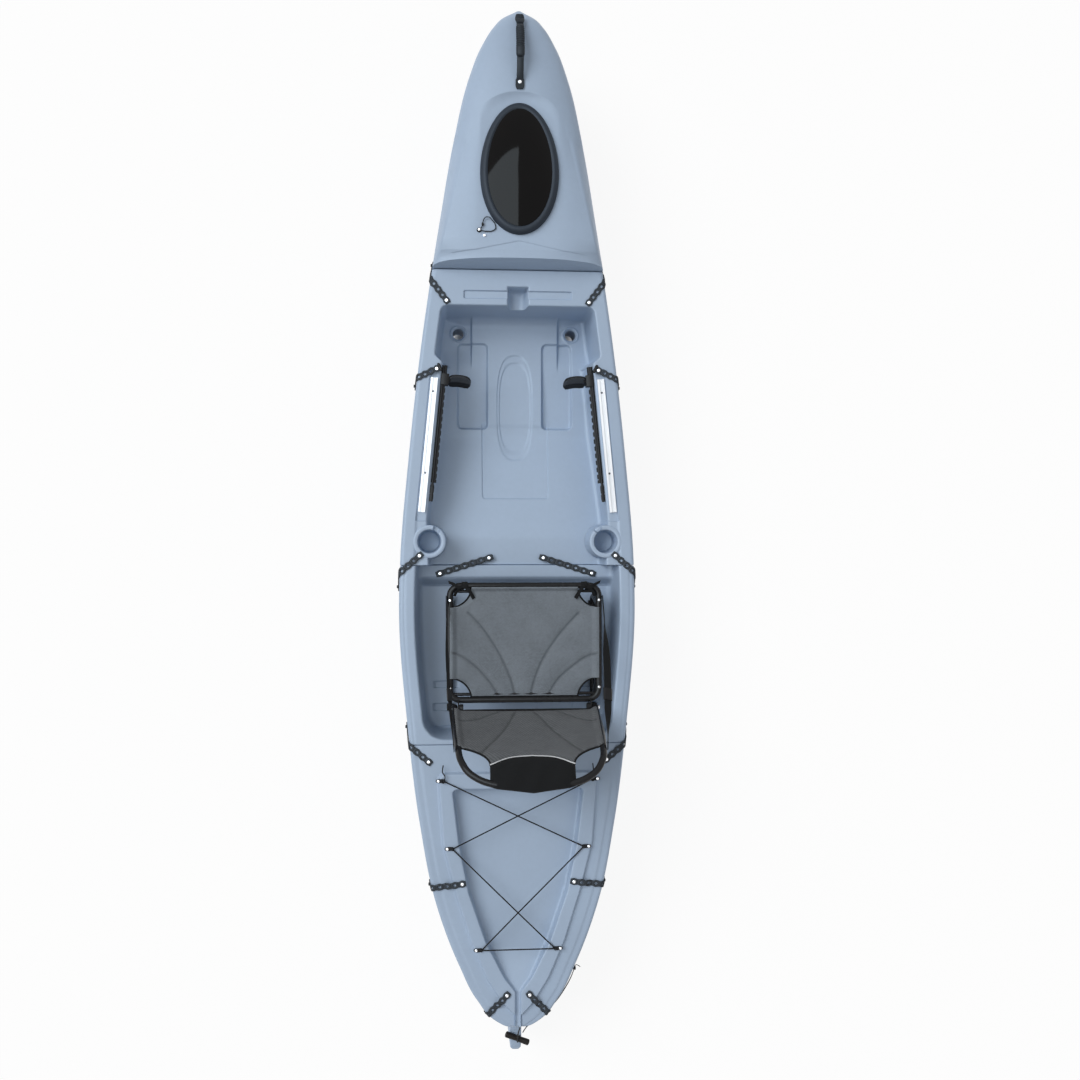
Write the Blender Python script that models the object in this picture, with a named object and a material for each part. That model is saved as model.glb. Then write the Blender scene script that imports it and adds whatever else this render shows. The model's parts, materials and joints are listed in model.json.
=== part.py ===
"""Sectional sit-on-top fishing kayak: six moulded shells held end to end by rubber straps.

Metres, +X to starboard, +Y to the bow, +Z up. The origin is under the middle of the boat,
on the plane that its keel rests on.
"""

import math

import bmesh
import bpy
import numpy as np
from mathutils import Matrix, Vector

# Hull lines from bow to stern: distance forward of amidships, half beam, keel height
HULL_LINES = (
    (1.750, 0.012, 0.290),
    (1.730, 0.050, 0.225),
    (1.695, 0.083, 0.160),
    (1.630, 0.124, 0.095),
    (1.530, 0.164, 0.050),
    (1.330, 0.213, 0.012),
    (1.080, 0.257, 0.000),
    (0.680, 0.318, 0.000),
    (0.270, 0.364, 0.000),
    (-0.060, 0.391, 0.000),
    (-0.240, 0.395, 0.000),
    (-0.600, 0.368, 0.000),
    (-0.940, 0.326, 0.000),
    (-1.210, 0.271, 0.004),
    (-1.412, 0.196, 0.022),
    (-1.530, 0.136, 0.045),
    (-1.600, 0.075, 0.062),
    (-1.622, 0.038, 0.070),
)
# Section of the hull side, keel to gunwale: share of the half beam, share of the depth
HULL_SECTION = (
    (0.00, 0.000),
    (0.30, 0.000),
    (0.37, 0.050),
    (0.50, 0.056),
    (0.61, 0.030),
    (0.78, 0.100),
    (0.91, 0.300),
    (0.985, 0.560),
    (1.00, 0.800),
)
SHEER = 0.330
WALL = 0.005
GAP = 0.0003
EDGE_ROUND = 0.012

# Where the sections meet, and the depth of the deck mouldings' skirt
BOW_JOINT = 0.905
MID_JOINT = -0.080
REAR_JOINT = -0.675
STERN_END = -1.622
DECK_SKIRT = 0.018

# Bow deck: distance forward of amidships, height along the middle, height of the shoulder
BOW_CROWN = (
    (0.905, 0.402, 0.330),
    (1.100, 0.416, 0.334),
    (1.300, 0.421, 0.340),
    (1.500, 0.421, 0.350),
    (1.640, 0.412, 0.360),
    (1.710, 0.398, 0.362),
    (1.750, 0.372, 0.345),
)
BOW_FACE_RAKE = 0.024
# Stations of the bow moulding
BOW_PLACES = (BOW_JOINT, 0.93, 0.96, 1.08, 1.20, 1.33, 1.44, 1.53, 1.60, 1.66, 1.70, 1.73, 1.745, 1.750)
PLATEAU_Z = 0.410
PLATEAU_APEX = 1.468
PLATEAU_HALF_WIDTH = 0.157
PLATEAU_SIDE_Y = 1.345
PLATEAU_REAR_Y = 0.985

# Bow hatch, an egg wider towards the stern
HATCH_Y = 1.217
HATCH_HALF_WIDTH = 0.129
HATCH_HALF_LENGTH = 0.215
HATCH_EGG = 0.07
HATCH_RIM_WIDTH = 0.030
HATCH_RIM_HEIGHT = 0.022
HATCH_DOME_RISE = 0.030
HATCH_DOME_THICK = 0.005
HATCH_RIM_LEAN = 0.006
HATCH_RIM_SHOULDER = 0.6
COAMING_RISE = 0.012
TETHER_EYE = (-0.1325, 1.0150)
TETHER_EYE_RADIUS = 0.0075
TETHER_RISE = 0.0060
TETHER_TURN = 222
TETHER_RADIUS = 0.0016
EYE_STAND = 0.010

# Footwell floor: distance forward of amidships, height
FOOT_FLOOR = ((0.90, 0.150), (0.36, 0.150), (0.02, 0.222), (-0.20, 0.222))
FOOTWELL_FRONT = 0.792
FOOTWELL_FRONT_HALF = 0.262
FOOTWELL_BAY_HALF = 0.282
FOOTWELL_BAY_REAR = 0.607
BRACE_WALL_FRONT = 0.2565
BRACE_WALL_REAR = 0.3087
BRACE_WALL_END = 0.072
SHELF_WIDTH = 0.0300
SHELF_DEPTH = 0.008
CUP_X = 0.295
CUP_Y = 0.000
CUP_RADIUS = 0.039
CUP_RING = 0.055
CUP_DEPTH = 0.088
SCUPPER_X = 0.196
SCUPPER_Y = 0.722
SCUPPER_RADIUS = 0.019
POCKET_DROP = 0.012
HEEL_DROP = 0.018
SCUPPER_POCKET = ((0.150, 0.780), (0.250, 0.780), (0.256, 0.600), (0.150, 0.600))
HEEL_WELL = ((0.092, 0.690), (0.199, 0.690), (0.196, 0.392), (0.096, 0.392))
OVAL_Y = 0.464
OVAL_HALF = (0.0625, 0.1835)
OVAL_DEPTH = 0.003
GROOVE = (0.180, 0.8086, 0.8353)
NOTCH = (0.0394, 0.753, 0.8534)
NOTCH_DEPTH = 0.060
GROOVE_DEPTH = 0.006
SCUPPER_FOOT = 0.012

# Gear tracks and foot braces
TRACK_LENGTH = 0.448
TRACK_WIDTH = 0.0234
TRACK_HEIGHT = 0.0090
TRACK_FRONT_Y = 0.544
TRACK_FROM_WALL = 0.01475
SHELF_PAST_TRACK = 0.033
BRACE_LENGTH = 0.393
BRACE_WIDTH = 0.024
BRACE_HEIGHT = 0.022
BRACE_FRONT_Y = 0.588
BRACE_TOP = 0.312
NOTCH_PITCH = 0.024
NOTCH_COUNT = 11
NOTCH_CUT = 0.004
NOTCH_LENGTH = 0.010
ROD_RADIUS = 0.004
ROD_RISE = 0.0008
ROD_PADDLE = (0.014, 0.058, 0.006)
PEDAL_WIDTH = 0.080
PEDAL_HEIGHT = 0.115
PEDAL_THICK = 0.010
PEDAL_CORNER = 0.030
PEDAL_TILT = math.radians(20)
PEDAL_FROM_FRONT = 0.030

# Seat well and its floor: distance forward of amidships, height
SEAT_FLOOR = ((0.10, 0.232), (-0.1245, 0.232), (-0.150, 0.190), (-0.90, 0.190))
SEAT_WELL_REAR = -0.664
SEAT_WELL_CORNER = 0.075
FLANGE = 0.046
SLOT_LENGTH = 0.085
SLOT_DEPTH = 0.004
SLOT_ROWS = ((-0.503, -0.479), (-0.582, -0.555), (-0.663, -0.633))

# Stern deck: raised V of ribs round a tankwell
RIB_RISE = 0.012
RIB_OUTER = (
    (0.235, -0.765),
    (0.258, -0.775),
    (0.268, -0.798),
    (0.2535, -1.002),
    (0.212, -1.166),
    (0.160, -1.330),
    (0.1075, -1.452),
    (0.056, -1.534),
    (0.014, -1.578),
)
TANK_INNER = (
    (0.208, -0.818),
    (0.222, -0.832),
    (0.2015, -1.002),
    (0.169, -1.166),
    (0.1125, -1.330),
    (0.0495, -1.452),
    (0.0135, -1.498),
)
# Floor of the tankwell: distance forward of amidships, height
TANK_FLOOR = ((-0.60, 0.300), (-1.36, 0.300), (-1.498, 0.3297), (-1.52, 0.3297))

# Tail of the hull under the stern toggle
TAIL_END = -1.750
TAIL_HALF = 0.020
TAIL_TOP = 0.200
TAIL_BOTTOM = 0.060

# Rubber straps
STRAP_WIDTH = 0.023
STRAP_THICK = 0.004
STRAP_HOLE = (0.0045, 0.0070)
STRAP_PITCH = 0.027
STRAP_LIFT = 0.0009
SCREW_RADIUS = 0.0065
SCREW_RISE = 0.0025
# Straps over the deck's edge on each side: where the screw is, how the strap heads over the
# deck and then down the side (forward for each step outwards), how far down it reaches, holes
EDGE_STRAPS = (
    ("strap_bow_joint", (0.238, 0.800), 1.10, 1.10, 0.055, 1),
    ("strap_brace", (0.270, 0.573), -0.50, -0.80, 0.035, 1),
    ("strap_mid_joint", (0.327, -0.047), -0.90, -1.00, 0.050, 1),
    ("strap_rear_joint", (0.297, -0.730), 0.92, 1.20, 0.050, 1),
    ("strap_rib", (0.186, -1.134), -0.15, 0.40, 0.030, 2),
    ("strap_tail", (0.038, -1.507), -0.66, 0.00, 0.025, 2),
)
END_PAST_SCREW = 0.011
SEAT_STRAP = ((0.262, -0.1095), (0.090, -0.0550))
SEAT_STRAP_HOLES = 5

# Bow handle
HANDLE_FRONT = 1.722
HANDLE_REAR = 1.474
HANDLE_WIDTH = 0.024
HANDLE_THICK = 0.006
HANDLE_ARCH = 0.034
# How far the strap's flat feet and its screws lie in from its rear and front ends
HANDLE_FOOT = (0.030, 0.016)
HANDLE_SCREW = (0.020, 0.008)
GRIP_FRONT = 1.680
GRIP_REAR = 1.570
GRIP_RADIUS = 0.0150

# Seat, a little to starboard of the middle
SEAT_X = 0.021
SEAT_TUBE = 0.0105
SEAT_HALF = 0.248
SEAT_FRONT = -0.1465
SEAT_REAR = -0.5245
SEAT_Z = 0.345
SEAT_CORNER = 0.035
LEG_TUBE = 0.0085
LEG_HALF = SEAT_HALF - 0.004
SLOT_X = SEAT_HALF + 0.032
LEG_FRONT = -0.215
LEG_REAR = -0.5685
FOOT_HALF = (0.013, 0.011)
FOOT_SOLE = 0.0025
HINGE_Y = -0.549
HINGE_Z = 0.372
PIN_RADIUS = 0.0040
EAR_THICK = 0.004
BACK_HALF = SEAT_HALF - 0.0155
# Side view of the back from its hinge: distance aft, height
BACK_CURVE = (
    (0.000, 0.000),
    (0.030, 0.087),
    (0.060, 0.174),
    (0.088, 0.255),
    (0.103, 0.288),
    (0.123, 0.315),
    (0.149, 0.336),
    (0.180, 0.353),
    (0.210, 0.364),
)
# Starboard side of the back's tube: distance from the middle, distance along the back
BACK_TUBE = (
    (BACK_HALF, 0.000),
    (BACK_HALF, 0.050),
    (BACK_HALF - 0.0075, 0.270),
    (BACK_HALF - 0.0145, 0.325),
    (BACK_HALF - 0.0365, 0.368),
    (BACK_HALF - 0.0725, 0.394),
    (BACK_HALF - 0.1225, 0.410),
    (0.0000, 0.424),
)
BACK_BOTTOM = 0.022
PIPING = ((0.128, 0.350), (0.070, 0.330), (0.000, 0.322))
COVER_THICK = 0.026
FABRIC_THICK = 0.005
CORNER_CUT = 0.072
WEBBING_BOW = 0.007
WEBBING_TOP = 0.285
WEBBING_WIDTH = 0.025
WEBBING_THICK = 0.0025
BUCKLE_AT = 0.66
BUCKLE = (0.010, 0.031, 0.034)

# Cloth ties at the seat's front corners: where each tail ends, from its knot
TIE_TAILS = ((0.045, 0.010), (-0.030, -0.042))

# Stern lashing
CORD_RADIUS = 0.0022
CORD_RISE = 0.0055
EYE_LENGTH = 0.032
EYE_WIDTH = 0.013
EYE_HEIGHT = 0.010
EYE_PLATE = 0.0035
EYE_SCREW = 0.0048
HOOP_HALF = (0.0055, 0.0062)
EYES = ((0.2575, -0.792), (0.2280, -1.017), (0.1325, -1.355))

# Stern toggle, lying on the tail
TOGGLE_LENGTH = 0.088
TOGGLE_RADIUS = 0.0105
TOGGLE_AT = (0.005, -1.706)
# Share of the half length, share of the full radius
TOGGLE_SHAPE = (
    (-1.00, 0.62),
    (-0.95, 0.90),
    (-0.86, 1.00),
    (-0.20, 0.92),
    (0.20, 0.92),
    (0.86, 1.00),
    (0.95, 0.90),
    (1.00, 0.62),
)
TOGGLE_TURN = math.radians(-22)
LEASH_Y = -1.6255
LEASH_Z = 0.280
LEASH_X = 0.010
KNOT_Y = -1.437
KNOT_Z = 0.300
KNOT_RADIUS = 0.006

COLOURS = {
    "hull": ((0.33, 0.41, 0.51), 0.45, 0.0),
    "rubber": ((0.012, 0.013, 0.015), 0.7, 0.0),
    "gloss": ((0.010, 0.011, 0.013), 0.12, 0.0),
    "plastic": ((0.015, 0.015, 0.017), 0.5, 0.0),
    "aluminium": ((0.80, 0.81, 0.83), 0.35, 1.0),
    "steel": ((0.60, 0.60, 0.62), 0.30, 1.0),
    "tube": ((0.010, 0.010, 0.011), 0.35, 0.0),
    "mesh": ((0.10, 0.12, 0.14), 0.9, 0.0),
    "cord": ((0.008, 0.008, 0.009), 0.8, 0.0),
}


# Scene helpers


def clear_scene():
    for obj in list(bpy.data.objects):
        bpy.data.objects.remove(obj, do_unlink=True)


def material(name):
    found = bpy.data.materials.get(name)
    if found:
        return found
    colour, roughness, metallic = COLOURS[name]
    made = bpy.data.materials.new(name)
    made.use_nodes = True
    shader = made.node_tree.nodes["Principled BSDF"]
    shader.inputs["Base Color"].default_value = (*colour, 1.0)
    shader.inputs["Roughness"].default_value = roughness
    shader.inputs["Metallic"].default_value = metallic
    return made


def solid(name, points, faces, finish=None):
    """A mesh object from points and faces, with its faces turned outwards."""
    mesh = bpy.data.meshes.new(name)
    mesh.from_pydata([tuple(map(float, p)) for p in points], [], faces)
    work = bmesh.new()
    work.from_mesh(mesh)
    bmesh.ops.recalc_face_normals(work, faces=work.faces)
    work.to_mesh(mesh)
    work.free()
    obj = bpy.data.objects.new(name, mesh)
    bpy.context.scene.collection.objects.link(obj)
    if finish:
        mesh.materials.append(material(finish))
    else:
        obj.hide_render = True
        obj.display_type = "WIRE"
    return obj


def smooth(obj, angle=math.radians(35)):
    obj.data.shade_smooth()
    obj.data.set_sharp_from_angle(angle=angle)
    return obj


def boolean(obj, other, operation):
    step = obj.modifiers.new(operation.title(), "BOOLEAN")
    step.operation = operation
    step.solver = "EXACT"
    step.object = other
    return obj


def cut(obj, *others):
    for other in others:
        boolean(obj, other, "DIFFERENCE")
    return obj


def join(obj, *others):
    for other in others:
        boolean(obj, other, "UNION")
    return obj


def joint_empty(name, place):
    """An empty on a joint's axis, for the pieces that move about it."""
    empty = bpy.data.objects.new(name, None)
    empty.location = place
    bpy.context.scene.collection.objects.link(empty)
    return empty


def hang_on(empty, *objects):
    for obj in objects:
        obj.parent = empty
        obj.matrix_parent_inverse = Matrix.Translation(-empty.location)


# Shape helpers


def through(table, at):
    """Each column of a table of rows, read at a place by a cubic through the rows."""
    rows = np.array(sorted(table))
    slopes = np.gradient(rows[:, 1:], rows[:, 0], axis=0)
    at = min(max(at, rows[0, 0]), rows[-1, 0])
    i = min(max(np.searchsorted(rows[:, 0], at) - 1, 0), len(rows) - 2)
    step = rows[i + 1, 0] - rows[i, 0]
    t = (at - rows[i, 0]) / step
    start, end = rows[i, 1:], rows[i + 1, 1:]
    return (
        start * (2 * t**3 - 3 * t**2 + 1)
        + end * (3 * t**2 - 2 * t**3)
        + slopes[i] * step * (t**3 - 2 * t**2 + t)
        + slopes[i + 1] * step * (t**3 - t**2)
    )


def along(table, at):
    """The height of a straight-line profile at a place."""
    rows = sorted(table)
    return float(np.interp(at, [r[0] for r in rows], [r[1] for r in rows]))


def loft(name, rings, finish=None):
    """A closed solid through rings of equal length, with its two ends capped."""
    count = len(rings[0])
    points = [p for ring in rings for p in ring]
    faces = []
    for r in range(len(rings) - 1):
        for k in range(count):
            n = (k + 1) % count
            faces.append((r * count + k, r * count + n, (r + 1) * count + n, (r + 1) * count + k))
    last = (len(rings) - 1) * count
    faces.append(tuple(range(count)))
    faces.append(tuple(range(last, last + count)))
    return solid(name, points, faces, finish)


def prism(name, outline, low, high, finish=None):
    """An outline in plan, carried from one height to another."""
    return loft(name, [[(x, y, z) for x, y in outline] for z in (low, high)], finish)


def box(name, low, high, finish=None):
    (x0, y0, z0), (x1, y1, z1) = low, high
    return prism(name, [(x0, y0), (x1, y0), (x1, y1), (x0, y1)], z0, z1, finish)


def mirrored(half):
    """A closed outline from its starboard half, listed from bow to stern."""
    return list(half) + [(-x, y) for x, y in reversed(half) if abs(x) > 1e-6]


def arc(centre, radius, start, end, steps):
    turn = np.radians(np.linspace(start, end, steps + 1))
    return [(centre[0] + radius * math.cos(a), centre[1] + radius * math.sin(a)) for a in turn]


def grown(outline, by):
    """An outline with every side moved outwards by the same distance."""
    points = np.array(outline)
    ahead = np.roll(points, -1, axis=0) - points
    ahead /= np.linalg.norm(ahead, axis=1, keepdims=True)
    area = np.sum(points[:, 0] * np.roll(points[:, 1], -1) - np.roll(points[:, 0], -1) * points[:, 1])
    side = np.stack([ahead[:, 1], -ahead[:, 0]], axis=1) * math.copysign(1, area)
    back = np.roll(side, 1, axis=0)
    corner = side + back
    corner *= (2 / np.maximum(np.sum(corner**2, axis=1), 0.5))[:, None]
    return [tuple(p) for p in points + corner * by]


def under(name, outline, profile, drop=0.0, top=SHEER + 0.05):
    """The space above a floor profile, inside an outline in plan."""
    walls = prism(name, outline, 0.0, top)
    rows = sorted(profile)
    floor = [(y, z - drop) for y, z in rows]
    section = floor + [(floor[-1][0], top + 0.02), (floor[0][0], top + 0.02)]
    keep = loft(name + "_floor", [[(x, y, z) for y, z in section] for x in (-1.0, 1.0)])
    return boolean(walls, keep, "INTERSECT")


def tube(name, path, radius, sides, finish=None, closed=False):
    """A round bar along a path of points, with flat ends unless it closes on itself."""
    path = [Vector(p) for p in path]
    count = len(path)
    rings = []
    across = None
    for i, p in enumerate(path):
        before = path[(i - 1) % count] if closed or i > 0 else p
        after = path[(i + 1) % count] if closed or i < count - 1 else p
        ahead = (after - before).normalized()
        if across is None:
            across = ahead.orthogonal().normalized()
        across = (across - ahead * across.dot(ahead)).normalized()
        up = ahead.cross(across)
        rings.append(
            [
                p + (across * math.cos(a) + up * math.sin(a)) * radius
                for a in (2 * math.pi * k / sides for k in range(sides))
            ]
        )
    if not closed:
        return smooth(loft(name, rings, finish))
    # The last ring meets the first turned by a few corners, where the frame has drifted
    shift = min(range(sides), key=lambda s: (rings[-1][0] - rings[0][s]).length)
    points = [p for ring in rings for p in ring]
    faces = []
    for r in range(count):
        n = (r + 1) % count
        turn = shift if n == 0 else 0
        for k in range(sides):
            a, b = (k + 1) % sides, (k + turn) % sides
            faces.append((r * sides + k, r * sides + a, n * sides + (a + turn) % sides, n * sides + b))
    return smooth(solid(name, points, faces, finish))


def rounded(points, radius, steps=3):
    """A path whose inner corners are turned with arcs of one radius."""
    points = [Vector(p) for p in points]
    path = [points[0]]
    for before, corner, after in zip(points, points[1:], points[2:]):
        a, b = (before - corner).normalized(), (after - corner).normalized()
        half = a.angle(b) / 2
        reach = radius / math.tan(half)
        start, end = corner + a * reach, corner + b * reach
        centre = corner + (a + b).normalized() * (radius / math.sin(half))
        for k in range(steps + 1):
            spot = start.lerp(end, k / steps) - centre
            path.append(centre + spot.normalized() * radius)
    path.append(points[-1])
    return path


# Hull form


def hull_at(y):
    """Half beam and keel height; the keel never dips below the plane that it rests on."""
    half, keel = through(HULL_LINES, y)
    return half, max(keel, 0.0)


def stations(low, high):
    """The hull's own stations between two places, with the places themselves."""
    inner = [row[0] for row in HULL_LINES if low + 0.012 < row[0] < high - 0.012]
    middle = []
    ends = [high] + inner + [low]
    for a, b in zip(ends, ends[1:]):
        steps = max(1, round((a - b) / 0.15))
        middle += [a + (b - a) * k / steps for k in range(steps)]
    return middle + [low]


def hull_ring(y, inset, top, shoulder=()):
    """The hull's section at y, moved in by a wall, closed at the top by the shoulder's points."""
    half, keel = hull_at(y)
    half = max(half - inset, 0.004)
    keel = keel + inset
    side = [(half * a, keel + (top - keel) * b) for a, b in HULL_SECTION]
    side += [(half - inwards, z) for inwards, z in shoulder]
    port = [(-x, z) for x, z in reversed(side) if x > 1e-6]
    return [(x, y, z) for x, z in side + port]


def tub(name, low, high, inset, top, finish=None):
    """The hull between two places, up to a flat top."""
    rings = [hull_ring(y, inset, top, ((0.0, top),)) for y in stations(low, high)]
    return loft(name, rings, finish)


def decked(name, low, high, finish=None):
    """The hull between two places, up to the rounded edge of its deck."""
    shoulder = ((0.0, SHEER - EDGE_ROUND), (EDGE_ROUND * 0.3, SHEER - EDGE_ROUND * 0.3), (EDGE_ROUND, SHEER))
    rings = [hull_ring(y, 0.0, SHEER, shoulder) for y in stations(low, high)]
    return loft(name, rings, finish)


def deck_slab(name, low, high, finish=None):
    """The deck moulding's plate: a rounded edge and a skirt down to the hull's lip."""
    rings = []
    foot = SHEER - DECK_SKIRT
    for y in stations(low, high):
        half = max(hull_at(y)[0], EDGE_ROUND * 1.3)
        side = [
            (half, foot),
            (half, SHEER - EDGE_ROUND),
            (half - EDGE_ROUND * 0.3, SHEER - EDGE_ROUND * 0.3),
            (half - EDGE_ROUND, SHEER),
        ]
        rings.append([(x, y, z) for x, z in side + [(-x, z) for x, z in reversed(side)]])
    slab = loft(name, rings, finish)
    hollow = []
    for y in stations(low + WALL, high - WALL):
        half = max(hull_at(y)[0] - 2 * WALL, 0.004)
        corners = ((-half, foot - WALL), (half, foot - WALL), (half, SHEER - WALL), (-half, SHEER - WALL))
        hollow.append([(x, y, z) for x, z in corners])
    return cut(slab, loft(name + "_hollow", hollow))


def bow_ring(y, inset):
    """Hull side, then a crown that turns over from the shoulder to the middle of the bow deck."""
    crown, shoulder = through(BOW_CROWN, y)
    half, keel = hull_at(y)
    half = max(half - inset, 0.004)
    keel, crown, shoulder = keel + inset, crown - inset, shoulder - inset
    side = [(half * a, keel + (shoulder - keel) * b) for a, b in HULL_SECTION]
    for turn in np.radians((0, 22, 42, 60, 76, 90)):
        x = half * max(math.cos(turn), 0.0) ** 0.75
        side.append((x, shoulder + (crown - shoulder) * math.sin(turn) ** 0.9))
    port = [(-x, z) for x, z in reversed(side[:-1]) if x > 1e-6]
    side[-1] = (0.0, side[-1][1])
    rake = BOW_FACE_RAKE / (crown - SHEER) if y < BOW_JOINT + 0.05 else 0.0
    fade = max(0.0, 1 - (y - BOW_JOINT) / 0.05)
    return [(x, y + max(0.0, z - SHEER) * rake * fade, z) for x, z in side + port]


# Hull sections


def egg(half_width, half_length, steps=24):
    """The hatch's outline about its middle: an ellipse that is fuller towards the stern."""
    points = []
    for k in range(steps):
        a = 2 * math.pi * k / steps
        points.append(
            (
                half_width * math.sin(a) * (1 - HATCH_EGG * math.cos(a)),
                HATCH_Y + half_length * math.cos(a),
            )
        )
    return points


def eye_stations():
    """Stations just before and behind the tether's eye, so that it seats on flat facets."""
    return TETHER_EYE[1] - 2 * TETHER_EYE_RADIUS, TETHER_EYE[1] + 2 * TETHER_EYE_RADIUS


def make_bow():
    places = sorted(BOW_PLACES + eye_stations())
    ends = [BOW_JOINT + GAP] + places[1:]
    bow = loft("bow_section", [bow_ring(y, 0.0) for y in ends], "hull")
    inner = [BOW_JOINT + 2 * WALL] + places[2:-4]
    cavity = loft("bow_cavity", [bow_ring(y, WALL) for y in inner])
    arch = [
        (PLATEAU_HALF_WIDTH * math.sin(a), PLATEAU_SIDE_Y + (PLATEAU_APEX - PLATEAU_SIDE_Y) * math.cos(a))
        for a in np.radians((0, 25, 50, 75, 90))
    ]
    sides = arch + [(0.206, 1.19), (0.225, 1.08), (0.215, 0.955), (0.0, PLATEAU_REAR_Y)]
    plateau = prism("hatch_plateau", mirrored(sides), PLATEAU_Z, SHEER + 0.2)
    lid_seat = egg(HATCH_HALF_WIDTH - HATCH_RIM_WIDTH, HATCH_HALF_LENGTH - HATCH_RIM_WIDTH)
    coaming = prism("hatch_coaming", lid_seat, PLATEAU_Z - 0.03, PLATEAU_Z + COAMING_RISE)
    backing = prism("plateau_backing", grown(mirrored(sides), 2 * WALL), PLATEAU_Z - WALL, SHEER + 0.2)
    mouth = prism("hatch_mouth", grown(lid_seat, -WALL), 0.30, SHEER + 0.2)
    cut(bow, plateau)
    cut(cavity, backing)
    cut(bow, cavity)
    join(bow, coaming)
    cut(bow, mouth)
    return smooth(bow)


def footwell_half():
    """The footwell's starboard edge in plan, from bow to stern."""
    ring = arc((CUP_X, CUP_Y), CUP_RING, 112, 250, 5)
    return [
        (FOOTWELL_FRONT_HALF - 0.022, FOOTWELL_FRONT),
        (FOOTWELL_FRONT_HALF - 0.006, FOOTWELL_FRONT - 0.006),
        (FOOTWELL_FRONT_HALF, FOOTWELL_FRONT - 0.022),
        (FOOTWELL_BAY_HALF, FOOTWELL_BAY_REAR + 0.016),
        (FOOTWELL_BAY_HALF - 0.010, FOOTWELL_BAY_REAR),
        (BRACE_WALL_FRONT, FOOTWELL_BAY_REAR),
        (BRACE_WALL_REAR, BRACE_WALL_END),
        (CUP_X, BRACE_WALL_END - 0.010),
        *ring,
        (0.302, MID_JOINT + 0.018),
        (0.304, MID_JOINT - 0.05),
    ]


def brace_wall_x(y):
    """How far out the footwell's wall lies beside the foot brace."""
    share = (FOOTWELL_BAY_REAR - y) / (FOOTWELL_BAY_REAR - BRACE_WALL_END)
    return BRACE_WALL_FRONT + (BRACE_WALL_REAR - BRACE_WALL_FRONT) * share


def shelf_outline(side):
    """The track's shelf, from the footwell's wall out to the flange."""
    front, rear = TRACK_FRONT_Y + SHELF_PAST_TRACK, BRACE_WALL_END - 0.004
    return [
        (side * (brace_wall_x(front) - 0.012), front),
        (side * (brace_wall_x(front) + SHELF_WIDTH), front),
        (side * (brace_wall_x(rear) + SHELF_WIDTH), rear),
        (side * (brace_wall_x(rear) - 0.012), rear),
    ]


def pocket_outlines(side):
    """Scupper pocket and heel well on one side, each with its drop below the floor."""
    found = []
    for outline, drop in ((SCUPPER_POCKET, POCKET_DROP), (HEEL_WELL, HEEL_DROP)):
        found.append(([(side * x, y) for x, y in outline], drop))
    return found


def across_deck(half, rear, front):
    """A rectangle in plan about the middle of the boat."""
    return [(-half, rear), (half, rear), (half, front), (-half, front)]


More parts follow.
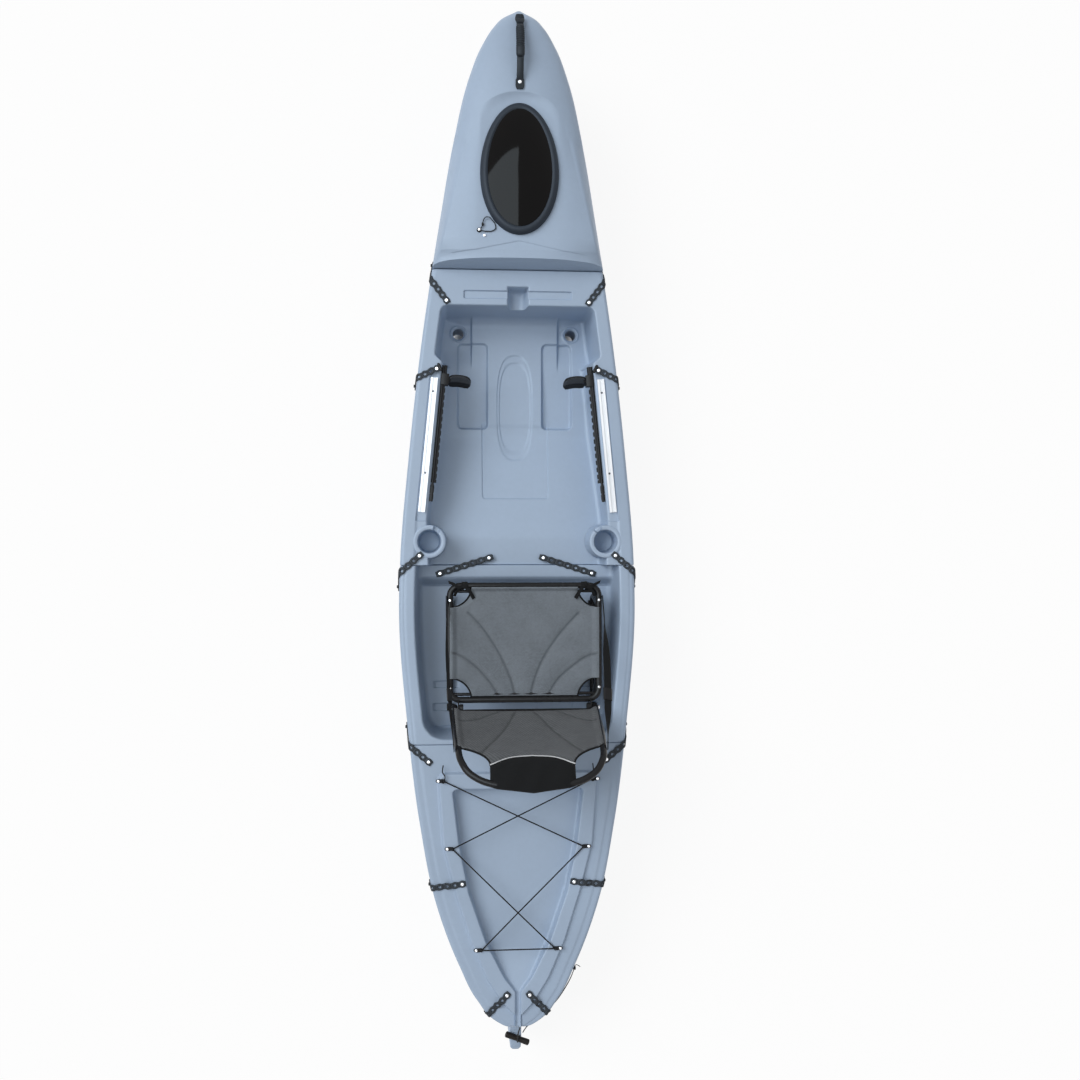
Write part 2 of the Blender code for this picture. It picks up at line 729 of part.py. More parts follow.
def make_front():
    well = mirrored(footwell_half())
    foot = SHEER - DECK_SKIRT
    hull = tub("front_hull", MID_JOINT + GAP, BOW_JOINT - GAP, 0.0, foot - GAP, "hull")
    cut(hull, tub("front_cavity", MID_JOINT + WALL, BOW_JOINT - WALL, WALL, foot + 0.03))
    cut(hull, under("front_clearance", grown(well, WALL + 5 * GAP), FOOT_FLOOR, WALL + 5 * GAP, foot + 0.02))

    deck = deck_slab("front_deck", MID_JOINT + GAP, BOW_JOINT - GAP, "hull")
    trim = box("front_trim", (-0.6, MID_JOINT - 0.3, 0.0), (0.6, MID_JOINT + GAP, 0.6))
    join(deck, under("footwell_pan", grown(well, WALL), FOOT_FLOOR, WALL, SHEER - WALL / 2))
    notch = across_deck(*NOTCH)
    groove = across_deck(*GROOVE)
    join(deck, prism("notch_pan", grown(notch, WALL), SHEER - NOTCH_DEPTH - WALL, SHEER - WALL / 2))
    join(deck, prism("groove_pan", grown(groove, WALL), SHEER - GROOVE_DEPTH - WALL, SHEER - WALL / 2))
    cutters = [
        under("footwell", well, FOOT_FLOOR),
        prism("notch_cut", notch, SHEER - NOTCH_DEPTH, SHEER + 0.05),
        prism("groove_cut", groove, SHEER - GROOVE_DEPTH, SHEER + 0.05),
    ]
    floor = FOOT_FLOOR[0][1]
    for side, label in ((-1, "port"), (1, "starboard")):
        for number, (outline, drop) in enumerate(pocket_outlines(side)):
            low = floor - drop
            name = f"pocket_{number}_{label}"
            join(deck, prism(name + "_pan", grown(outline, WALL), low - WALL, floor + WALL / 3))
            cut(hull, prism(name + "_room", grown(outline, WALL + 5 * GAP), low - WALL - 5 * GAP, foot))
            cutters.append(prism(name, outline, low, floor + 0.05))
        middle = (side * CUP_X, CUP_Y)
        cup_floor = SHEER - SHELF_DEPTH - CUP_DEPTH
        cup = arc(middle, CUP_RADIUS, 0, 345, 23)
        join(deck, prism(f"cup_pan_{label}", grown(cup, WALL), cup_floor - WALL, SHEER - WALL / 2))
        cut(hull, prism(f"cup_room_{label}", grown(cup, WALL + 5 * GAP), cup_floor - WALL - 5 * GAP, foot))
        shelf = shelf_outline(side)
        shelf_z = SHEER - SHELF_DEPTH
        join(deck, prism(f"shelf_pan_{label}", grown(shelf, WALL), shelf_z - WALL, SHEER - WALL / 2))
        cutters.append(prism(f"shelf_{label}", shelf, shelf_z, SHEER + 0.05))
        cutters.append(prism(f"cup_{label}", cup, cup_floor, SHEER + 0.05))
        spot = (side * SCUPPER_X, SCUPPER_Y)
        pipe = arc(spot, SCUPPER_RADIUS + WALL, 0, 337.5, 15)
        bore = arc(spot, SCUPPER_RADIUS, 0, 337.5, 15)
        join(deck, prism(f"scupper_pipe_{label}", pipe, SCUPPER_FOOT, floor - POCKET_DROP - WALL / 2))
        cut(hull, prism(f"scupper_room_{label}", grown(pipe, 5 * GAP), -0.05, 0.2))
        cutters.append(prism(f"scupper_{label}", bore, -0.05, 0.2))
    oval = [
        (
            OVAL_HALF[0] * math.copysign(abs(math.sin(a)) ** 0.75, math.sin(a)),
            OVAL_Y + OVAL_HALF[1] * math.cos(a),
        )
        for a in (2 * math.pi * k / 20 for k in range(20))
    ]
    cutters.append(under("oval_inset", oval, FOOT_FLOOR, OVAL_DEPTH, floor + 0.08))
    cut(deck, *cutters, trim)
    return smooth(hull), smooth(deck)


def seat_well_half():
    front = MID_JOINT + 0.05
    half_front, half_rear = hull_at(MID_JOINT)[0], hull_at(SEAT_WELL_REAR)[0]
    side = [(half_front - FLANGE, front)]
    for y in (MID_JOINT, -0.24, -0.40, SEAT_WELL_REAR + SEAT_WELL_CORNER):
        side.append((hull_at(y)[0] - FLANGE, y))
    corner = (half_rear - FLANGE - SEAT_WELL_CORNER + 0.006, SEAT_WELL_REAR + SEAT_WELL_CORNER)
    return side + arc(corner, SEAT_WELL_CORNER, 0, -90, 4)[1:]


def make_seat_section():
    low, high = REAR_JOINT + GAP, MID_JOINT - GAP
    section = decked("seat_section", low, high, "hull")
    well = mirrored(seat_well_half())
    cavity = tub("seat_cavity", low + WALL, high - WALL, WALL, SHEER - WALL)
    cut(cavity, under("seat_well_skin", grown(well, WALL), SEAT_FLOOR, WALL))
    cut(section, cavity)
    cutters = [under("seat_well", well, SEAT_FLOOR)]
    floor = SEAT_FLOOR[-1][1]
    for side, label in ((-1, "port"), (1, "starboard")):
        for number, (rear, front) in enumerate(SLOT_ROWS):
            ends = sorted((side * SLOT_X, side * (SLOT_X - SLOT_LENGTH)))
            low_corner = (ends[0], rear, floor - SLOT_DEPTH)
            cutters.append(box(f"slot_{number}_{label}", low_corner, (ends[1], front, floor + 0.05)))
    cutters.append(box("bulkhead_vent", (-0.06, low - 0.05, 0.06), (0.06, high + 0.05, 0.12)))
    cut(section, *cutters)
    return smooth(section)


def make_stern():
    low, high = STERN_END, REAR_JOINT - GAP
    foot = SHEER - DECK_SKIRT
    rib = list(RIB_OUTER)
    tank = list(TANK_INNER)
    hull = tub("stern_hull", low, high, 0.0, foot - GAP, "hull")
    cut(hull, tub("stern_cavity", low + 0.08, high - WALL, WALL, foot + 0.03))
    tail = loft(
        "tail",
        [
            [(-w, y, TAIL_BOTTOM + rise), (w, y, TAIL_BOTTOM + rise), (w, y, top), (-w, y, top)]
            for y, w, rise, top in (
                (low + 0.06, TAIL_HALF, 0.05, TAIL_TOP),
                (TAIL_END + 0.03, TAIL_HALF, 0.0, TAIL_TOP),
                (TAIL_END, TAIL_HALF * 0.7, 0.03, TAIL_TOP - 0.01),
            )
        ],
    )
    join(hull, tail)

    deck = deck_slab("stern_deck", low, high, "hull")
    join(deck, prism("stern_rib", mirrored(rib), SHEER - WALL / 2, SHEER + RIB_RISE))
    join(deck, under("tank_pan", grown(mirrored(tank), WALL), TANK_FLOOR, WALL, SHEER - WALL / 3))
    channel = [(TANK_INNER[-1][0], TANK_INNER[-1][1] + 0.01), (TANK_INNER[-1][0], RIB_OUTER[-1][1] - 0.02)]
    cut(
        deck,
        under("tankwell", mirrored(tank), TANK_FLOOR),
        prism("drain_channel", mirrored(channel), SHEER + GAP, SHEER + 0.05),
    )
    clear = WALL + 5 * GAP
    cut(hull, under("tank_room", grown(mirrored(tank), clear), TANK_FLOOR, clear, foot + 0.02))
    return smooth(hull), smooth(deck)


# Hatch, its tether and the bow handle


def make_hatch():
    rim_low = PLATEAU_Z + GAP
    outer = egg(HATCH_HALF_WIDTH, HATCH_HALF_LENGTH, 32)
    shoulder = egg(HATCH_HALF_WIDTH - HATCH_RIM_LEAN, HATCH_HALF_LENGTH - HATCH_RIM_LEAN, 32)
    crest = egg(HATCH_HALF_WIDTH - 0.016, HATCH_HALF_LENGTH - 0.016, 32)
    inner = egg(HATCH_HALF_WIDTH - HATCH_RIM_WIDTH, HATCH_HALF_LENGTH - HATCH_RIM_WIDTH, 32)
    heights = [rim_low + HATCH_RIM_HEIGHT * share for share in (0.0, HATCH_RIM_SHOULDER, 1.0)]
    rings = [[(x, y, z) for x, y in ring] for ring, z in zip((outer, shoulder, crest), heights)]
    rim = loft("hatch_rim", rings, "rubber")
    ledge = rim_low + HATCH_RIM_HEIGHT - 0.006
    room = grown(inner, 0.0008)
    cut(rim, prism("hatch_rim_bore", room, rim_low - 0.02, ledge))
    cut(rim, prism("hatch_glass_room", grown(inner, 0.006), ledge - 0.0002, ledge + 0.05))

    steps = 6
    edge = egg(HATCH_HALF_WIDTH - HATCH_RIM_WIDTH + 0.0055, HATCH_HALF_LENGTH - HATCH_RIM_WIDTH + 0.0055, 32)
    dome_rings = [[(x, y, ledge + GAP) for x, y in edge]]
    for k in range(steps):
        size = 1 - k / steps
        z = ledge + HATCH_DOME_THICK + HATCH_DOME_RISE * (1 - size**2)
        dome_rings.append([(x * size, HATCH_Y + (y - HATCH_Y) * size, z) for x, y in edge])
    dome = loft("hatch_dome", dome_rings, "gloss")
    hollow = []
    for ring in dome_rings[1:]:
        hollow.append([(x * 0.93, HATCH_Y + (y - HATCH_Y) * 0.93, z - HATCH_DOME_THICK) for x, y, z in ring])
    hollow.insert(0, [(x, y, z - 0.02) for x, y, z in hollow[0]])
    cut(dome, loft("hatch_dome_hollow", hollow))
    hang_on(joint_empty("hatch_lift_axis", Vector((0.0, HATCH_Y, PLATEAU_Z))), rim, dome)
    return smooth(rim, math.radians(50)), smooth(dome, math.radians(50))


def bow_top(y):
    """Height of the bow deck's middle."""
    return float(through(BOW_CROWN, y)[0])


def rim_side(turn):
    """A point on the hatch rim's outer edge and the way out from it, by its angle from the bow."""
    a = math.radians(turn)
    step = 0.01

    def on_rim(t):
        x = HATCH_HALF_WIDTH * math.sin(t) * (1 - HATCH_EGG * math.cos(t))
        return Vector((x, HATCH_Y + HATCH_HALF_LENGTH * math.cos(t), 0.0))

    run = (on_rim(a + step) - on_rim(a - step)).normalized()
    return on_rim(a), Vector((-run.y, run.x, 0.0))


def make_tether():
    """A pad-eye bolted to the bow deck and the cord from it to the hatch's rim."""
    spot = Vector((*TETHER_EYE, PLATEAU_Z + TETHER_RISE))
    outline = arc(TETHER_EYE, TETHER_EYE_RADIUS, 0, 337.5, 15)
    eye = prism("tether_eye", outline, PLATEAU_Z - EYE_STAND, PLATEAU_Z + EYE_STAND, "plastic")
    cut(eye, loft("eye_seat", [bow_ring(y, -GAP) for y in eye_stations()]))
    rim, out = rim_side(TETHER_TURN)
    lean = HATCH_RIM_LEAN / (HATCH_RIM_HEIGHT * HATCH_RIM_SHOULDER)
    clear = GAP + lean * (TETHER_RADIUS - TETHER_RISE)
    end = rim + out * clear + Vector((0, 0, spot.z))
    away = Vector((math.cos(0.7), math.sin(0.7), 0.0))
    start = spot + away * (TETHER_EYE_RADIUS + GAP)
    route = [start, start + away * 0.008, start.lerp(end, 0.5) + away * 0.006, end + out * 0.008, end]
    return smooth(eye), tube("hatch_tether", route, TETHER_RADIUS, 8, "cord")


def make_handle():
    """A webbing strap over the nose with a moulded grip round its raised middle."""
    foot_rear, foot_front = HANDLE_REAR + HANDLE_FOOT[0], HANDLE_FRONT - HANDLE_FOOT[1]

    def underside(y):
        share = min(max((y - foot_rear) / (foot_front - foot_rear), 0.0), 1.0)
        lift = HANDLE_ARCH * max(math.sin(math.pi * share), 0.0) ** 0.7
        return max(bow_top(y), PLATEAU_Z) + lift + 2 * GAP

    def band(places, room):
        """A flat band along the handle, larger all round by some room."""
        half = HANDLE_WIDTH / 2 + room
        rings = []
        for y in places:
            low, high = underside(y) - room, underside(y) + HANDLE_THICK + room
            rings.append([(-half, y, low), (half, y, low), (half, y, high), (-half, y, high)])
        return rings

    strap = loft("bow_handle_strap", band(np.linspace(HANDLE_REAR, HANDLE_FRONT, 15), 0.0), "rubber")
    path = [(0.0, y, underside(y) + HANDLE_THICK / 2) for y in np.linspace(GRIP_REAR, GRIP_FRONT, 7)]
    grip = tube("bow_handle_grip", path, GRIP_RADIUS, 12, "rubber")
    bore_places = np.linspace(GRIP_REAR - 0.02, GRIP_FRONT + 0.02, 15)
    cut(grip, loft("handle_bore", band(bore_places, GAP)))
    for name, y in (("rear", HANDLE_REAR + HANDLE_SCREW[0]), ("front", HANDLE_FRONT - HANDLE_SCREW[1])):
        low = underside(y) + HANDLE_THICK / 2
        head = arc((0.0, y), SCREW_RADIUS, 0, 315, 7)
        join(strap, prism(f"handle_screw_{name}", head, low, low + HANDLE_THICK / 2 + SCREW_RISE))
    return strap, grip


# Gear tracks and foot braces


def rail_line(side, front_x, front_y):
    """A point and a direction along the footwell's wall, towards the stern."""
    slope = (BRACE_WALL_REAR - BRACE_WALL_FRONT) / (FOOTWELL_BAY_REAR - BRACE_WALL_END)
    ahead = Vector((side * slope, -1.0, 0.0)).normalized()
    return Vector((side * front_x, front_y, 0.0)), ahead


def placed(obj, origin, ahead):
    """Turns a piece drawn along -Y so that it runs along a direction from its origin."""
    turn = math.atan2(ahead.x, -ahead.y)
    obj.location = origin
    obj.rotation_euler = (0.0, 0.0, turn)
    return obj


def make_track(side, label):
    """An extruded channel with a T slot along its top."""
    half, lip, slot, web = TRACK_WIDTH / 2, 0.0085, 0.0045, 0.0022
    height = TRACK_HEIGHT
    section = [
        (-half, 0.0),
        (half, 0.0),
        (half, height),
        (slot, height),
        (slot, height - web),
        (lip, height - web),
        (lip, web),
        (-lip, web),
        (-lip, height - web),
        (-slot, height - web),
        (-slot, height),
        (-half, height),
    ]
    rings = [[(x, y, z) for x, z in section] for y in (0.0, -TRACK_LENGTH)]
    track = loft(f"gear_track_{label}", rings, "aluminium")
    origin, ahead = rail_line(side, brace_wall_x(TRACK_FRONT_Y) + TRACK_FROM_WALL, TRACK_FRONT_Y)
    origin.z = SHEER - SHELF_DEPTH + GAP
    return placed(track, origin, ahead)


def brace_frame(side):
    centre = brace_wall_x(BRACE_FRONT_Y) - BRACE_WIDTH / 2 - 2 * GAP
    return rail_line(side, centre, BRACE_FRONT_Y)


def make_brace(side, label):
    """A rail with a toothed inner edge and a twist rod along its top, ending in a flat handle."""
    half = BRACE_WIDTH / 2
    edge = [(half, 0.0), (half, -BRACE_LENGTH)]
    inner = [(-half, -BRACE_LENGTH)]
    first = BRACE_LENGTH - 0.022
    for k in range(NOTCH_COUNT):
        y = -(first - NOTCH_PITCH * k)
        rear, front = y - NOTCH_LENGTH / 2, y + NOTCH_LENGTH / 2
        inner += [(-half, rear), (-half + NOTCH_CUT, rear), (-half + NOTCH_CUT, front), (-half, front)]
    outline = [(side * x, y) for x, y in edge + inner + [(-half, 0.0)]]
    origin, ahead = brace_frame(side)
    low = BRACE_TOP - BRACE_HEIGHT
    rail = prism(f"brace_rail_{label}", outline, low, BRACE_TOP, "plastic")
    groove = arc((0.0, BRACE_TOP + ROD_RISE), ROD_RADIUS + GAP, 180, 360, 8)
    groove += [(groove[-1][0], BRACE_TOP + 0.02), (groove[0][0], BRACE_TOP + 0.02)]
    bed = loft(f"rod_bed_{label}", [[(x, y, z) for x, z in groove] for y in (0.01, -BRACE_LENGTH - 0.01)])
    cut(rail, bed)
    placed(bed, origin, ahead)
    placed(rail, origin, ahead)
    width, length, thick = ROD_PADDLE
    start = -BRACE_LENGTH - 0.006
    run = [(0, -0.004, 0), (0, start - 0.006, 0)]
    rod = tube(f"brace_rod_{label}", run, ROD_RADIUS, 10, "plastic")
    low_corner = (-width / 2, start - length, -thick / 2)
    paddle = box(f"rod_paddle_{label}", low_corner, (width / 2, start, thick / 2))
    join(rod, paddle)
    axis = origin.copy()
    axis.z = BRACE_TOP + ROD_RISE
    placed(rod, axis, ahead)
    placed(paddle, axis, ahead)
    return rail, rod


def make_pedal(side, label):
    """A foot plate leaning forward, on a carriage that hooks over the rail's toothed edge."""
    origin, ahead = brace_frame(side)
    half = BRACE_WIDTH / 2
    inner = -half - GAP
    top = BRACE_TOP + ROD_RADIUS + 0.004
    low = BRACE_TOP - BRACE_HEIGHT - 0.006
    y0, y1 = -PEDAL_FROM_FRONT - 0.034, -PEDAL_FROM_FRONT
    carriage = [
        (inner - 0.008, low),
        (half * 0.5, low),
        (half * 0.5, BRACE_TOP - BRACE_HEIGHT - 0.0015),
        (inner, BRACE_TOP - BRACE_HEIGHT - 0.0015),
        (inner, top - 0.0025),
        (half * 0.7, top - 0.0025),
        (half * 0.7, top),
        (inner - 0.008, top),
    ]
    rings = [[(side * x, y, z) for x, z in carriage] for y in (y0, y1)]
    pedal = loft(f"pedal_{label}", rings, "plastic")
    reach = inner - 0.004
    foot, head = -PEDAL_HEIGHT * 0.5, PEDAL_HEIGHT * 0.36
    outline = [(reach, foot), (reach, head)]
    corner_x = reach - PEDAL_WIDTH + PEDAL_CORNER
    outline += arc((corner_x, head - PEDAL_CORNER), PEDAL_CORNER, 90, 180, 4)
    outline += arc((corner_x, foot + PEDAL_CORNER), PEDAL_CORNER, 180, 270, 4)
    plate_rings = []
    for depth in (-PEDAL_THICK / 2, PEDAL_THICK / 2):
        ring = []
        for x, v in outline:
            y = (y0 + y1) / 2 + v * math.sin(PEDAL_TILT) + depth * math.cos(PEDAL_TILT)
            z = BRACE_TOP - 0.024 + v * math.cos(PEDAL_TILT) - depth * math.sin(PEDAL_TILT)
            ring.append((side * x, y, z))
        plate_rings.append(ring)
    plate = loft(f"pedal_plate_{label}", plate_rings)
    join(pedal, plate)
    placed(plate, origin, ahead)
    return placed(pedal, origin, ahead)


# Rubber straps


def deck_edge(y):
    """Where the flat of the deck ends at a place, and how fast that changes along the boat."""
    return float(hull_at(y)[0]) - EDGE_ROUND, float(hull_at(y + 0.01)[0] - hull_at(y - 0.01)[0]) / 0.02


def rib_top(x, y):
    """How far the stern's rib stands above the deck, easing down beside its outer edge."""
    if y > RIB_OUTER[2][1]:
        return 0.0
    edge = along([(row[1], row[0]) for row in RIB_OUTER[2:]], y)
    return (RIB_RISE + 0.0005) * min(max((edge + 0.028 - x) / 0.018, 0.0), 1.0)


def over_edge(side, w, y):
    """A point and the way out from the boat, w being how far it lies past the flat of the deck."""
    edge = deck_edge(y)[0]
    radius = EDGE_ROUND + STRAP_LIFT + STRAP_THICK / 2
    if w <= 0:
        height = SHEER + STRAP_LIFT + STRAP_THICK / 2 + rib_top(edge + w, y)
        return Vector((side * (edge + w), y, height)), Vector((0, 0, 1))
    turn = min(w / EDGE_ROUND, math.pi / 2)
    out = Vector((side * math.sin(turn), 0, math.cos(turn)))
    down = max(w - EDGE_ROUND * math.pi / 2, 0.0)
    return Vector((side * edge, y, SHEER - EDGE_ROUND - down)) + out * radius, out


def strap_loft(name, rows, finish="rubber"):
    """A flat strap through rows of two surface points each."""
    rings = []
    half = STRAP_THICK / 2
    for row in rows:
        (a, out_a), (b, out_b) = row
        rings.append([a + out_a * half, b + out_b * half, b - out_b * half, a - out_a * half])
    return loft(name, rings, finish)


def strap_holes(strap, name, spots, ahead):
    """Oval holes along a strap, straight down through it."""
    turn = math.atan2(ahead[1], ahead[0])
    for k, spot in enumerate(spots):
        outline = []
        for a in np.radians(np.arange(0, 360, 45)):
            x, y = STRAP_HOLE[1] * math.cos(a), STRAP_HOLE[0] * math.sin(a)
            outline.append(
                (
                    spot.x + x * math.cos(turn) - y * math.sin(turn),
                    spot.y + x * math.sin(turn) + y * math.cos(turn),
                )
            )
        cut(strap, prism(f"{name}_hole_{k}", outline, spot.z - 0.02, spot.z + 0.02))


def strap_screw(strap, name, place):
    top = place.z + STRAP_THICK / 2
    outline = arc((place.x, place.y), SCREW_RADIUS, 0, 330, 11)
    join(strap, prism(f"{name}_screw", outline, place.z, top + SCREW_RISE))


def make_edge_strap(side, label, name, screw, slope, side_slope, drop, holes):
    x0, y0 = screw
    edge, taper = deck_edge(y0)
    w0 = x0 - edge
    name = f"{name}_{label}"
    ahead = Vector((1 + taper * slope, slope)).normalized()
    across = Vector((-ahead.y, ahead.x)) * (STRAP_WIDTH / 2)
    arc_end = EDGE_ROUND * math.pi / 2

    def on_deck(x, y):
        return over_edge(side, x - deck_edge(y)[0], y)

    rows = []
    back = Vector(screw) - ahead * END_PAST_SCREW
    rows.append((on_deck(*(back + across)), on_deck(*(back - across))))
    reach = STRAP_WIDTH / 2 * math.hypot(1 + taper * slope, slope)
    first = w0 + 0.6 * STRAP_WIDTH
    flat_steps = max(1, round(-first / 0.006)) if y0 < RIB_OUTER[2][1] else 1
    places = [*np.linspace(first, 0.0, flat_steps + 1), *np.linspace(0.0, arc_end, 6)[1:], arc_end + drop]
    for w in places:
        y = y0 + (min(w, arc_end) - w0) * slope + max(w - arc_end, 0.0) * side_slope
        rows.append((over_edge(side, w, y + reach), over_edge(side, w, y - reach)))
    strap = strap_loft(name, rows)
    spots = []
    for k in range(holes):
        spot = Vector(screw) + ahead * (0.024 + STRAP_PITCH * k)
        spots.append(on_deck(*spot)[0])
    strap_holes(strap, name, spots, (side * ahead.x, ahead.y))
    strap_screw(strap, name, on_deck(*screw)[0])
    return smooth(strap)


def make_seat_strap(side, label):
    """A strap from the seat well's lip to the footwell's floor, across the joint between them."""
    name = f"strap_seat_joint_{label}"
    screw, end = Vector(SEAT_STRAP[0]), Vector(SEAT_STRAP[1])
    ahead = (end - screw).normalized()
    across = Vector((-ahead.y, ahead.x)) * (STRAP_WIDTH / 2)
    length = (end - screw).length

    def on_lips(spot):
        z = along(SEAT_FLOOR, spot.y) + STRAP_LIFT + STRAP_THICK / 2
        return Vector((side * spot.x, spot.y, z)), Vector((0, 0, 1))

    rows = []
    for s in (-END_PAST_SCREW, length + END_PAST_SCREW):
        spot = screw + ahead * s
        rows.append((on_lips(spot + across), on_lips(spot - across)))
    strap = strap_loft(name, rows)
    spots = [on_lips(screw + ahead * (0.028 + STRAP_PITCH * k))[0] for k in range(SEAT_STRAP_HOLES)]
    strap_holes(strap, name, spots, (side * ahead.x, ahead.y))
    strap_screw(strap, name, on_lips(screw)[0])
    return smooth(strap)


def make_straps():
    for side, label in ((-1, "port"), (1, "starboard")):
        for row in EDGE_STRAPS:
            make_edge_strap(side, label, *row)
        make_seat_strap(side, label)


# Seat


def seat_ring(radius, sides, name, finish=None):
    """The base's tube: a rectangle with rounded corners."""
    h, r = SEAT_HALF, SEAT_CORNER
    path = []
    for cx, cy, start in (
        (h - r, SEAT_FRONT - r, 0),
        (-h + r, SEAT_FRONT - r, 90),
        (-h + r, SEAT_REAR + r, 180),
        (h - r, SEAT_REAR + r, 270),
    ):
        path += [(SEAT_X + x, y, SEAT_Z) for x, y in arc((cx, cy), r, start, start + 90, 4)]
    return tube(name, path, radius, sides, finish, True)


def leg_level():
    return SEAT_FLOOR[-1][1] + FOOT_SOLE + GAP + LEG_TUBE


def make_seat_base():
    frame = seat_ring(SEAT_TUBE, 12, "seat_base_frame", "tube")
    for side, label in ((-1, "port"), (1, "starboard")):
        x = SEAT_X + side * LEG_HALF
        low = leg_level()
        corners = [
            (x, SEAT_FRONT - 0.060, SEAT_Z),
            (x, LEG_FRONT + 0.035, low),
            (x, LEG_REAR + 0.005, low),
            (x, SEAT_REAR + 0.070, SEAT_Z),
        ]
        leg = tube(f"seat_leg_{label}", rounded(corners, 0.030), LEG_TUBE, 10)
        join(frame, leg)
        inner = SEAT_X + side * (BACK_HALF - SEAT_TUBE - GAP - EAR_THICK / 2)
        bar = Vector((0.0, HINGE_Y - SEAT_REAR, HINGE_Z - SEAT_Z)).normalized()
        across = bar.cross(Vector((1, 0, 0))) * 0.0105
        base, tip = Vector((0.0, SEAT_REAR, SEAT_Z)), Vector((0.0, HINGE_Y, HINGE_Z))
        outline = [base - across * 0.85]
        for k in range(7):
            turn = math.pi * k / 6
            outline.append(tip - across * math.cos(turn) + bar * 0.0105 * math.sin(turn))
        outline.append(base + across * 0.85)
        faces = [Vector((inner + x, 0.0, 0.0)) for x in (-EAR_THICK / 2, EAR_THICK / 2)]
        ear = loft(f"seat_ear_{label}", [[p + face for p in outline] for face in faces])
        join(frame, ear)
        cut(frame, pin_bore(side, label, "ear"))
    return smooth(frame)


def pin_bore(side, label, name):
    """Room for the back's pivot pin."""
    x = SEAT_X + side * BACK_HALF
    points = [(x - 0.022, HINGE_Y, HINGE_Z), (x + 0.022, HINGE_Y, HINGE_Z)]
    return tube(f"pin_bore_{name}_{label}", points, PIN_RADIUS + GAP, 12)


def make_pins():
    made = []
    for side, label in ((-1, "port"), (1, "starboard")):
        x = SEAT_X + side * BACK_HALF
        inner = x - side * (SEAT_TUBE + 2 * GAP + EAR_THICK + 0.0005)
        outer = x + side * (SEAT_TUBE + 0.0008)
        shank = [(inner, HINGE_Y, HINGE_Z), (outer, HINGE_Y, HINGE_Z)]
        pin = tube(f"seat_pin_{label}", shank, PIN_RADIUS, 12, "steel")
        for k, (at, out) in enumerate(((inner, -side), (outer, side))):
            head = tube(
                f"pin_head_{k}_{label}",
                [(at - out * 0.0002, HINGE_Y, HINGE_Z), (at + out * 0.003, HINGE_Y, HINGE_Z)],
                PIN_RADIUS * 1.8,
                12,
            )
            join(pin, head)
        made.append(pin)
    return made


def make_seat_fabric():
    """The base's sling: it meets the tube all round, with a quarter circle open at each corner."""
    h, front, rear, c = SEAT_HALF, SEAT_FRONT, SEAT_REAR, CORNER_CUT
    outline = arc((h, front), c, 270, 180, 6)
    outline += arc((-h, front), c, 360, 270, 6)
    outline += arc((-h, rear), c, 90, 0, 6)
    outline += arc((h, rear), c, 180, 90, 6)
    outline = [(SEAT_X + x, y) for x, y in outline]
    top = SEAT_Z + FABRIC_THICK / 2
    fabric = prism("seat_base_fabric", outline, top - FABRIC_THICK, top, "mesh")
    cut(fabric, seat_ring(SEAT_TUBE + GAP, 12, "base_fabric_room"))
    for side, label in ((-1, "port"), (1, "starboard")):
        x = SEAT_X + side * LEG_HALF
        room = LEG_TUBE + WALL / 2
        low_corner = (x - room, SEAT_REAR - 0.08, SEAT_Z - 0.02)
        cut(fabric, box(f"fabric_leg_room_{label}", low_corner, (x + room, SEAT_FRONT + 0.06, SEAT_Z + 0.02)))
    return smooth(fabric)


def back_place(x, along_back, outwards=0.0):
    """A point on the back from its distance off the middle, up the back and off its surface."""
    reach = [0.0]
    for a, b in zip(BACK_CURVE, BACK_CURVE[1:]):
        reach.append(reach[-1] + math.dist(a, b))
    step = 0.012
    near = [along_back - step, along_back, along_back + step]
    aft = np.interp(near, reach, [p[0] for p in BACK_CURVE])
    up = np.interp(near, reach, [p[1] for p in BACK_CURVE])
    normal = Vector((0.0, up[2] - up[0], aft[2] - aft[0])).normalized()
    return Vector((SEAT_X + x, HINGE_Y - aft[1], HINGE_Z + up[1])) + normal * outwards


def back_tube_path():
    half = [back_place(x, v) for x, v in BACK_TUBE]
    other = [back_place(-x, v) for x, v in reversed(BACK_TUBE[:-1])]
    lower = [half[0] - (half[1] - half[0]).normalized() * SEAT_TUBE]
    upper = [other[-1] - (other[-2] - other[-1]).normalized() * SEAT_TUBE]
    dense = []
    side = [half[0].lerp(half[1], k / 3) for k in range(1, 3)]
    mirror_side = [other[-2].lerp(other[-1], k / 3) for k in range(1, 3)]
    dense += lower + [half[0]] + side + half[1:] + other[:-1] + mirror_side + [other[-1]] + upper
    return dense


def panel(name, rows, thick, finish=None):
    """A sheet on the back, from rows of distance up the back and half width."""
    rings = []
    for v, half in rows:
        ring = []
        columns = np.linspace(-half, half, 9)
        for x in columns:
            ring.append(back_place(x, v, thick / 2))
        for x in reversed(columns):
            ring.append(back_place(x, v, -thick / 2))
        rings.append(ring)
    return loft(name, rings, finish)


def tube_half(v):
    """The back tube's distance off the middle at a height up the back."""
    return along([(row[1], row[0]) for row in BACK_TUBE], v)


def piping_v(x):
    return float(through([(row[0], row[1]) for row in PIPING], abs(x))[0])


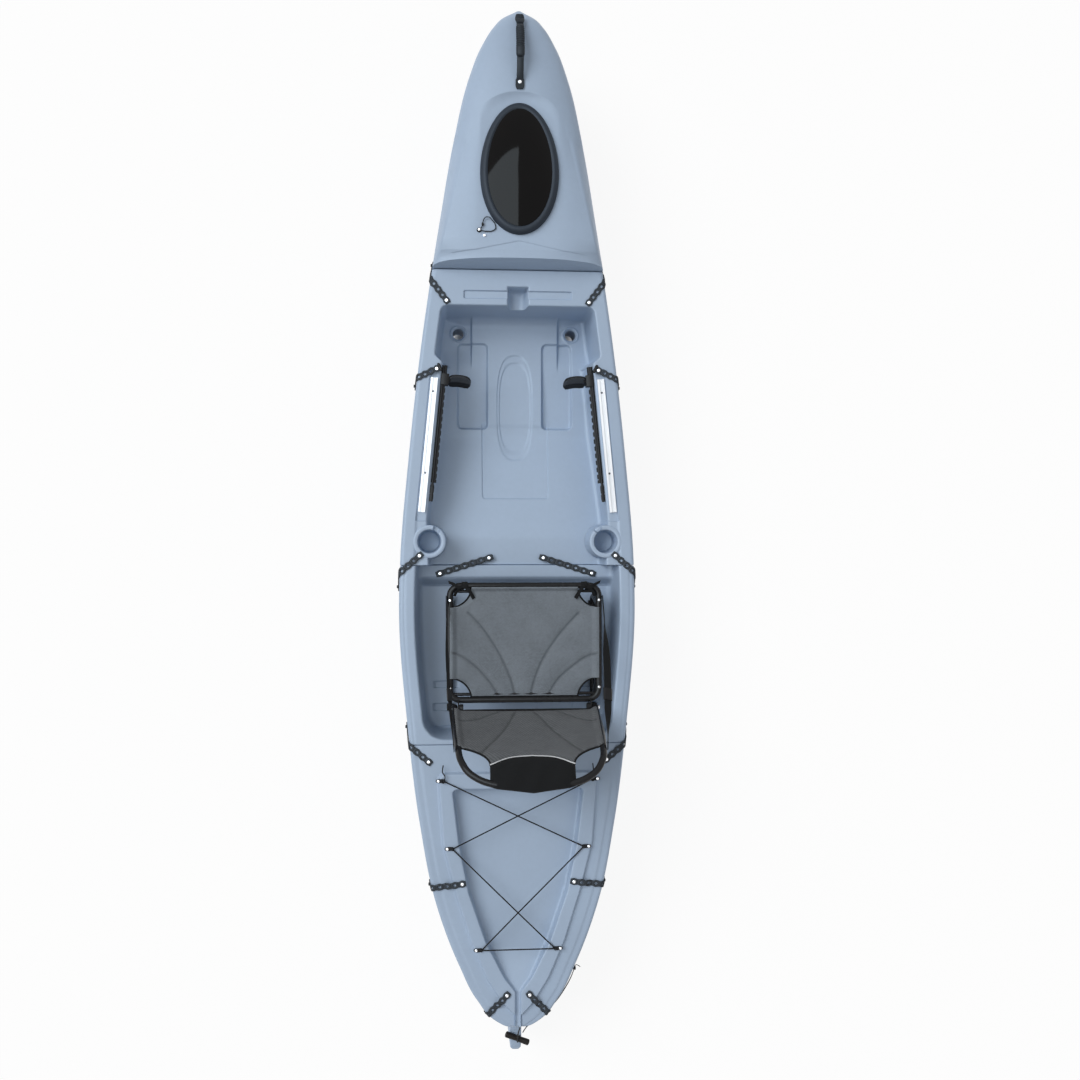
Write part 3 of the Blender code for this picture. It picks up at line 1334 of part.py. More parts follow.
def make_back():
    frame = tube("seat_back_frame", back_tube_path(), SEAT_TUBE, 12, "tube")
    for side, label in ((-1, "port"), (1, "starboard")):
        cut(frame, pin_bore(side, label, "back"))
    room = tube("back_fabric_room", back_tube_path(), SEAT_TUBE + GAP, 12)

    cover_half = PIPING[0][0]
    corner = [(v, tube_half(v)) for v in (BACK_BOTTOM, 0.10, 0.19, 0.270, 0.300)]
    corner += [(0.320, 0.178), (0.340, 0.150), (PIPING[0][1], cover_half)]
    fabric = panel("seat_back_fabric", corner, FABRIC_THICK, "mesh")
    cut(fabric, room)

    columns = np.linspace(-cover_half, cover_half, 9)
    rings = []
    for x in columns:
        top = along([(row[0], row[1]) for row in BACK_TUBE], abs(x)) + SEAT_TUBE + 0.003
        bottom = piping_v(x)
        ring = []
        steps = 6
        for k in range(steps + 1):
            v = bottom + (top - bottom) * k / steps
            ring.append(back_place(x, v, COVER_THICK / 2 * min(1.0, 0.35 + k * 0.25)))
        for k in range(steps, -1, -1):
            v = bottom + (top - bottom) * k / steps
            ring.append(back_place(x, v, -COVER_THICK / 2 * min(1.0, 0.35 + k * 0.25)))
        rings.append(ring)
    cover = loft("seat_back_cover", rings, "cord")
    cut(cover, room)
    cut(fabric, panel_room(cover_half))
    hang_on(joint_empty("seat_back_axis", Vector((SEAT_X, HINGE_Y, HINGE_Z))), frame, fabric, cover)
    return smooth(frame), smooth(fabric), smooth(cover)


def panel_room(cover_half):
    """Room in the back's mesh for its cover, with a gap along the piping."""
    rings = []
    for x in np.linspace(-cover_half - GAP, cover_half + GAP, 9):
        bottom = piping_v(min(abs(x), cover_half)) - GAP
        ring = [back_place(x, v, 0.005) for v in (bottom, bottom + 0.02, bottom + 0.04, bottom + 0.06)]
        ring += [back_place(x, v, -0.005) for v in (bottom + 0.06, bottom + 0.04, bottom + 0.02, bottom)]
        rings.append(ring)
    return loft("back_cover_room", rings)


def make_feet():
    """Plastic shoes under the legs: the rear pair stand in the deck's slots."""
    made = []
    floor = SEAT_FLOOR[-1][1]
    half_x, half_y = FOOT_HALF
    for side, label in ((-1, "port"), (1, "starboard")):
        x = SEAT_X + side * LEG_HALF
        for end, y, low in (("front", LEG_FRONT, floor), ("rear", LEG_REAR, floor - SLOT_DEPTH)):
            shoe = box(
                f"seat_shoe_{end}_{label}",
                (x - half_x, y - half_y, low + GAP),
                (x + half_x, y + half_y, leg_level() + 0.001),
                "plastic",
            )
            run = [(x, y - 0.05, leg_level()), (x, y + 0.05, leg_level())]
            cut(shoe, tube(f"shoe_room_{end}_{label}", run, (LEG_TUBE + GAP) * 1.06, 10))
            made.append(shoe)
    return made


def make_webbing():
    """A strap each side from the base's front corner up to the back, through a buckle."""
    made = []
    for side, label in ((-1, "port"), (1, "starboard")):
        off_tube = SEAT_TUBE + WEBBING_THICK / 2 + GAP
        start = Vector((SEAT_X + side * (SEAT_HALF + off_tube), SEAT_FRONT - SEAT_CORNER, SEAT_Z + 0.004))
        top = back_place(0.0, WEBBING_TOP)
        widest = tube_half(WEBBING_TOP - WEBBING_WIDTH)
        end = Vector((SEAT_X + side * (widest + off_tube), top.y, top.z))
        ahead = (end - start).normalized()
        up = Vector((0, -ahead.z, ahead.y)).normalized()

        def band(share, thick, width):
            """Four corners of the strap, or of what is on it, at a share of the way up."""
            bowed = Vector((side * WEBBING_BOW * math.sin(math.pi * share), 0, 0))
            centre = start.lerp(end, share) + bowed
            flat, tall = Vector((thick / 2, 0, 0)), up * width / 2
            return [centre + c for c in (-flat - tall, flat - tall, flat + tall, -flat + tall)]

        widths = ((0.0, 0.55), (0.3, 1.0), (0.6, 1.0), (0.75, 1.0), (1.0, 0.55))
        rings = [band(share, WEBBING_THICK, WEBBING_WIDTH * wide) for share, wide in widths]
        strap = loft(f"seat_webbing_{label}", rings, "cord")
        thick, width, length = BUCKLE
        run = ahead * length / 2
        middle = band(BUCKLE_AT, thick, width)
        join(strap, loft(f"seat_buckle_{label}", [[c - run for c in middle], [c + run for c in middle]]))
        made.append(strap)
    return made


def make_ties():
    """A cloth tie round each front corner of the base, with its two ends hanging over."""
    made = []
    for side, label in ((-1, "port"), (1, "starboard")):
        x = SEAT_X + side * (SEAT_HALF - SEAT_CORNER - 0.014)
        wrap = tube(
            f"seat_tie_{label}",
            [(x - 0.013, SEAT_FRONT, SEAT_Z), (x + 0.013, SEAT_FRONT, SEAT_Z)],
            SEAT_TUBE + 0.0030,
            12,
            "cord",
        )
        knot = Vector((x - 0.003 * side, SEAT_FRONT, SEAT_Z + SEAT_TUBE + GAP))
        for k, (dx, dy) in enumerate(TIE_TAILS):
            tip = knot + Vector((side * dx, dy, -0.004))
            section = ((-0.006, 0.0), (0.006, 0.0), (0.006, 0.0022), (-0.006, 0.0022))
            rings = [[end + Vector((0, w, h)) for w, h in section] for end in (knot, tip)]
            join(wrap, loft(f"tie_tail_{k}_{label}", rings))
        cut(wrap, seat_ring(SEAT_TUBE + GAP, 12, f"tie_room_{label}"))
        room = FABRIC_THICK / 2 + 0.001
        low_corner = (x - 0.02, SEAT_FRONT - 0.04, SEAT_Z - room)
        cut(wrap, box(f"tie_fabric_room_{label}", low_corner, (x + 0.02, SEAT_FRONT - 0.009, SEAT_Z + room)))
        made.append(smooth(wrap))
    return made


# Stern lashing and toggle


def lashing_path():
    """Top port to middle starboard, to aft port, across, to middle port, to top starboard."""
    z = SHEER + RIB_RISE + CORD_RISE
    (tx, ty), (mx, my), (ax, ay) = [(x - EYE_LENGTH * 0.30, y) for x, y in EYES]
    over, low = 0.0028, -0.0028
    corners = [
        (-tx, ty, z),
        (0.0, None, z + over),
        (mx, my, z),
        (0.0, None, z + low),
        (-ax, ay, z),
        (ax, ay, z),
        (0.0, None, z - low),
        (-mx, my, z),
        (0.0, None, z - over),
        (tx, ty, z),
    ]
    path = []
    for i, (x, y, height) in enumerate(corners):
        if y is None:
            before, after = corners[i - 1], corners[i + 1]
            share = -before[0] / (after[0] - before[0])
            y = before[1] + (after[1] - before[1]) * share
        path.append(Vector((x, y, height)))
    return path


def make_lashing():
    path = lashing_path()
    ends = [path[0] + Vector((0.010, 0.032, 0.010)), path[-1] + Vector((-0.010, 0.032, 0.010))]
    route = rounded([ends[0], *path, ends[1]], 0.004, 2)
    cord = tube("stern_lashing", route, CORD_RADIUS, 6, "cord")
    eyes = []
    for row, (reach, y) in enumerate(EYES):
        for side, label in ((-1, "port"), (1, "starboard")):
            low = SHEER + RIB_RISE + GAP
            centre = side * reach
            half, wide = EYE_LENGTH / 2, EYE_WIDTH / 2
            corner = ((1.0, 0.7), (0.8, 1.0), (-0.8, 1.0), (-1.0, 0.7))
            front = [(centre + half * a, y + wide * b) for a, b in corner]
            outline = front + [(x, 2 * y - ahead) for x, ahead in reversed(front)]
            eye = prism(f"deck_eye_{row}_{label}", outline, low, low + EYE_PLATE, "plastic")
            inner = centre - side * EYE_LENGTH * 0.30
            low_corner = (inner - HOOP_HALF[0], y - HOOP_HALF[1], low + EYE_PLATE / 2)
            high_corner = (inner + HOOP_HALF[0], y + HOOP_HALF[1], low + EYE_HEIGHT)
            hoop = box(f"eye_hoop_{row}_{label}", low_corner, high_corner)
            head = arc((centre + side * EYE_LENGTH * 0.24, y), EYE_SCREW, 0, 315, 7)
            screw = prism(f"eye_screw_{row}_{label}", head, low + EYE_PLATE / 2, low + EYE_HEIGHT * 0.6)
            join(eye, hoop, screw)
            cut(eye, tube(f"eye_room_{row}_{label}", route, CORD_RADIUS + 2 * GAP, 6))
            eyes.append(smooth(eye))
    return cord, eyes


def make_toggle():
    """A bar lying across the tail, with the cord that ties its middle to the end of the deck."""
    ahead = Vector((math.cos(TOGGLE_TURN), math.sin(TOGGLE_TURN), 0.0))
    centre = Vector((*TOGGLE_AT, TAIL_TOP + GAP + TOGGLE_RADIUS * 0.975))
    rings = []
    up = Vector((0, 0, 1))
    across = ahead.cross(up)
    for share, size in TOGGLE_SHAPE:
        middle = centre + ahead * (TOGGLE_LENGTH / 2 * share)
        ring = []
        for k in range(12):
            turn = 2 * math.pi * k / 12
            ring.append(middle + (across * math.cos(turn) + up * math.sin(turn)) * TOGGLE_RADIUS * size)
        rings.append(ring)
    bar = smooth(loft("stern_toggle", rings, "plastic"))
    anchor = Vector((LEASH_X, LEASH_Y, LEASH_Z))
    top = centre + up * (TOGGLE_RADIUS * 0.92 + GAP)
    over = [anchor + Vector((0, -0.012, -0.006)), top + Vector((0, 0.016, 0.016))]
    route = [anchor, *over, top + up * 0.008, top]
    leash = tube("toggle_leash", route, CORD_RADIUS, 6, "cord")
    hang_on(joint_empty("toggle_swing_axis", anchor), bar, leash)
    return bar, leash


def moulded_half(y):
    """Half beam of the moulding at a place, along the straight runs between its stations."""
    places = sorted(stations(STERN_END, REAR_JOINT - GAP))
    return float(np.interp(y, places, [hull_at(p)[0] for p in places]))


def make_keeper():
    """A doubled cord along the starboard quarter, from the toggle to a knot under the deck's edge."""
    slant = (moulded_half(KNOT_Y + 0.01) - moulded_half(KNOT_Y - 0.01)) / 0.02
    knot = Vector((moulded_half(KNOT_Y) + (KNOT_RADIUS + GAP) * math.hypot(1, slant), KNOT_Y, KNOT_Z))
    out = [Vector((0.022, -1.676, 0.238)), Vector((0.034, -1.650, 0.256))]
    for y, z in ((-1.6035, 0.276), (-1.556, 0.288), (-1.51, 0.295), (-1.476, 0.299)):
        out.append(Vector((moulded_half(y) + 0.010, y, z)))
    out.append(knot + Vector((0.0, -0.004, 0.002)))
    apart = Vector((0.0010, -0.0010, -0.0050))
    back = [p + apart for p in reversed(out)]
    ahead = (out[-1] - out[-2]).normalized()
    turn = []
    for a in np.radians((45, 90, 135)):
        turn.append(out[-1] + ahead * 0.0025 * math.sin(a) + apart * (1 - math.cos(a)) / 2)
    cord = tube("keeper_line", out + turn + back, 0.0012, 6, "cord")
    ball = []
    for lean in np.radians((15, 50, 90, 130, 165)):
        size, ahead_y = KNOT_RADIUS * math.sin(lean), KNOT_RADIUS * math.cos(lean)
        spins = np.radians(range(0, 360, 45))
        ball.append([knot + Vector((size * math.cos(a), ahead_y, size * math.sin(a))) for a in spins])
    join(cord, loft("keeper_knot", ball))
    return cord


def main():
    clear_scene()
    make_bow()
    make_front()
    make_seat_section()
    make_stern()
    make_hatch()
    make_tether()
    make_handle()
    for side, label in ((-1, "port"), (1, "starboard")):
        make_track(side, label)
        make_brace(side, label)
        make_pedal(side, label)
    make_straps()
    make_seat_base()
    make_seat_fabric()
    make_back()
    make_pins()
    make_feet()
    make_webbing()
    make_ties()
    make_lashing()
    make_toggle()
    make_keeper()


main()
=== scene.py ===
"""Looks for a sectional sit-on-top fishing kayak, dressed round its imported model.

Metres, +X to starboard, +Y to the bow, +Z up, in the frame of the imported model.
"""

import math

import bmesh
import bpy
import numpy as np
from mathutils import Matrix, Vector
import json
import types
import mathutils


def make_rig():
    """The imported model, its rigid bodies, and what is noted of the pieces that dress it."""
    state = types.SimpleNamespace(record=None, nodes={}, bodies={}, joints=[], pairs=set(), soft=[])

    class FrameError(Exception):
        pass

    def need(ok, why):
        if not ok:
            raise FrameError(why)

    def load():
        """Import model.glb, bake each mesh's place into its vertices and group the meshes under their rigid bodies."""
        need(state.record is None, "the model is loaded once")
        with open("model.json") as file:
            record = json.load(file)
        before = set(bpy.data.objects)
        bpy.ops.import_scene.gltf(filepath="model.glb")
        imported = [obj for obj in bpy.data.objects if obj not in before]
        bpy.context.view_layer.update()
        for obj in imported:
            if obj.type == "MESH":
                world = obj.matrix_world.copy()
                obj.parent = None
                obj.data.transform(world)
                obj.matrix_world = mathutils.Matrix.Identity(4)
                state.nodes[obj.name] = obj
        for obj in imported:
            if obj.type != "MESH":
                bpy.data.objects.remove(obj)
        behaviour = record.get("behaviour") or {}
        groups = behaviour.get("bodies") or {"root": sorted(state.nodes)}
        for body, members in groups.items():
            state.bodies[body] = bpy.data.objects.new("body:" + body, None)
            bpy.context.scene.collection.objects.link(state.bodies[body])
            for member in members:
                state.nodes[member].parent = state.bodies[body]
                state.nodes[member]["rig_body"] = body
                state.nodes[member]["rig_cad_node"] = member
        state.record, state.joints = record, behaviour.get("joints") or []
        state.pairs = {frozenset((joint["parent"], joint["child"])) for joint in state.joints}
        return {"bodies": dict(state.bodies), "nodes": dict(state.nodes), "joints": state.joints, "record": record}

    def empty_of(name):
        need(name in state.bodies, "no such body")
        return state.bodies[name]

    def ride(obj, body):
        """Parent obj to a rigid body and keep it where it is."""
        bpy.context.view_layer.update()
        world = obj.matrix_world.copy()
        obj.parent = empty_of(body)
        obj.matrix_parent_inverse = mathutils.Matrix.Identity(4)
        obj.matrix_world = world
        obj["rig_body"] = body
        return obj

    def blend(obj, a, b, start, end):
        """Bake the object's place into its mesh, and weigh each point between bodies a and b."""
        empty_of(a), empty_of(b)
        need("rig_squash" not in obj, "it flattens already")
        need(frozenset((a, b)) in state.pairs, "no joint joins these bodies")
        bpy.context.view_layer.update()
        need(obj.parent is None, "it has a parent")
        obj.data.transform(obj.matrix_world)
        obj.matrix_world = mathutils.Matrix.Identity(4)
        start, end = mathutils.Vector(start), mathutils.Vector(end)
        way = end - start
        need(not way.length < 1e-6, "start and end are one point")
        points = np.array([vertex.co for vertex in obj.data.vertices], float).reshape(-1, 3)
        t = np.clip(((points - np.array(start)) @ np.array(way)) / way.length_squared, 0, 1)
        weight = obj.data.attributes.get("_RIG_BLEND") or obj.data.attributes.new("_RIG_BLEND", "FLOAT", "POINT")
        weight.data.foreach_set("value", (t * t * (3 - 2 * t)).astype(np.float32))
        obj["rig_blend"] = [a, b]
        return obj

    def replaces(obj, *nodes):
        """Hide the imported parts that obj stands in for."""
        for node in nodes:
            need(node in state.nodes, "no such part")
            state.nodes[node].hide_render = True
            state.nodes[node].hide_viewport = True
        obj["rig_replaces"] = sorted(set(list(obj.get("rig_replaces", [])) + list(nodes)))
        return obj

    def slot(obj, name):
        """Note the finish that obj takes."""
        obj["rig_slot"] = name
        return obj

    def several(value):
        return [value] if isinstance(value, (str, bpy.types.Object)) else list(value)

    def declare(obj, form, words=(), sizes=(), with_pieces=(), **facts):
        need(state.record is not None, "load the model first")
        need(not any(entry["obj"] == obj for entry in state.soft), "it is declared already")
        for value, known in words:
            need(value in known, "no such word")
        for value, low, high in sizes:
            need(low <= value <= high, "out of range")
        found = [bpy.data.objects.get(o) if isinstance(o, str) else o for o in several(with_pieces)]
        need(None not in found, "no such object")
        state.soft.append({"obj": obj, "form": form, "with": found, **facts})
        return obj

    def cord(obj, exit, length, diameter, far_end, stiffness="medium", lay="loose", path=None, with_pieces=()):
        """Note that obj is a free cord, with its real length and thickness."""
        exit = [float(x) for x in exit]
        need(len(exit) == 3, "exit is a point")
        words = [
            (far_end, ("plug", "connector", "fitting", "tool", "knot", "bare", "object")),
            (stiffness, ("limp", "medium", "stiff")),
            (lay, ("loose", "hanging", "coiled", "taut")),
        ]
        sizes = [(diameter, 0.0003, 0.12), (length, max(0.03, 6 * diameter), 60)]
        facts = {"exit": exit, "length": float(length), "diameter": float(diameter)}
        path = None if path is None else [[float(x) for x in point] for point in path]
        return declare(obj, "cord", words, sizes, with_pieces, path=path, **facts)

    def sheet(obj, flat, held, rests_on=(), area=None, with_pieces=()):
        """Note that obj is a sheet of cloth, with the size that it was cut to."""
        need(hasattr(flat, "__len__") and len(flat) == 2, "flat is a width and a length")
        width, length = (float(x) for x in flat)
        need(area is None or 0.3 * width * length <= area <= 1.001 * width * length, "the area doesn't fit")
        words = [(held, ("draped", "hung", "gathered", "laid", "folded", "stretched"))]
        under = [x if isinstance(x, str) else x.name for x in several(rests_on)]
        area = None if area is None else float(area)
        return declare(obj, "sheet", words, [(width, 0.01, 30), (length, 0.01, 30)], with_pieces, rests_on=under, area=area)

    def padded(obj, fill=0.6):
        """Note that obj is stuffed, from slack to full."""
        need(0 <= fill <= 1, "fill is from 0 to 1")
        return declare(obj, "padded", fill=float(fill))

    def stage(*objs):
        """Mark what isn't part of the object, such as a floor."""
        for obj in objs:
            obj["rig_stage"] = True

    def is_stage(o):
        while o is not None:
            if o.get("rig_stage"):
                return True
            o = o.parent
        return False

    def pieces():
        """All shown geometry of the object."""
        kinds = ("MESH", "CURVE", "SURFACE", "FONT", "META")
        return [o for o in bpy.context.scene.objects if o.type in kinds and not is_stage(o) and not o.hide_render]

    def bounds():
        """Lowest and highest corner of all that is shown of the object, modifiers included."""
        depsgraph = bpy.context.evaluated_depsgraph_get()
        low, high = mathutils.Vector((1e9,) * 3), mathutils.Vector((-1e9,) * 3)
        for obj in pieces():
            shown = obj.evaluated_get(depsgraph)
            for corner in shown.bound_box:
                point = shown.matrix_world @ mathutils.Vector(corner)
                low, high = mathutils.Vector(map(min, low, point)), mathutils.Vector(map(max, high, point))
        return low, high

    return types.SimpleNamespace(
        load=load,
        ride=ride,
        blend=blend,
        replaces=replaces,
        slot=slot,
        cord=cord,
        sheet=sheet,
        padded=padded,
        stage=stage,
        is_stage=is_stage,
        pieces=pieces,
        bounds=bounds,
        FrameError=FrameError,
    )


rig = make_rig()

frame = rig.load()

bl_info = {
    "name": "Fishing kayak",
    "version": (1, 0, 0),
    "blender": (4, 5, 0),
    "location": "3D View > Sidebar > Kayak",
    "description": "Builds the surfaces, cords and cloth of a sectional fishing kayak",
    "category": "Object",
}

CAD_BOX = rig.bounds()
SIDES = ((-1, "port"), (1, "starboard"))
HULL = "hull"

# Hull lines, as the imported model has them: distance forward of amidships, half beam, keel height
HULL_LINES = (
    (1.750, 0.012, 0.290),
    (1.730, 0.050, 0.225),
    (1.695, 0.083, 0.160),
    (1.630, 0.124, 0.095),
    (1.530, 0.164, 0.050),
    (1.330, 0.213, 0.012),
    (1.080, 0.257, 0.000),
    (0.680, 0.318, 0.000),
    (0.270, 0.364, 0.000),
    (-0.060, 0.391, 0.000),
    (-0.240, 0.395, 0.000),
    (-0.600, 0.368, 0.000),
    (-0.940, 0.326, 0.000),
    (-1.210, 0.271, 0.004),
    (-1.412, 0.196, 0.022),
    (-1.530, 0.136, 0.045),
    (-1.600, 0.075, 0.062),
    (-1.622, 0.038, 0.070),
)
HULL_SECTION = (
    (0.00, 0.000),
    (0.30, 0.000),
    (0.37, 0.050),
    (0.50, 0.056),
    (0.61, 0.030),
    (0.78, 0.100),
    (0.91, 0.300),
    (0.985, 0.560),
    (1.00, 0.800),
)
BOW_CROWN = (
    (0.905, 0.402, 0.330),
    (1.100, 0.416, 0.334),
    (1.300, 0.421, 0.340),
    (1.500, 0.421, 0.350),
    (1.640, 0.412, 0.360),
    (1.710, 0.398, 0.362),
    (1.750, 0.372, 0.345),
)
SHEER = 0.330
EDGE_ROUND = 0.012
BOW_JOINT = 0.905
MID_JOINT = -0.080
REAR_JOINT = -0.675
STERN_END = -1.622
JOINT_GAP = 0.0006
JOINT_ROUND = 0.0030
FACE_RAKE = 0.024
PLATEAU_Z = 0.410
PLATEAU_ARCH = (1.345, 0.157, 0.123)
PLATEAU_EDGE = 0.034
CREASE = ((0.905, 0.268), (0.936, 0.259), (1.112, 0.215), (1.345, 0.157))
CREASE_DROP = 0.012
CHEVRON = (0.985, 0.045 / 0.218)
HATCH_Y = 1.217
HATCH_HALF = (0.129, 0.215)
HATCH_EGG = 0.07
HATCH_RIM_WIDTH = 0.030
HATCH_RIM_HEIGHT = 0.022

FOOT_FLOOR = ((-0.20, 0.222), (0.02, 0.222), (0.36, 0.150), (0.95, 0.150))
FOOT_SIDE = (
    (-0.16, 0.304),
    (-0.062, 0.3035),
    (0.072, 0.3087),
    (0.590, 0.2582),
    (0.597, 0.2590),
    (0.607, 0.2700),
    (0.617, 0.2800),
    (0.630, 0.2813),
    (0.770, 0.2630),
    (0.950, 0.2420),
)
FOOT_FRONT = 0.792
FOOT_CORNER = 0.030
BRACE_WALL = ((0.607, 0.2565), (0.072, 0.3087))
SHELF = (0.068, 0.577, 0.030, 0.008)
LOW_FLANGE = 0.003
CUP = (0.295, 0.0)
CUP_RADIUS = 0.039
CUP_RING = 0.055
CUP_FLOOR = 0.234
SCUPPER = (0.196, 0.722)
SCUPPER_RADIUS = 0.019
SEAT_FLOOR = ((-0.90, 0.190), (-0.150, 0.190), (-0.1245, 0.232), (0.10, 0.232))
SEAT_WELL_REAR = -0.664
FLANGE = 0.046
SLOT_ROWS = ((-0.503, -0.479), (-0.582, -0.555), (-0.663, -0.633))
SLOT_X = (0.195, 0.280)
RIB_RISE = 0.012
RIB_OUTER = (
    (-0.765, 0.262),
    (-0.798, 0.268),
    (-1.002, 0.2535),
    (-1.166, 0.212),
    (-1.330, 0.160),
    (-1.452, 0.1075),
    (-1.534, 0.056),
    (-1.578, 0.014),
)
TANK_INNER = (
    (-0.818, 0.222),
    (-0.832, 0.222),
    (-1.002, 0.2015),
    (-1.166, 0.169),
    (-1.330, 0.1125),
    (-1.452, 0.0495),
    (-1.498, 0.0135),
)
TANK_FLOOR = ((-1.70, 0.3297), (-1.498, 0.3297), (-1.36, 0.300), (-0.60, 0.300))
RIB_FRONT = -0.765
TANK_FRONT = -0.818
RIM_TEETH = 180
DOME_RISE = 0.030
TETHER_EYE = (-0.1325, 1.0150)
TETHER_RISE = 0.006
TETHER_RADIUS = 0.0016
HANDLE_ARCH = 0.034
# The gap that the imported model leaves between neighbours
STAND_OFF = 0.0003

# Straps over the deck's edge: name, screw, slope over the deck, slope down the side, reach down it
EDGE_STRAPS = (
    ("strap_bow_joint", (0.238, 0.800), 1.10, 1.10, 0.055),
    ("strap_brace", (0.270, 0.573), -0.50, -0.80, 0.035),
    ("strap_mid_joint", (0.327, -0.047), -0.90, -1.00, 0.050),
    ("strap_rear_joint", (0.297, -0.730), 0.92, 1.20, 0.050),
    ("strap_rib", (0.186, -1.134), -0.15, 0.40, 0.030),
    ("strap_tail", (0.038, -1.507), -0.66, 0.00, 0.025),
)
STRAP_LIFT = 0.0009
SEAT_STRAP = ((0.262, -0.1095), (0.090, -0.0550))
TRACK_FRONT_Y = 0.544
BRACE_FRONT_Y = 0.588
BRACE_LENGTH = 0.393
BRACE_WIDTH = 0.024
BRACE_TOP = 0.312
ROD_Z = 0.3128
ROD_RADIUS = 0.0040

SEAT_X = 0.021
SEAT_TUBE = 0.0105
SEAT_HALF = 0.248
SEAT_FRONT = -0.1465
SEAT_REAR = -0.5245
SEAT_MIDDLE = (SEAT_FRONT + SEAT_REAR) / 2
SEAT_Z = 0.345
SEAT_CORNER = 0.035
LEG_TUBE = 0.0085
HINGE = (-0.549, 0.372)
BACK_HALF = 0.2325
BACK_CURVE = (
    (0.000, 0.000),
    (0.030, 0.087),
    (0.060, 0.174),
    (0.088, 0.255),
    (0.103, 0.288),
    (0.123, 0.315),
    (0.149, 0.336),
    (0.180, 0.353),
    (0.210, 0.364),
)
BACK_TUBE = (
    (BACK_HALF, 0.000),
    (BACK_HALF, 0.050),
    (BACK_HALF - 0.0075, 0.270),
    (BACK_HALF - 0.0145, 0.325),
    (BACK_HALF - 0.0365, 0.368),
    (BACK_HALF - 0.0725, 0.394),
    (BACK_HALF - 0.1225, 0.410),
    (0.0000, 0.424),
)
BACK_BOTTOM = 0.022
BACK_TOP = 0.350
PIPING = ((0.000, 0.3185), (0.070, 0.326), (0.128, 0.349))
CORNER_CUT = 0.072
# The back's upper corner cuts: where they start, and how far they reach in
CUT_START = 0.268
COVER_HALF = 0.128
# Sewn seams, off the seat's middle: forward places on the base, distances up the back
BASE_SEAMS = (
    (
        (-0.188, -0.235), (-0.146, -0.279), (-0.112, -0.327), (-0.081, -0.378), (-0.057, -0.429),
        (-0.040, -0.476), (-0.030, -0.527)
    ),
    (
        (-0.254, -0.361), (-0.217, -0.376), (-0.170, -0.408), (-0.132, -0.446), (-0.102, -0.486),
        (-0.081, -0.527)
    ),
    (
        (0.180, -0.238), (0.127, -0.296), (0.091, -0.344), (0.062, -0.391), (0.038, -0.446),
        (0.023, -0.497), (0.015, -0.531)
    ),
    ((0.250, -0.369), (0.202, -0.386), (0.161, -0.415), (0.118, -0.452), (0.090, -0.490), (0.070, -0.527)),
)
BACK_SEAMS = (
    ((-0.066, 0.020), (-0.079, 0.026), (-0.121, 0.050), (-0.156, 0.078), (-0.220, 0.100)),
    ((-0.032, 0.022), (-0.041, 0.048), (-0.065, 0.114), (-0.094, 0.182), (-0.126, 0.248), (-0.157, 0.307)),
    ((0.020, 0.022), (0.044, 0.060), (0.074, 0.135), (0.112, 0.216), (0.141, 0.274), (0.165, 0.310)),
    ((0.079, 0.022), (0.114, 0.036), (0.159, 0.075), (0.224, 0.114)),
)

EYES = ((0.2575, -0.792), (0.2280, -1.017), (0.1325, -1.355))
CORD_RADIUS = 0.0022
CORD_RISE = 0.0055
KNOT_Y = -1.437
EYE_INSET = 0.0096
KEEPER_RADIUS = 0.0012
TOGGLE_RADIUS = 0.0105
SHOE_SOLE = 0.0025


class KAYAK_PG_colours(bpy.types.PropertyGroup):
    """Colours that someone would change."""

    hull: bpy.props.FloatVectorProperty(
        name="Hull", description="Moulded shells",
        subtype="COLOR", size=3, default=(0.340, 0.430, 0.558)
    )
    strap: bpy.props.FloatVectorProperty(
        name="Straps", description="Rubber straps",
        subtype="COLOR", size=3, default=(0.030, 0.036, 0.044)
    )
    base_cloth: bpy.props.FloatVectorProperty(
        name="Seat cloth", description="Mesh of the seat",
        subtype="COLOR", size=3, default=(0.165, 0.190, 0.218)
    )
    # The back's cloth is darker than the seat's: painted shade for the back's steep lean
    back_cloth: bpy.props.FloatVectorProperty(
        name="Back cloth", description="Mesh of the back",
        subtype="COLOR", size=3, default=(0.092, 0.098, 0.105)
    )
    black: bpy.props.FloatVectorProperty(
        name="Black parts", description="Black plastic and tube",
        subtype="COLOR", size=3, default=(0.012, 0.012, 0.013)
    )


class KAYAK_PG_sizes(bpy.types.PropertyGroup):
    """Sizes that someone would change."""

    row_step: bpy.props.FloatProperty(
        name="Row step", description="Spacing of the shells' rows", default=0.0038, min=0.002, unit="LENGTH"
    )
    strap_width: bpy.props.FloatProperty(
        name="Strap width", description="Width of the rubber straps", default=0.023, unit="LENGTH"
    )
    strap_thick: bpy.props.FloatProperty(
        name="Strap thickness", description="Thickness of the rubber straps", default=0.004, unit="LENGTH"
    )
    screw_radius: bpy.props.FloatProperty(
        name="Screw head", description="Radius of the screw heads", default=0.0058, unit="LENGTH"
    )


# Numbers read from tables


def straight(table, at):
    """A table of (place, value) rows read by straight lines."""
    rows = np.array(sorted(table))
    return np.interp(at, rows[:, 0], rows[:, 1])


def flowing(table, at):
    """Every column of a table read by a cubic through its rows, as an array of columns."""
    rows = np.array(table, float)
    rows = rows[np.argsort(rows[:, 0])]
    slopes = np.gradient(rows[:, 1:], rows[:, 0], axis=0)
    at = np.clip(np.asarray(at, float), rows[0, 0], rows[-1, 0])
    i = np.clip(np.searchsorted(rows[:, 0], at) - 1, 0, len(rows) - 2)
    step = (rows[i + 1, 0] - rows[i, 0])[..., None]
    t = ((at - rows[i, 0])[..., None]) / step
    value = rows[i, 1:] * (2 * t**3 - 3 * t**2 + 1) + rows[i + 1, 1:] * (3 * t**2 - 2 * t**3)
    value += slopes[i] * step * (t**3 - 2 * t**2 + t) + slopes[i + 1] * step * (t**3 - t**2)
    return np.moveaxis(value, -1, 0)


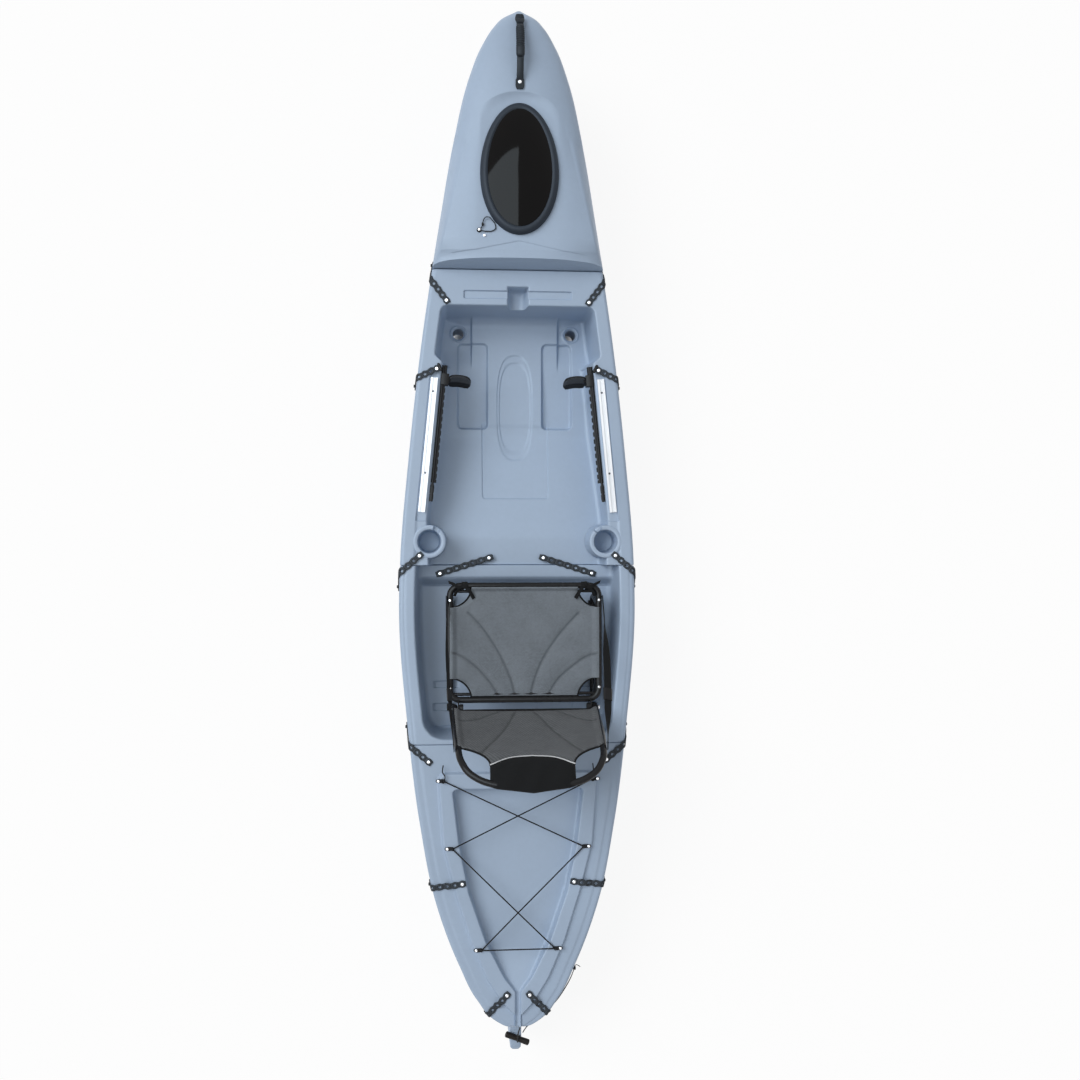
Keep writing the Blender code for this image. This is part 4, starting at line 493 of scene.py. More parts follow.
def hull_at(y):
    """Half beam and keel height; the keel never dips below the plane that it rests on."""
    half, keel = flowing(HULL_LINES, y)
    return half, np.maximum(keel, 0.0)


def step_up(t):
    """0 below 0, 1 above 1, and a smooth S between."""
    t = np.clip(t, 0.0, 1.0)
    return t * t * (3 - 2 * t)


def rows_between(low, high, step, fine=()):
    """Places from low to high, closer together round each (place, reach, spacing)."""
    places = [np.linspace(low, high, int(round((high - low) / step)) + 1)]
    for at, reach, close in fine:
        places.append(np.arange(max(low, at - reach), min(high, at + reach), close))
    places = np.unique(np.concatenate(places))
    keep = np.concatenate([[True], np.diff(places) > 0.0004])
    return places[keep]


def box_inside(x, y, low, high, corner):
    """How far a point lies inside a rectangle whose corners are rounded; negative outside."""
    middle = (np.array(low) + np.array(high)) / 2
    half = (np.array(high) - np.array(low)) / 2
    qx = np.abs(x - middle[0]) - half[0] + corner
    qy = np.abs(y - middle[1]) - half[1] + corner
    outside = np.hypot(np.maximum(qx, 0), np.maximum(qy, 0))
    return corner - outside - np.minimum(np.maximum(qx, qy), 0)


def corner_inside(a, b, corner):
    """Distance inside two edges that meet in a rounded corner."""
    qa, qb = corner - a, corner - b
    return corner - np.hypot(np.maximum(qa, 0), np.maximum(qb, 0)) - np.minimum(np.maximum(qa, qb), 0)


def wall_width(depth, top, foot, draft):
    """How wide a moulded wall is in plan: its two radii and the lean of what lies between them."""
    return top + foot + np.maximum(depth - top - foot, 0) * draft


def wall_drop(inside, depth, top, foot, draft):
    """How far a moulded wall has fallen at a distance inside its edge: an arc, a draft, an arc."""
    width = wall_width(depth, top, foot, draft)
    arc = top - np.sqrt(np.maximum(top**2 - np.clip(inside, 0, top) ** 2, 0))
    lean = top + np.clip((inside - top) / np.maximum(width - top - foot, 1e-5), 0, 1) * (depth - top - foot)
    low = depth - foot + np.sqrt(np.maximum(foot**2 - np.clip(width - inside, 0, foot) ** 2, 0))
    drop = np.where(inside < top, arc, np.where(inside < width - foot, lean, low))
    return np.where(inside <= 0, 0, np.where(inside >= width, depth, drop))


def wall_samples(width, top, foot):
    """Distances inside an edge at which a wall's arcs and its straight are well followed."""
    turn = np.linspace(0, math.pi / 2, 7)
    first = top * np.sin(turn)
    last = foot * (1 - np.cos(turn))
    width = np.asarray(width, float)[..., None]
    between = top + (width - top - foot) * np.linspace(0, 1, 5)[1:-1]
    return np.concatenate([first + 0 * width, between, width - foot + last], axis=-1)


# Meshes


def whole_turn(count):
    """Angles evenly round a circle, the last one short of the first."""
    return np.linspace(0, 2 * math.pi, count, endpoint=False)


def faces_between(rows, columns, close_columns=False, close_rows=False):
    """Quads of a grid whose points are listed row by row."""
    r = np.arange(rows if close_rows else rows - 1)[:, None]
    c = np.arange(columns if close_columns else columns - 1)[None, :]
    ahead, right = (r + 1) % rows, (c + 1) % columns
    quads = [r * columns + c, r * columns + right, ahead * columns + right, ahead * columns + c]
    return np.stack(np.broadcast_arrays(*quads), axis=-1).reshape(-1, 4)


def mesh_from(name, points, faces, sharp=40, outward=True):
    """A mesh object from points and lists of corners, smooth, with its faces turned out."""
    mesh = bpy.data.meshes.new(name)
    mesh.from_pydata(np.asarray(points, float).reshape(-1, 3), [], faces)
    if outward:
        work = bmesh.new()
        work.from_mesh(mesh)
        bmesh.ops.recalc_face_normals(work, faces=work.faces)
        work.to_mesh(mesh)
        work.free()
    mesh.shade_smooth()
    mesh.set_sharp_from_angle(angle=math.radians(sharp))
    obj = bpy.data.objects.new(name, mesh)
    bpy.context.scene.collection.objects.link(obj)
    return obj


def grid_object(name, points, sharp=40, close_rows=False):
    """A closed piece from rings of points, rows by columns, capped with a polygon at each end."""
    points = np.asarray(points, float)
    rows, columns = points.shape[:2]
    faces = faces_between(rows, columns, True, close_rows).tolist()
    if not close_rows:
        faces.append(list(range(columns)))
        faces.append(list(range((rows - 1) * columns, rows * columns)))
    return mesh_from(name, points, faces, sharp)


def two_faced(name, upper, lower, sharp):
    """A closed sheet from two grids of points, one over the other, joined round their border."""
    rows, columns = upper.shape[:2]
    under = rows * columns
    front = faces_between(rows, columns)
    far = np.arange(1, rows) * columns + columns - 1
    last = (rows - 1) * columns + np.arange(columns - 2, -1, -1)
    near = np.arange(rows - 2, 0, -1) * columns
    rim = np.concatenate([np.arange(columns), far, last, near])
    after = np.roll(rim, -1)
    edge = np.stack([after, rim, rim + under, after + under], axis=-1)
    faces = np.concatenate([front, front[:, ::-1] + under, edge]).tolist()
    return mesh_from(name, np.concatenate([upper.reshape(-1, 3), lower.reshape(-1, 3)]), faces, sharp)


def merged(name, objects):
    """Several meshes as one piece."""
    points, faces, count = [], [], 0
    slots = []
    for obj in objects:
        mesh = obj.data
        found = np.empty(len(mesh.vertices) * 3)
        mesh.vertices.foreach_get("co", found)
        points.append(found.reshape(-1, 3))
        faces += [[count + v for v in face.vertices] for face in mesh.polygons]
        own = np.zeros(len(mesh.polygons), dtype=np.int32)
        mesh.polygons.foreach_get("material_index", own)
        slots += (own + obj.get("part", 0)).tolist()
        count += len(mesh.vertices)
        bpy.data.objects.remove(obj)
    made = mesh_from(name, np.concatenate(points), faces, 40, False)
    made.data.polygons.foreach_set("material_index", slots)
    return made


def cut_away(obj, cutter):
    """Takes a closed cutter out of a piece for good, and deletes the cutter."""
    step = obj.modifiers.new("Cut", "BOOLEAN")
    step.operation = "DIFFERENCE"
    step.solver = "EXACT"
    step.object = cutter
    graph = bpy.context.evaluated_depsgraph_get()
    done = bpy.data.meshes.new_from_object(obj.evaluated_get(graph))
    obj.modifiers.clear()
    obj.data = done
    bpy.data.objects.remove(cutter)
    return obj


def along_path(path, closed=False):
    """Unit directions along a path and two across it, turned as little as possible."""
    path = np.asarray(path, float)
    if closed:
        ahead = np.roll(path, -1, axis=0) - np.roll(path, 1, axis=0)
    else:
        ahead = np.gradient(path, axis=0)
    ahead /= np.linalg.norm(ahead, axis=1, keepdims=True)
    first = np.cross(ahead[0], (0.0, 0.0, 1.0))
    if np.linalg.norm(first) < 1e-3:
        first = np.array((1.0, 0.0, 0.0))
    across = [first / np.linalg.norm(first)]
    for direction in ahead[1:]:
        side = across[-1] - direction * across[-1].dot(direction)
        across.append(side / np.linalg.norm(side))
    across = np.array(across)
    return ahead, across, np.cross(ahead, across)


def pipe(name, path, radius, sides=24, closed=False, sharp=50):
    """A round bar: rings of a radius, fixed or changing, square across a path."""
    path = np.asarray(path, float)
    _, across, up = along_path(path, closed)
    turn = whole_turn(sides)
    radius = np.broadcast_to(radius, len(path))[:, None, None]
    rings = np.cos(turn)[None, :, None] * across[:, None] + np.sin(turn)[None, :, None] * up[:, None]
    points = path[:, None] + radius * rings
    return grid_object(name, points, sharp, close_rows=closed)


def smooth_path(points, step):
    """A curve through points, a cubic between each two, read at an even step."""
    points = np.asarray(points, float)
    reach = np.concatenate([[0], np.cumsum(np.linalg.norm(np.diff(points, axis=0), axis=1))])
    table = np.concatenate([reach[:, None], points], axis=1)
    count = max(3, int(reach[-1] / step) + 1)
    return flowing(table, np.linspace(0.0, reach[-1], count)).T


def turned(name, profile, centre, sides, axis="z"):
    """A profile of (radius, height) rows, closed at its ends on the axis, spun about the axis."""
    turn = whole_turn(sides)
    profile = np.asarray(profile, float)
    ring = np.stack([np.cos(turn), np.sin(turn), np.zeros(sides)], axis=-1)
    points = profile[:, 0][:, None, None] * ring + profile[:, 1][:, None, None] * np.array((0, 0, 1.0))
    if axis == "x":
        points = points[..., [2, 0, 1]]
    return grid_object(name, points + np.asarray(centre))


def screw_head(name, spot, out, radius, rise=0.0026, part=1):
    """A pan head with a hexagon socket, standing on a surface; part is its material's number."""
    out = Vector(out).normalized()
    turn = whole_turn(24)
    hexagon = 0.42 * radius / np.cos((turn + math.pi / 6) % (math.pi / 3) - math.pi / 6)
    rows = [
        (radius, -0.0012), (radius, 0.35 * rise), (0.93 * radius, 0.72 * rise),
        (0.76 * radius, 0.95 * rise), (0.60 * radius, rise)
    ]
    rings = [np.full(24, r) for r, _ in rows] + [hexagon, hexagon * 0.96]
    heights = [z for _, z in rows] + [rise, 0.35 * rise]
    side = np.array(out.orthogonal().normalized())
    up = np.cross(np.array(out), side)
    points = []
    for ring, height in zip(rings, heights):
        spin = ring[:, None] * (np.cos(turn)[:, None] * side + np.sin(turn)[:, None] * up)
        points.append(np.array(spot) + spin + np.array(out) * height)
    made = grid_object(name, points, 35)
    made["part"] = part
    return made


# Finishes


def group_of(name, inputs, outputs, build):
    """A shader node group, made once; build wires it from its input and output nodes."""
    found = bpy.data.node_groups.get(name)
    if found:
        return found
    group = bpy.data.node_groups.new(name, "ShaderNodeTree")
    for label, kind, value in inputs:
        socket = group.interface.new_socket(label, in_out="INPUT", socket_type=kind)
        if value is not None:
            socket.default_value = value
    for label, kind in outputs:
        group.interface.new_socket(label, in_out="OUTPUT", socket_type=kind)
    start = group.nodes.new("NodeGroupInput")
    end = group.nodes.new("NodeGroupOutput")
    build(group, start, end)
    return group


def node(tree, kind, **values):
    """A node with its properties and inputs set by name; a socket as a value is linked."""
    made = tree.nodes.new(kind)
    for key, value in values.items():
        name = key.replace("_", " ")
        if hasattr(made, key) and name not in made.inputs:
            setattr(made, key, value)
            continue
        socket = made.inputs[int(key[1:])] if key[1:].isdigit() else made.inputs[name]
        if isinstance(value, bpy.types.NodeSocket):
            tree.links.new(value, socket)
        else:
            socket.default_value = value
    return made


# How far a gloss varies either side of its finish's roughness
ROUGH_SPREAD = 0.05


def feed(tree, made, **sockets):
    """Links sockets to a node's inputs by name."""
    for key, value in sockets.items():
        tree.links.new(value, made.inputs[key.replace("_", " ")])


def maths(tree, operation, *values, **settings):
    """The result of a Math node on numbers and sockets."""
    values = {f"i{k}": value for k, value in enumerate(values)}
    return node(tree, "ShaderNodeMath", operation=operation, **values, **settings).outputs[0]


def build_mottle(group, start, end):
    """Slow light and dark over a moulding: two noises, one broad and one fine."""
    where = group.nodes.new("ShaderNodeTexCoord")
    broad = node(group, "ShaderNodeTexNoise", Vector=where.outputs["Object"], Scale=3.2, Detail=3.0)
    fine = node(group, "ShaderNodeTexNoise", Vector=where.outputs["Object"], Scale=60.0, Detail=4.0)
    both = maths(group, "MULTIPLY_ADD", fine.outputs["Fac"], 0.35, broad.outputs["Fac"])
    spread = node(
        group, "ShaderNodeMapRange", Value=both, From_Min=0.45, From_Max=0.90, To_Min=0.0, To_Max=1.0
    )
    mixed = node(group, "ShaderNodeMix", data_type="RGBA", Factor=spread.outputs[0])
    group.links.new(start.outputs["Dark"], mixed.inputs[6])
    group.links.new(start.outputs["Light"], mixed.inputs[7])
    group.links.new(mixed.outputs[2], end.inputs["Colour"])
    group.links.new(spread.outputs[0], end.inputs["Mask"])


def mottle_group():
    """The mottle as a group: two colours in, a colour and its mask out."""
    return group_of(
        "slow_mottle",
        [("Dark", "NodeSocketColor", None), ("Light", "NodeSocketColor", None)],
        [("Colour", "NodeSocketColor"), ("Mask", "NodeSocketFloat")],
        build_mottle,
    )


def build_grain(group, start, end):
    """Fine moulded grain as a height, from a noise at a given scale."""
    where = group.nodes.new("ShaderNodeTexCoord")
    grain = node(
        group, "ShaderNodeTexNoise", Vector=where.outputs["Object"], Scale=start.outputs["Scale"],
        Detail=2.0
    )
    group.links.new(grain.outputs["Fac"], end.inputs["Height"])


def grain_group():
    """The grain as a group: a scale in, a height out."""
    return group_of(
        "moulded_grain",
        [("Scale", "NodeSocketFloat", 700.0)],
        [("Height", "NodeSocketFloat")],
        build_grain,
    )


def finish_base(name, roughness, metallic, specular):
    """A Principled material with its constant values on its own sockets."""
    made = bpy.data.materials.new(name)
    made.use_nodes = True
    shader = made.node_tree.nodes["Principled BSDF"]
    shader.inputs["Roughness"].default_value = roughness
    shader.inputs["Metallic"].default_value = metallic
    shader.inputs["Specular IOR Level"].default_value = specular
    return made, made.node_tree, shader


def moulded(name, colour, roughness, grain, depth, spread, metallic=0.0):
    """Moulded plastic, rubber or paint: a slow mottle, a fine grain and a varying gloss."""
    specular = 0.5 if metallic else 0.15 if max(colour) < 0.12 else 0.3
    made, tree, shader = finish_base(name, roughness, metallic, specular)
    mottle = tree.nodes.new("ShaderNodeGroup")
    mottle.node_tree = mottle_group()
    colour = np.array(colour)
    mottle.inputs["Dark"].default_value = (*(colour * (1 - spread)), 1)
    mottle.inputs["Light"].default_value = (*np.minimum(colour * (1 + spread), 1), 1)
    gloss = node(
        tree, "ShaderNodeMapRange", Value=mottle.outputs["Mask"], To_Min=roughness - ROUGH_SPREAD,
        To_Max=roughness + ROUGH_SPREAD
    )
    fine = tree.nodes.new("ShaderNodeGroup")
    fine.node_tree = grain_group()
    fine.inputs["Scale"].default_value = grain
    bump = node(tree, "ShaderNodeBump", Height=fine.outputs["Height"], Strength=0.5, Distance=depth)
    feed(tree, shader, Base_Color=mottle.outputs[0], Roughness=gloss.outputs[0], Normal=bump.outputs[0])
    return made


def dressed(obj, material, body=HULL, slot=None, replaces=()):
    """Gives a piece its material, the body it rides on, its record slot and the nodes it stands for."""
    mesh = obj.data
    parts = np.zeros(len(mesh.polygons), dtype=np.int32)
    mesh.polygons.foreach_get("material_index", parts)
    mesh.materials.clear()
    for each in material if isinstance(material, (list, tuple)) else [material]:
        mesh.materials.append(each)
    mesh.polygons.foreach_set("material_index", parts)
    if body:
        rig.ride(obj, body)
    if slot:
        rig.slot(obj, slot)
    if replaces:
        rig.replaces(obj, *replaces)
    return obj


def fitted(full, parts, materials, body, slot):
    """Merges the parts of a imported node's stand-in into one dressed piece."""
    return dressed(merged(full + "_dressed", parts), materials, body, slot, [full])


# Moulded finishes: a colour or the property that holds it, roughness, the grain's scale and depth,
# how much the colour varies, and how metallic it is
FINISHES = {
    "hull_moulding": ("hull", 0.46, 420.0, 0.00025, 0.045),
    "dark_moulding": ("black", 0.42, 900.0, 0.0001, 0.2),
    "dark_tube": ("black", 0.27, 1200.0, 0.00003, 0.2),
    "dark_rubber": ((0.021, 0.026, 0.033), 0.52, 800.0, 0.00015, 0.12),
    "rim_rubber": ((0.026, 0.034, 0.047), 0.50, 800.0, 0.00015, 0.10),
    "strap_moulding": ("strap", 0.55, 650.0, 0.0002, 0.14),
    "toggle_finish": ((0.016, 0.013, 0.012), 0.36, 500.0, 0.0002, 0.2),
    "pedal_grey": ((0.060, 0.066, 0.074), 0.45, 700.0, 0.00015, 0.08),
    "piping_finish": ((0.60, 0.62, 0.64), 0.65, 1400.0, 0.0001, 0.06),
    "stainless": ((0.72, 0.72, 0.74), 0.24, 1500.0, 0.00002, 0.08, 1.0),
    "track_finish": ((0.80, 0.81, 0.83), 0.42, 1500.0, 0.00002, 0.03, 0.25),
    "dark_screw": ((0.10, 0.10, 0.11), 0.32, 1500.0, 0.00003, 0.1, 0.8),
}


def finish(name):
    """A moulded finish from the table, made once."""
    if bpy.data.materials.get(name):
        return bpy.data.materials[name]
    colour, *values = FINISHES[name]
    if isinstance(colour, str):
        colour = getattr(bpy.context.scene.kayak_colours, colour)
    return moulded(name, colour, *values)


def black_plastic():
    """The dark plastic of fittings."""
    return finish("dark_moulding")


def black_rubber():
    """The dark rubber of the handle."""
    return finish("dark_rubber")


def black_tube():
    """The seat's painted tube."""
    return finish("dark_tube")


def stainless():
    """The bright metal of screws and pins."""
    return finish("stainless")


def lid_gloss():
    """Polished black, with a slow waviness in its gloss and a faint ripple."""
    name = "lid_polish"
    if bpy.data.materials.get(name):
        return bpy.data.materials[name]
    made, tree, shader = finish_base(name, 0.06, 0.0, 0.10)
    where = tree.nodes.new("ShaderNodeTexCoord")
    slow = node(tree, "ShaderNodeTexNoise", Vector=where.outputs["Object"], Scale=9.0, Detail=2.0)
    gloss = node(tree, "ShaderNodeMapRange", Value=slow.outputs["Fac"], To_Min=0.04, To_Max=0.11)
    shade = node(
        tree, "ShaderNodeMix", data_type="RGBA", i0=slow.outputs["Fac"], i6=(0.0020, 0.0020, 0.0024, 1),
        i7=(0.0040, 0.0034, 0.0034, 1)
    )
    bump = node(tree, "ShaderNodeBump", Height=slow.outputs["Fac"], Strength=0.15, Distance=0.002)
    feed(tree, shader, Base_Color=shade.outputs[2], Roughness=gloss.outputs[0], Normal=bump.outputs[0])
    return made


def woven(name, dark, light, scale, depth, roughness=0.85, sheen=0.15):
    """Woven cloth or braid: two crossed bands of thread as a height and a shade."""
    if bpy.data.materials.get(name):
        return bpy.data.materials[name]
    made, tree, shader = finish_base(name, roughness, 0.0, 0.15)
    shader.inputs["Sheen Weight"].default_value = sheen
    where = tree.nodes.new("ShaderNodeTexCoord")
    turned_to = [
        node(tree, "ShaderNodeMapping", Vector=where.outputs["Object"], Rotation=(0.3, 0.2, a))
        for a in (0.75, -0.80)
    ]
    bands = [
        node(tree, "ShaderNodeTexWave", Vector=m.outputs[0], Scale=scale, Distortion=0.6, Detail=1.0)
        for m in turned_to
    ]
    weave = maths(tree, "MULTIPLY", bands[0].outputs["Fac"], bands[1].outputs["Fac"])
    shade = node(tree, "ShaderNodeMix", data_type="RGBA", i0=weave, i6=(*dark, 1), i7=(*light, 1))
    bump = node(tree, "ShaderNodeBump", Height=weave, Strength=0.6, Distance=depth)
    feed(tree, shader, Base_Color=shade.outputs[2], Normal=bump.outputs[0])
    return made


def cord_finish():
    """Black braided cord."""
    return woven("braided_cord", (0.006, 0.006, 0.007), (0.022, 0.022, 0.024), 260.0, 0.0004)


def black_fabric():
    """Black sewn cloth."""
    return woven("sewn_cloth", (0.0045, 0.0047, 0.0052), (0.0100, 0.0102, 0.0110), 420.0, 0.0002, 0.9, 0.03)


def mesh_cloth(name, colour, length, width, lean):
    """Knitted mesh on the sheet's own map: rows of short raised stitches with dark eyes between, and painted shade
    along the seams.
    """
    made, tree, shader = finish_base(name, 0.82, 0.0, 0.25)
    shader.inputs["Sheen Weight"].default_value = 0.05
    where = tree.nodes.new("ShaderNodeUVMap")
    where.uv_map = "weave"
    bent = node(tree, "ShaderNodeTexNoise", Vector=where.outputs[0], Scale=5.0, Detail=1.0)
    shift = node(tree, "ShaderNodeVectorMath", operation="SCALE", i0=bent.outputs["Color"])
    shift.inputs["Scale"].default_value = 0.012
    bowed = node(tree, "ShaderNodeVectorMath", operation="ADD", i0=where.outputs[0], i1=shift.outputs[0])
    laid = node(
        tree, "ShaderNodeMapping", Vector=bowed.outputs[0], Rotation=(0, 0, lean),
        Scale=(1 / length, 1 / width, 1)
    )
    stitch = node(tree, "ShaderNodeTexBrick", Vector=laid.outputs[0], Scale=1.0)
    stitch.offset = 0.5
    for key, value in (("Color1", (1, 1, 1, 1)), ("Color2", (0.72, 0.72, 0.72, 1)), ("Mortar", (0, 0, 0, 1))):
        stitch.inputs[key].default_value = value
    for key, value in (
        ("Mortar Size", 0.13), ("Mortar Smooth", 0.6), ("Brick Width", 1.0), ("Row Height", 1.0)
    ):
        stitch.inputs[key].default_value = value
    slow = node(tree, "ShaderNodeTexNoise", Vector=where.outputs[0], Scale=14.0, Detail=3.0)
    lit = maths(tree, "MULTIPLY_ADD", slow.outputs["Fac"], 0.35, -0.12)
    both = maths(tree, "ADD", stitch.outputs["Color"], lit, use_clamp=True)
    colour = np.array(colour)
    # Painted shade: the seam attribute darkens the cloth by up to 55% along the sewn seams
    seam_shade = node(tree, "ShaderNodeAttribute", attribute_name="seam")
    both = maths(tree, "MULTIPLY", both, maths(tree, "MULTIPLY_ADD", seam_shade.outputs["Fac"], -0.55, 1.0))
    shade = node(
        tree, "ShaderNodeMix", data_type="RGBA", i0=both, i6=(*(colour * 0.25), 1), i7=(*(colour * 1.45), 1)
    )
    bump = node(tree, "ShaderNodeBump", Height=stitch.outputs["Color"], Strength=0.6, Distance=0.0006)
    feed(tree, shader, Base_Color=shade.outputs[2], Normal=bump.outputs[0])
    return made


def laid(cord, path, radius, end, lay, pieces):
    """Declares a limp cord with the rig: its exit, its length as the sum of its steps, its width and lay."""
    length = float(np.linalg.norm(np.diff(path, axis=0), axis=1).sum())
    points = [tuple(map(float, p)) for p in path]
    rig.cord(cord, points[0], length, 2 * radius, end, "limp", lay, path=points, with_pieces=pieces)


# Hull shells


def section_curve(top_share, count):
    """Shares of the half beam and of the depth round the hull's side, gunwale to keel."""
    rows = np.array([*HULL_SECTION, (1.0, top_share)])
    reach = np.concatenate([[0], np.cumsum(np.hypot(*np.diff(rows, axis=0).T))])
    table = np.column_stack([reach, rows])
    across, up = flowing(table, np.linspace(reach[-1], 0, count))
    return np.minimum(across, 1.0), np.maximum(up, 0.0)


def shell(name, y, deck_x, deck_y, deck_z, top, top_share, inset, foot_at_rake=None):
    """A closed shell: each ring runs over the deck to starboard and back under the keel."""
    half, keel = hull_at(y)
    share_x, share_z = section_curve(top_share, 30)
    half, keel, top = half - inset, keel + inset, top - inset
    x = half[:, None] * share_x
    z = keel[:, None] + (top - keel)[:, None] * share_z
    under_x = np.concatenate([x[:, 1:], -x[:, -2:0:-1]], axis=1)
    under_z = np.concatenate([z[:, 1:], z[:, -2:0:-1]], axis=1)
    under_y = np.broadcast_to(y[:, None], under_x.shape)
    ring_x = np.concatenate([deck_x, under_x], axis=1)
    ring_y = np.concatenate([deck_y, under_y], axis=1)
    ring_z = np.concatenate([deck_z, under_z], axis=1)
    points = np.stack([ring_x, ring_y, ring_z], axis=-1)
    if foot_at_rake is None:
        return grid_object(name, points, 50)
    rows, columns = points.shape[:2]
    deck = deck_x.shape[1]
    foot = np.stack([deck_x[0], np.full(deck, y[0]), np.full(deck, foot_at_rake)], axis=-1)[1:-1]
    start = rows * columns
    faces = faces_between(rows, columns, True).tolist()
    ids = [0, *range(start, start + deck - 2), deck - 1]
    faces += [[k, k + 1, ids[k + 1], ids[k]] for k in range(1, deck - 2)]
    faces += [[0, 1, ids[1]], [deck - 2, deck - 1, ids[deck - 2]]]
    faces.append(ids + list(range(deck, columns)))
    faces.append(list(range((rows - 1) * columns, rows * columns)))
    return mesh_from(name, np.concatenate([points.reshape(-1, 3), foot]), faces, 50)


def joint_inset(y, low, high, reach=JOINT_ROUND):
    """How far a shell's end is drawn in, so that its edge is rounded at a joint."""
    near = np.minimum(y - low, high - y)
    inside = np.clip(reach - near, 0, reach)
    return reach - np.sqrt(np.maximum(reach**2 - inside**2, 0))


def gunwale_columns(half):
    """Deck columns over the rounded gunwale: the half beam less a radius, plus its sine."""
    turn = np.linspace(0, math.pi / 2, 7)
    return half[:, None] - EDGE_ROUND + EDGE_ROUND * np.sin(turn)


def mirror_columns(x):
    """Columns from the middle out to starboard, with their port twins before them."""
    return np.concatenate([-x[:, :0:-1], x], axis=1)


def deck_columns(half, edges, floor, width, top, foot, floor_count, flange_counts):
    """Starboard columns of a deck: the floor, its wall, the lands between edges, the gunwale."""
    wall = edges[0][:, None] - wall_samples(width, top, foot)[:, ::-1]
    last = floor[-1] if len(floor) else 0.0
    inner = last + (wall[:, :1] - last) * np.linspace(0, 1, floor_count)[None, :-1]
    if len(floor):
        inner = np.concatenate([np.broadcast_to(floor[:-1], (len(half), len(floor) - 1)), inner], axis=1)
    parts = [inner, wall]
    marks = list(edges) + [half - EDGE_ROUND]
    for a, b, count in zip(marks, marks[1:], flange_counts):
        share = np.linspace(0, 1, count)[1:]
        parts.append(a[:, None] + (b - a)[:, None] * share)
    columns = np.concatenate(parts, axis=1)
    gunwale = gunwale_columns(half)
    return np.concatenate([columns, gunwale[:, 1:]], axis=1)


def gunwale_z(x, half, z):
    """Turns the deck's height over into the gunwale's round."""
    past = np.clip(x - (half[:, None] - EDGE_ROUND), 0, EDGE_ROUND)
    return z - EDGE_ROUND + np.sqrt(np.maximum(EDGE_ROUND**2 - past**2, 0))


def deck_shell(name, y, x, z, half, inset):
    """A shell from a deck's starboard columns and heights: gunwale rounded, ends drawn in, mirrored."""
    z = gunwale_z(x, half, z) - inset[:, None]
    x = mirror_columns(x * ((half - inset) / half)[:, None])
    z = np.concatenate([z[:, :0:-1], z], axis=1)
    yy = np.broadcast_to(y[:, None], x.shape)
    share = (SHEER - EDGE_ROUND) / SHEER
    return shell(name, y, x, yy, z, np.full(len(y), SHEER), share, inset)


# Moulded walls: the radius at the top, the radius at the foot, and the lean between
FOOT_WALL = (0.006, 0.014, math.tan(math.radians(4)))
SEAT_WALL = (0.007, 0.016, math.tan(math.radians(5)))
STERN_WALL = (0.004, 0.008, 0.10)
# How much less than its distance across the boat a point of the tankwell's slanting edge lies inside
STERN_LEAN = 0.93
# Columns of the footwell's floor off the middle, closer at its moulded edges: from, to, how many
FLOOR_COLUMNS = (
    (0.000, 0.034, 7),
    (0.034, 0.066, 23),
    (0.066, 0.088, 6),
    (0.088, 0.121, 20),
    (0.121, 0.143, 6),
    (0.143, 0.158, 9),
    (0.158, 0.172, 5),
    (0.172, 0.206, 18),
)


def foot_level(x, y):
    """Height of the footwell's floor, with its pockets, heel wells, panel and oval bead."""
    at = np.abs(x)
    aft, fore = straight(FOOT_FLOOR, y - 0.012), straight(FOOT_FLOOR, y + 0.012)
    z = aft * 0.25 + straight(FOOT_FLOOR, y) * 0.5 + fore * 0.25
    pocket_depth = 0.013 * step_up((y - 0.585) / 0.09)
    z = z - pocket_depth * step_up((at - 0.1475) / 0.006) * step_up((0.800 - y) / 0.008)
    heel = box_inside(at, y, (0.092, 0.388), (0.201, 0.690), 0.020)
    deeper = 0.009 + 0.012 * step_up((0.64 - y) / 0.20)
    z = z - deeper * step_up((heel + 0.001) / 0.009)
    panel = box_inside(at, y, (-0.115, 0.146), (0.115, 0.60), 0.012)
    fade = step_up((0.412 - y) / 0.02)
    z = z - 0.0038 * step_up((panel + 0.001) / 0.0036) * fade
    a = np.abs(at) / 0.0625
    b = np.abs(y - 0.464) / 0.1835
    ring = (1 - (a**2.7 + b**2.7) ** (1 / 2.7)) * 0.0625
    z = z - 0.0028 * step_up((ring + 0.001) / 0.0028) - 0.0028 * step_up((ring - 0.0075) / 0.0028)
    scupper = np.hypot(at - SCUPPER[0], y - SCUPPER[1])
    z = z + 0.0030 * step_up((0.0305 - scupper) / 0.003) * step_up((scupper - 0.0225) / 0.003)
    return z - 0.003 * step_up((0.0225 - scupper) / 0.003)


def foot_base(x, y, edge):
    """The deck's height round the footwell: flush flange, the tracks' shelf, the low inner land."""
    low, high, width, depth = SHELF
    outer = edge + width + 0.006 * step_up((0.07 - y) / 0.15)
    shelf = step_up((y - low + 0.0015) / 0.003) * step_up((high + 0.0015 - y) / 0.003)
    drop = LOW_FLANGE * step_up((high - y) / 0.003)
    drop = drop + (depth - LOW_FLANGE) * shelf
    base = SHEER - drop * step_up((outer - np.abs(x) + 0.0015) / 0.003)
    groove = box_inside(x, y, (-0.180, 0.8086), (0.180, 0.8353), 0.004)
    return base - 0.006 * step_up((groove + 0.001) / 0.0028)


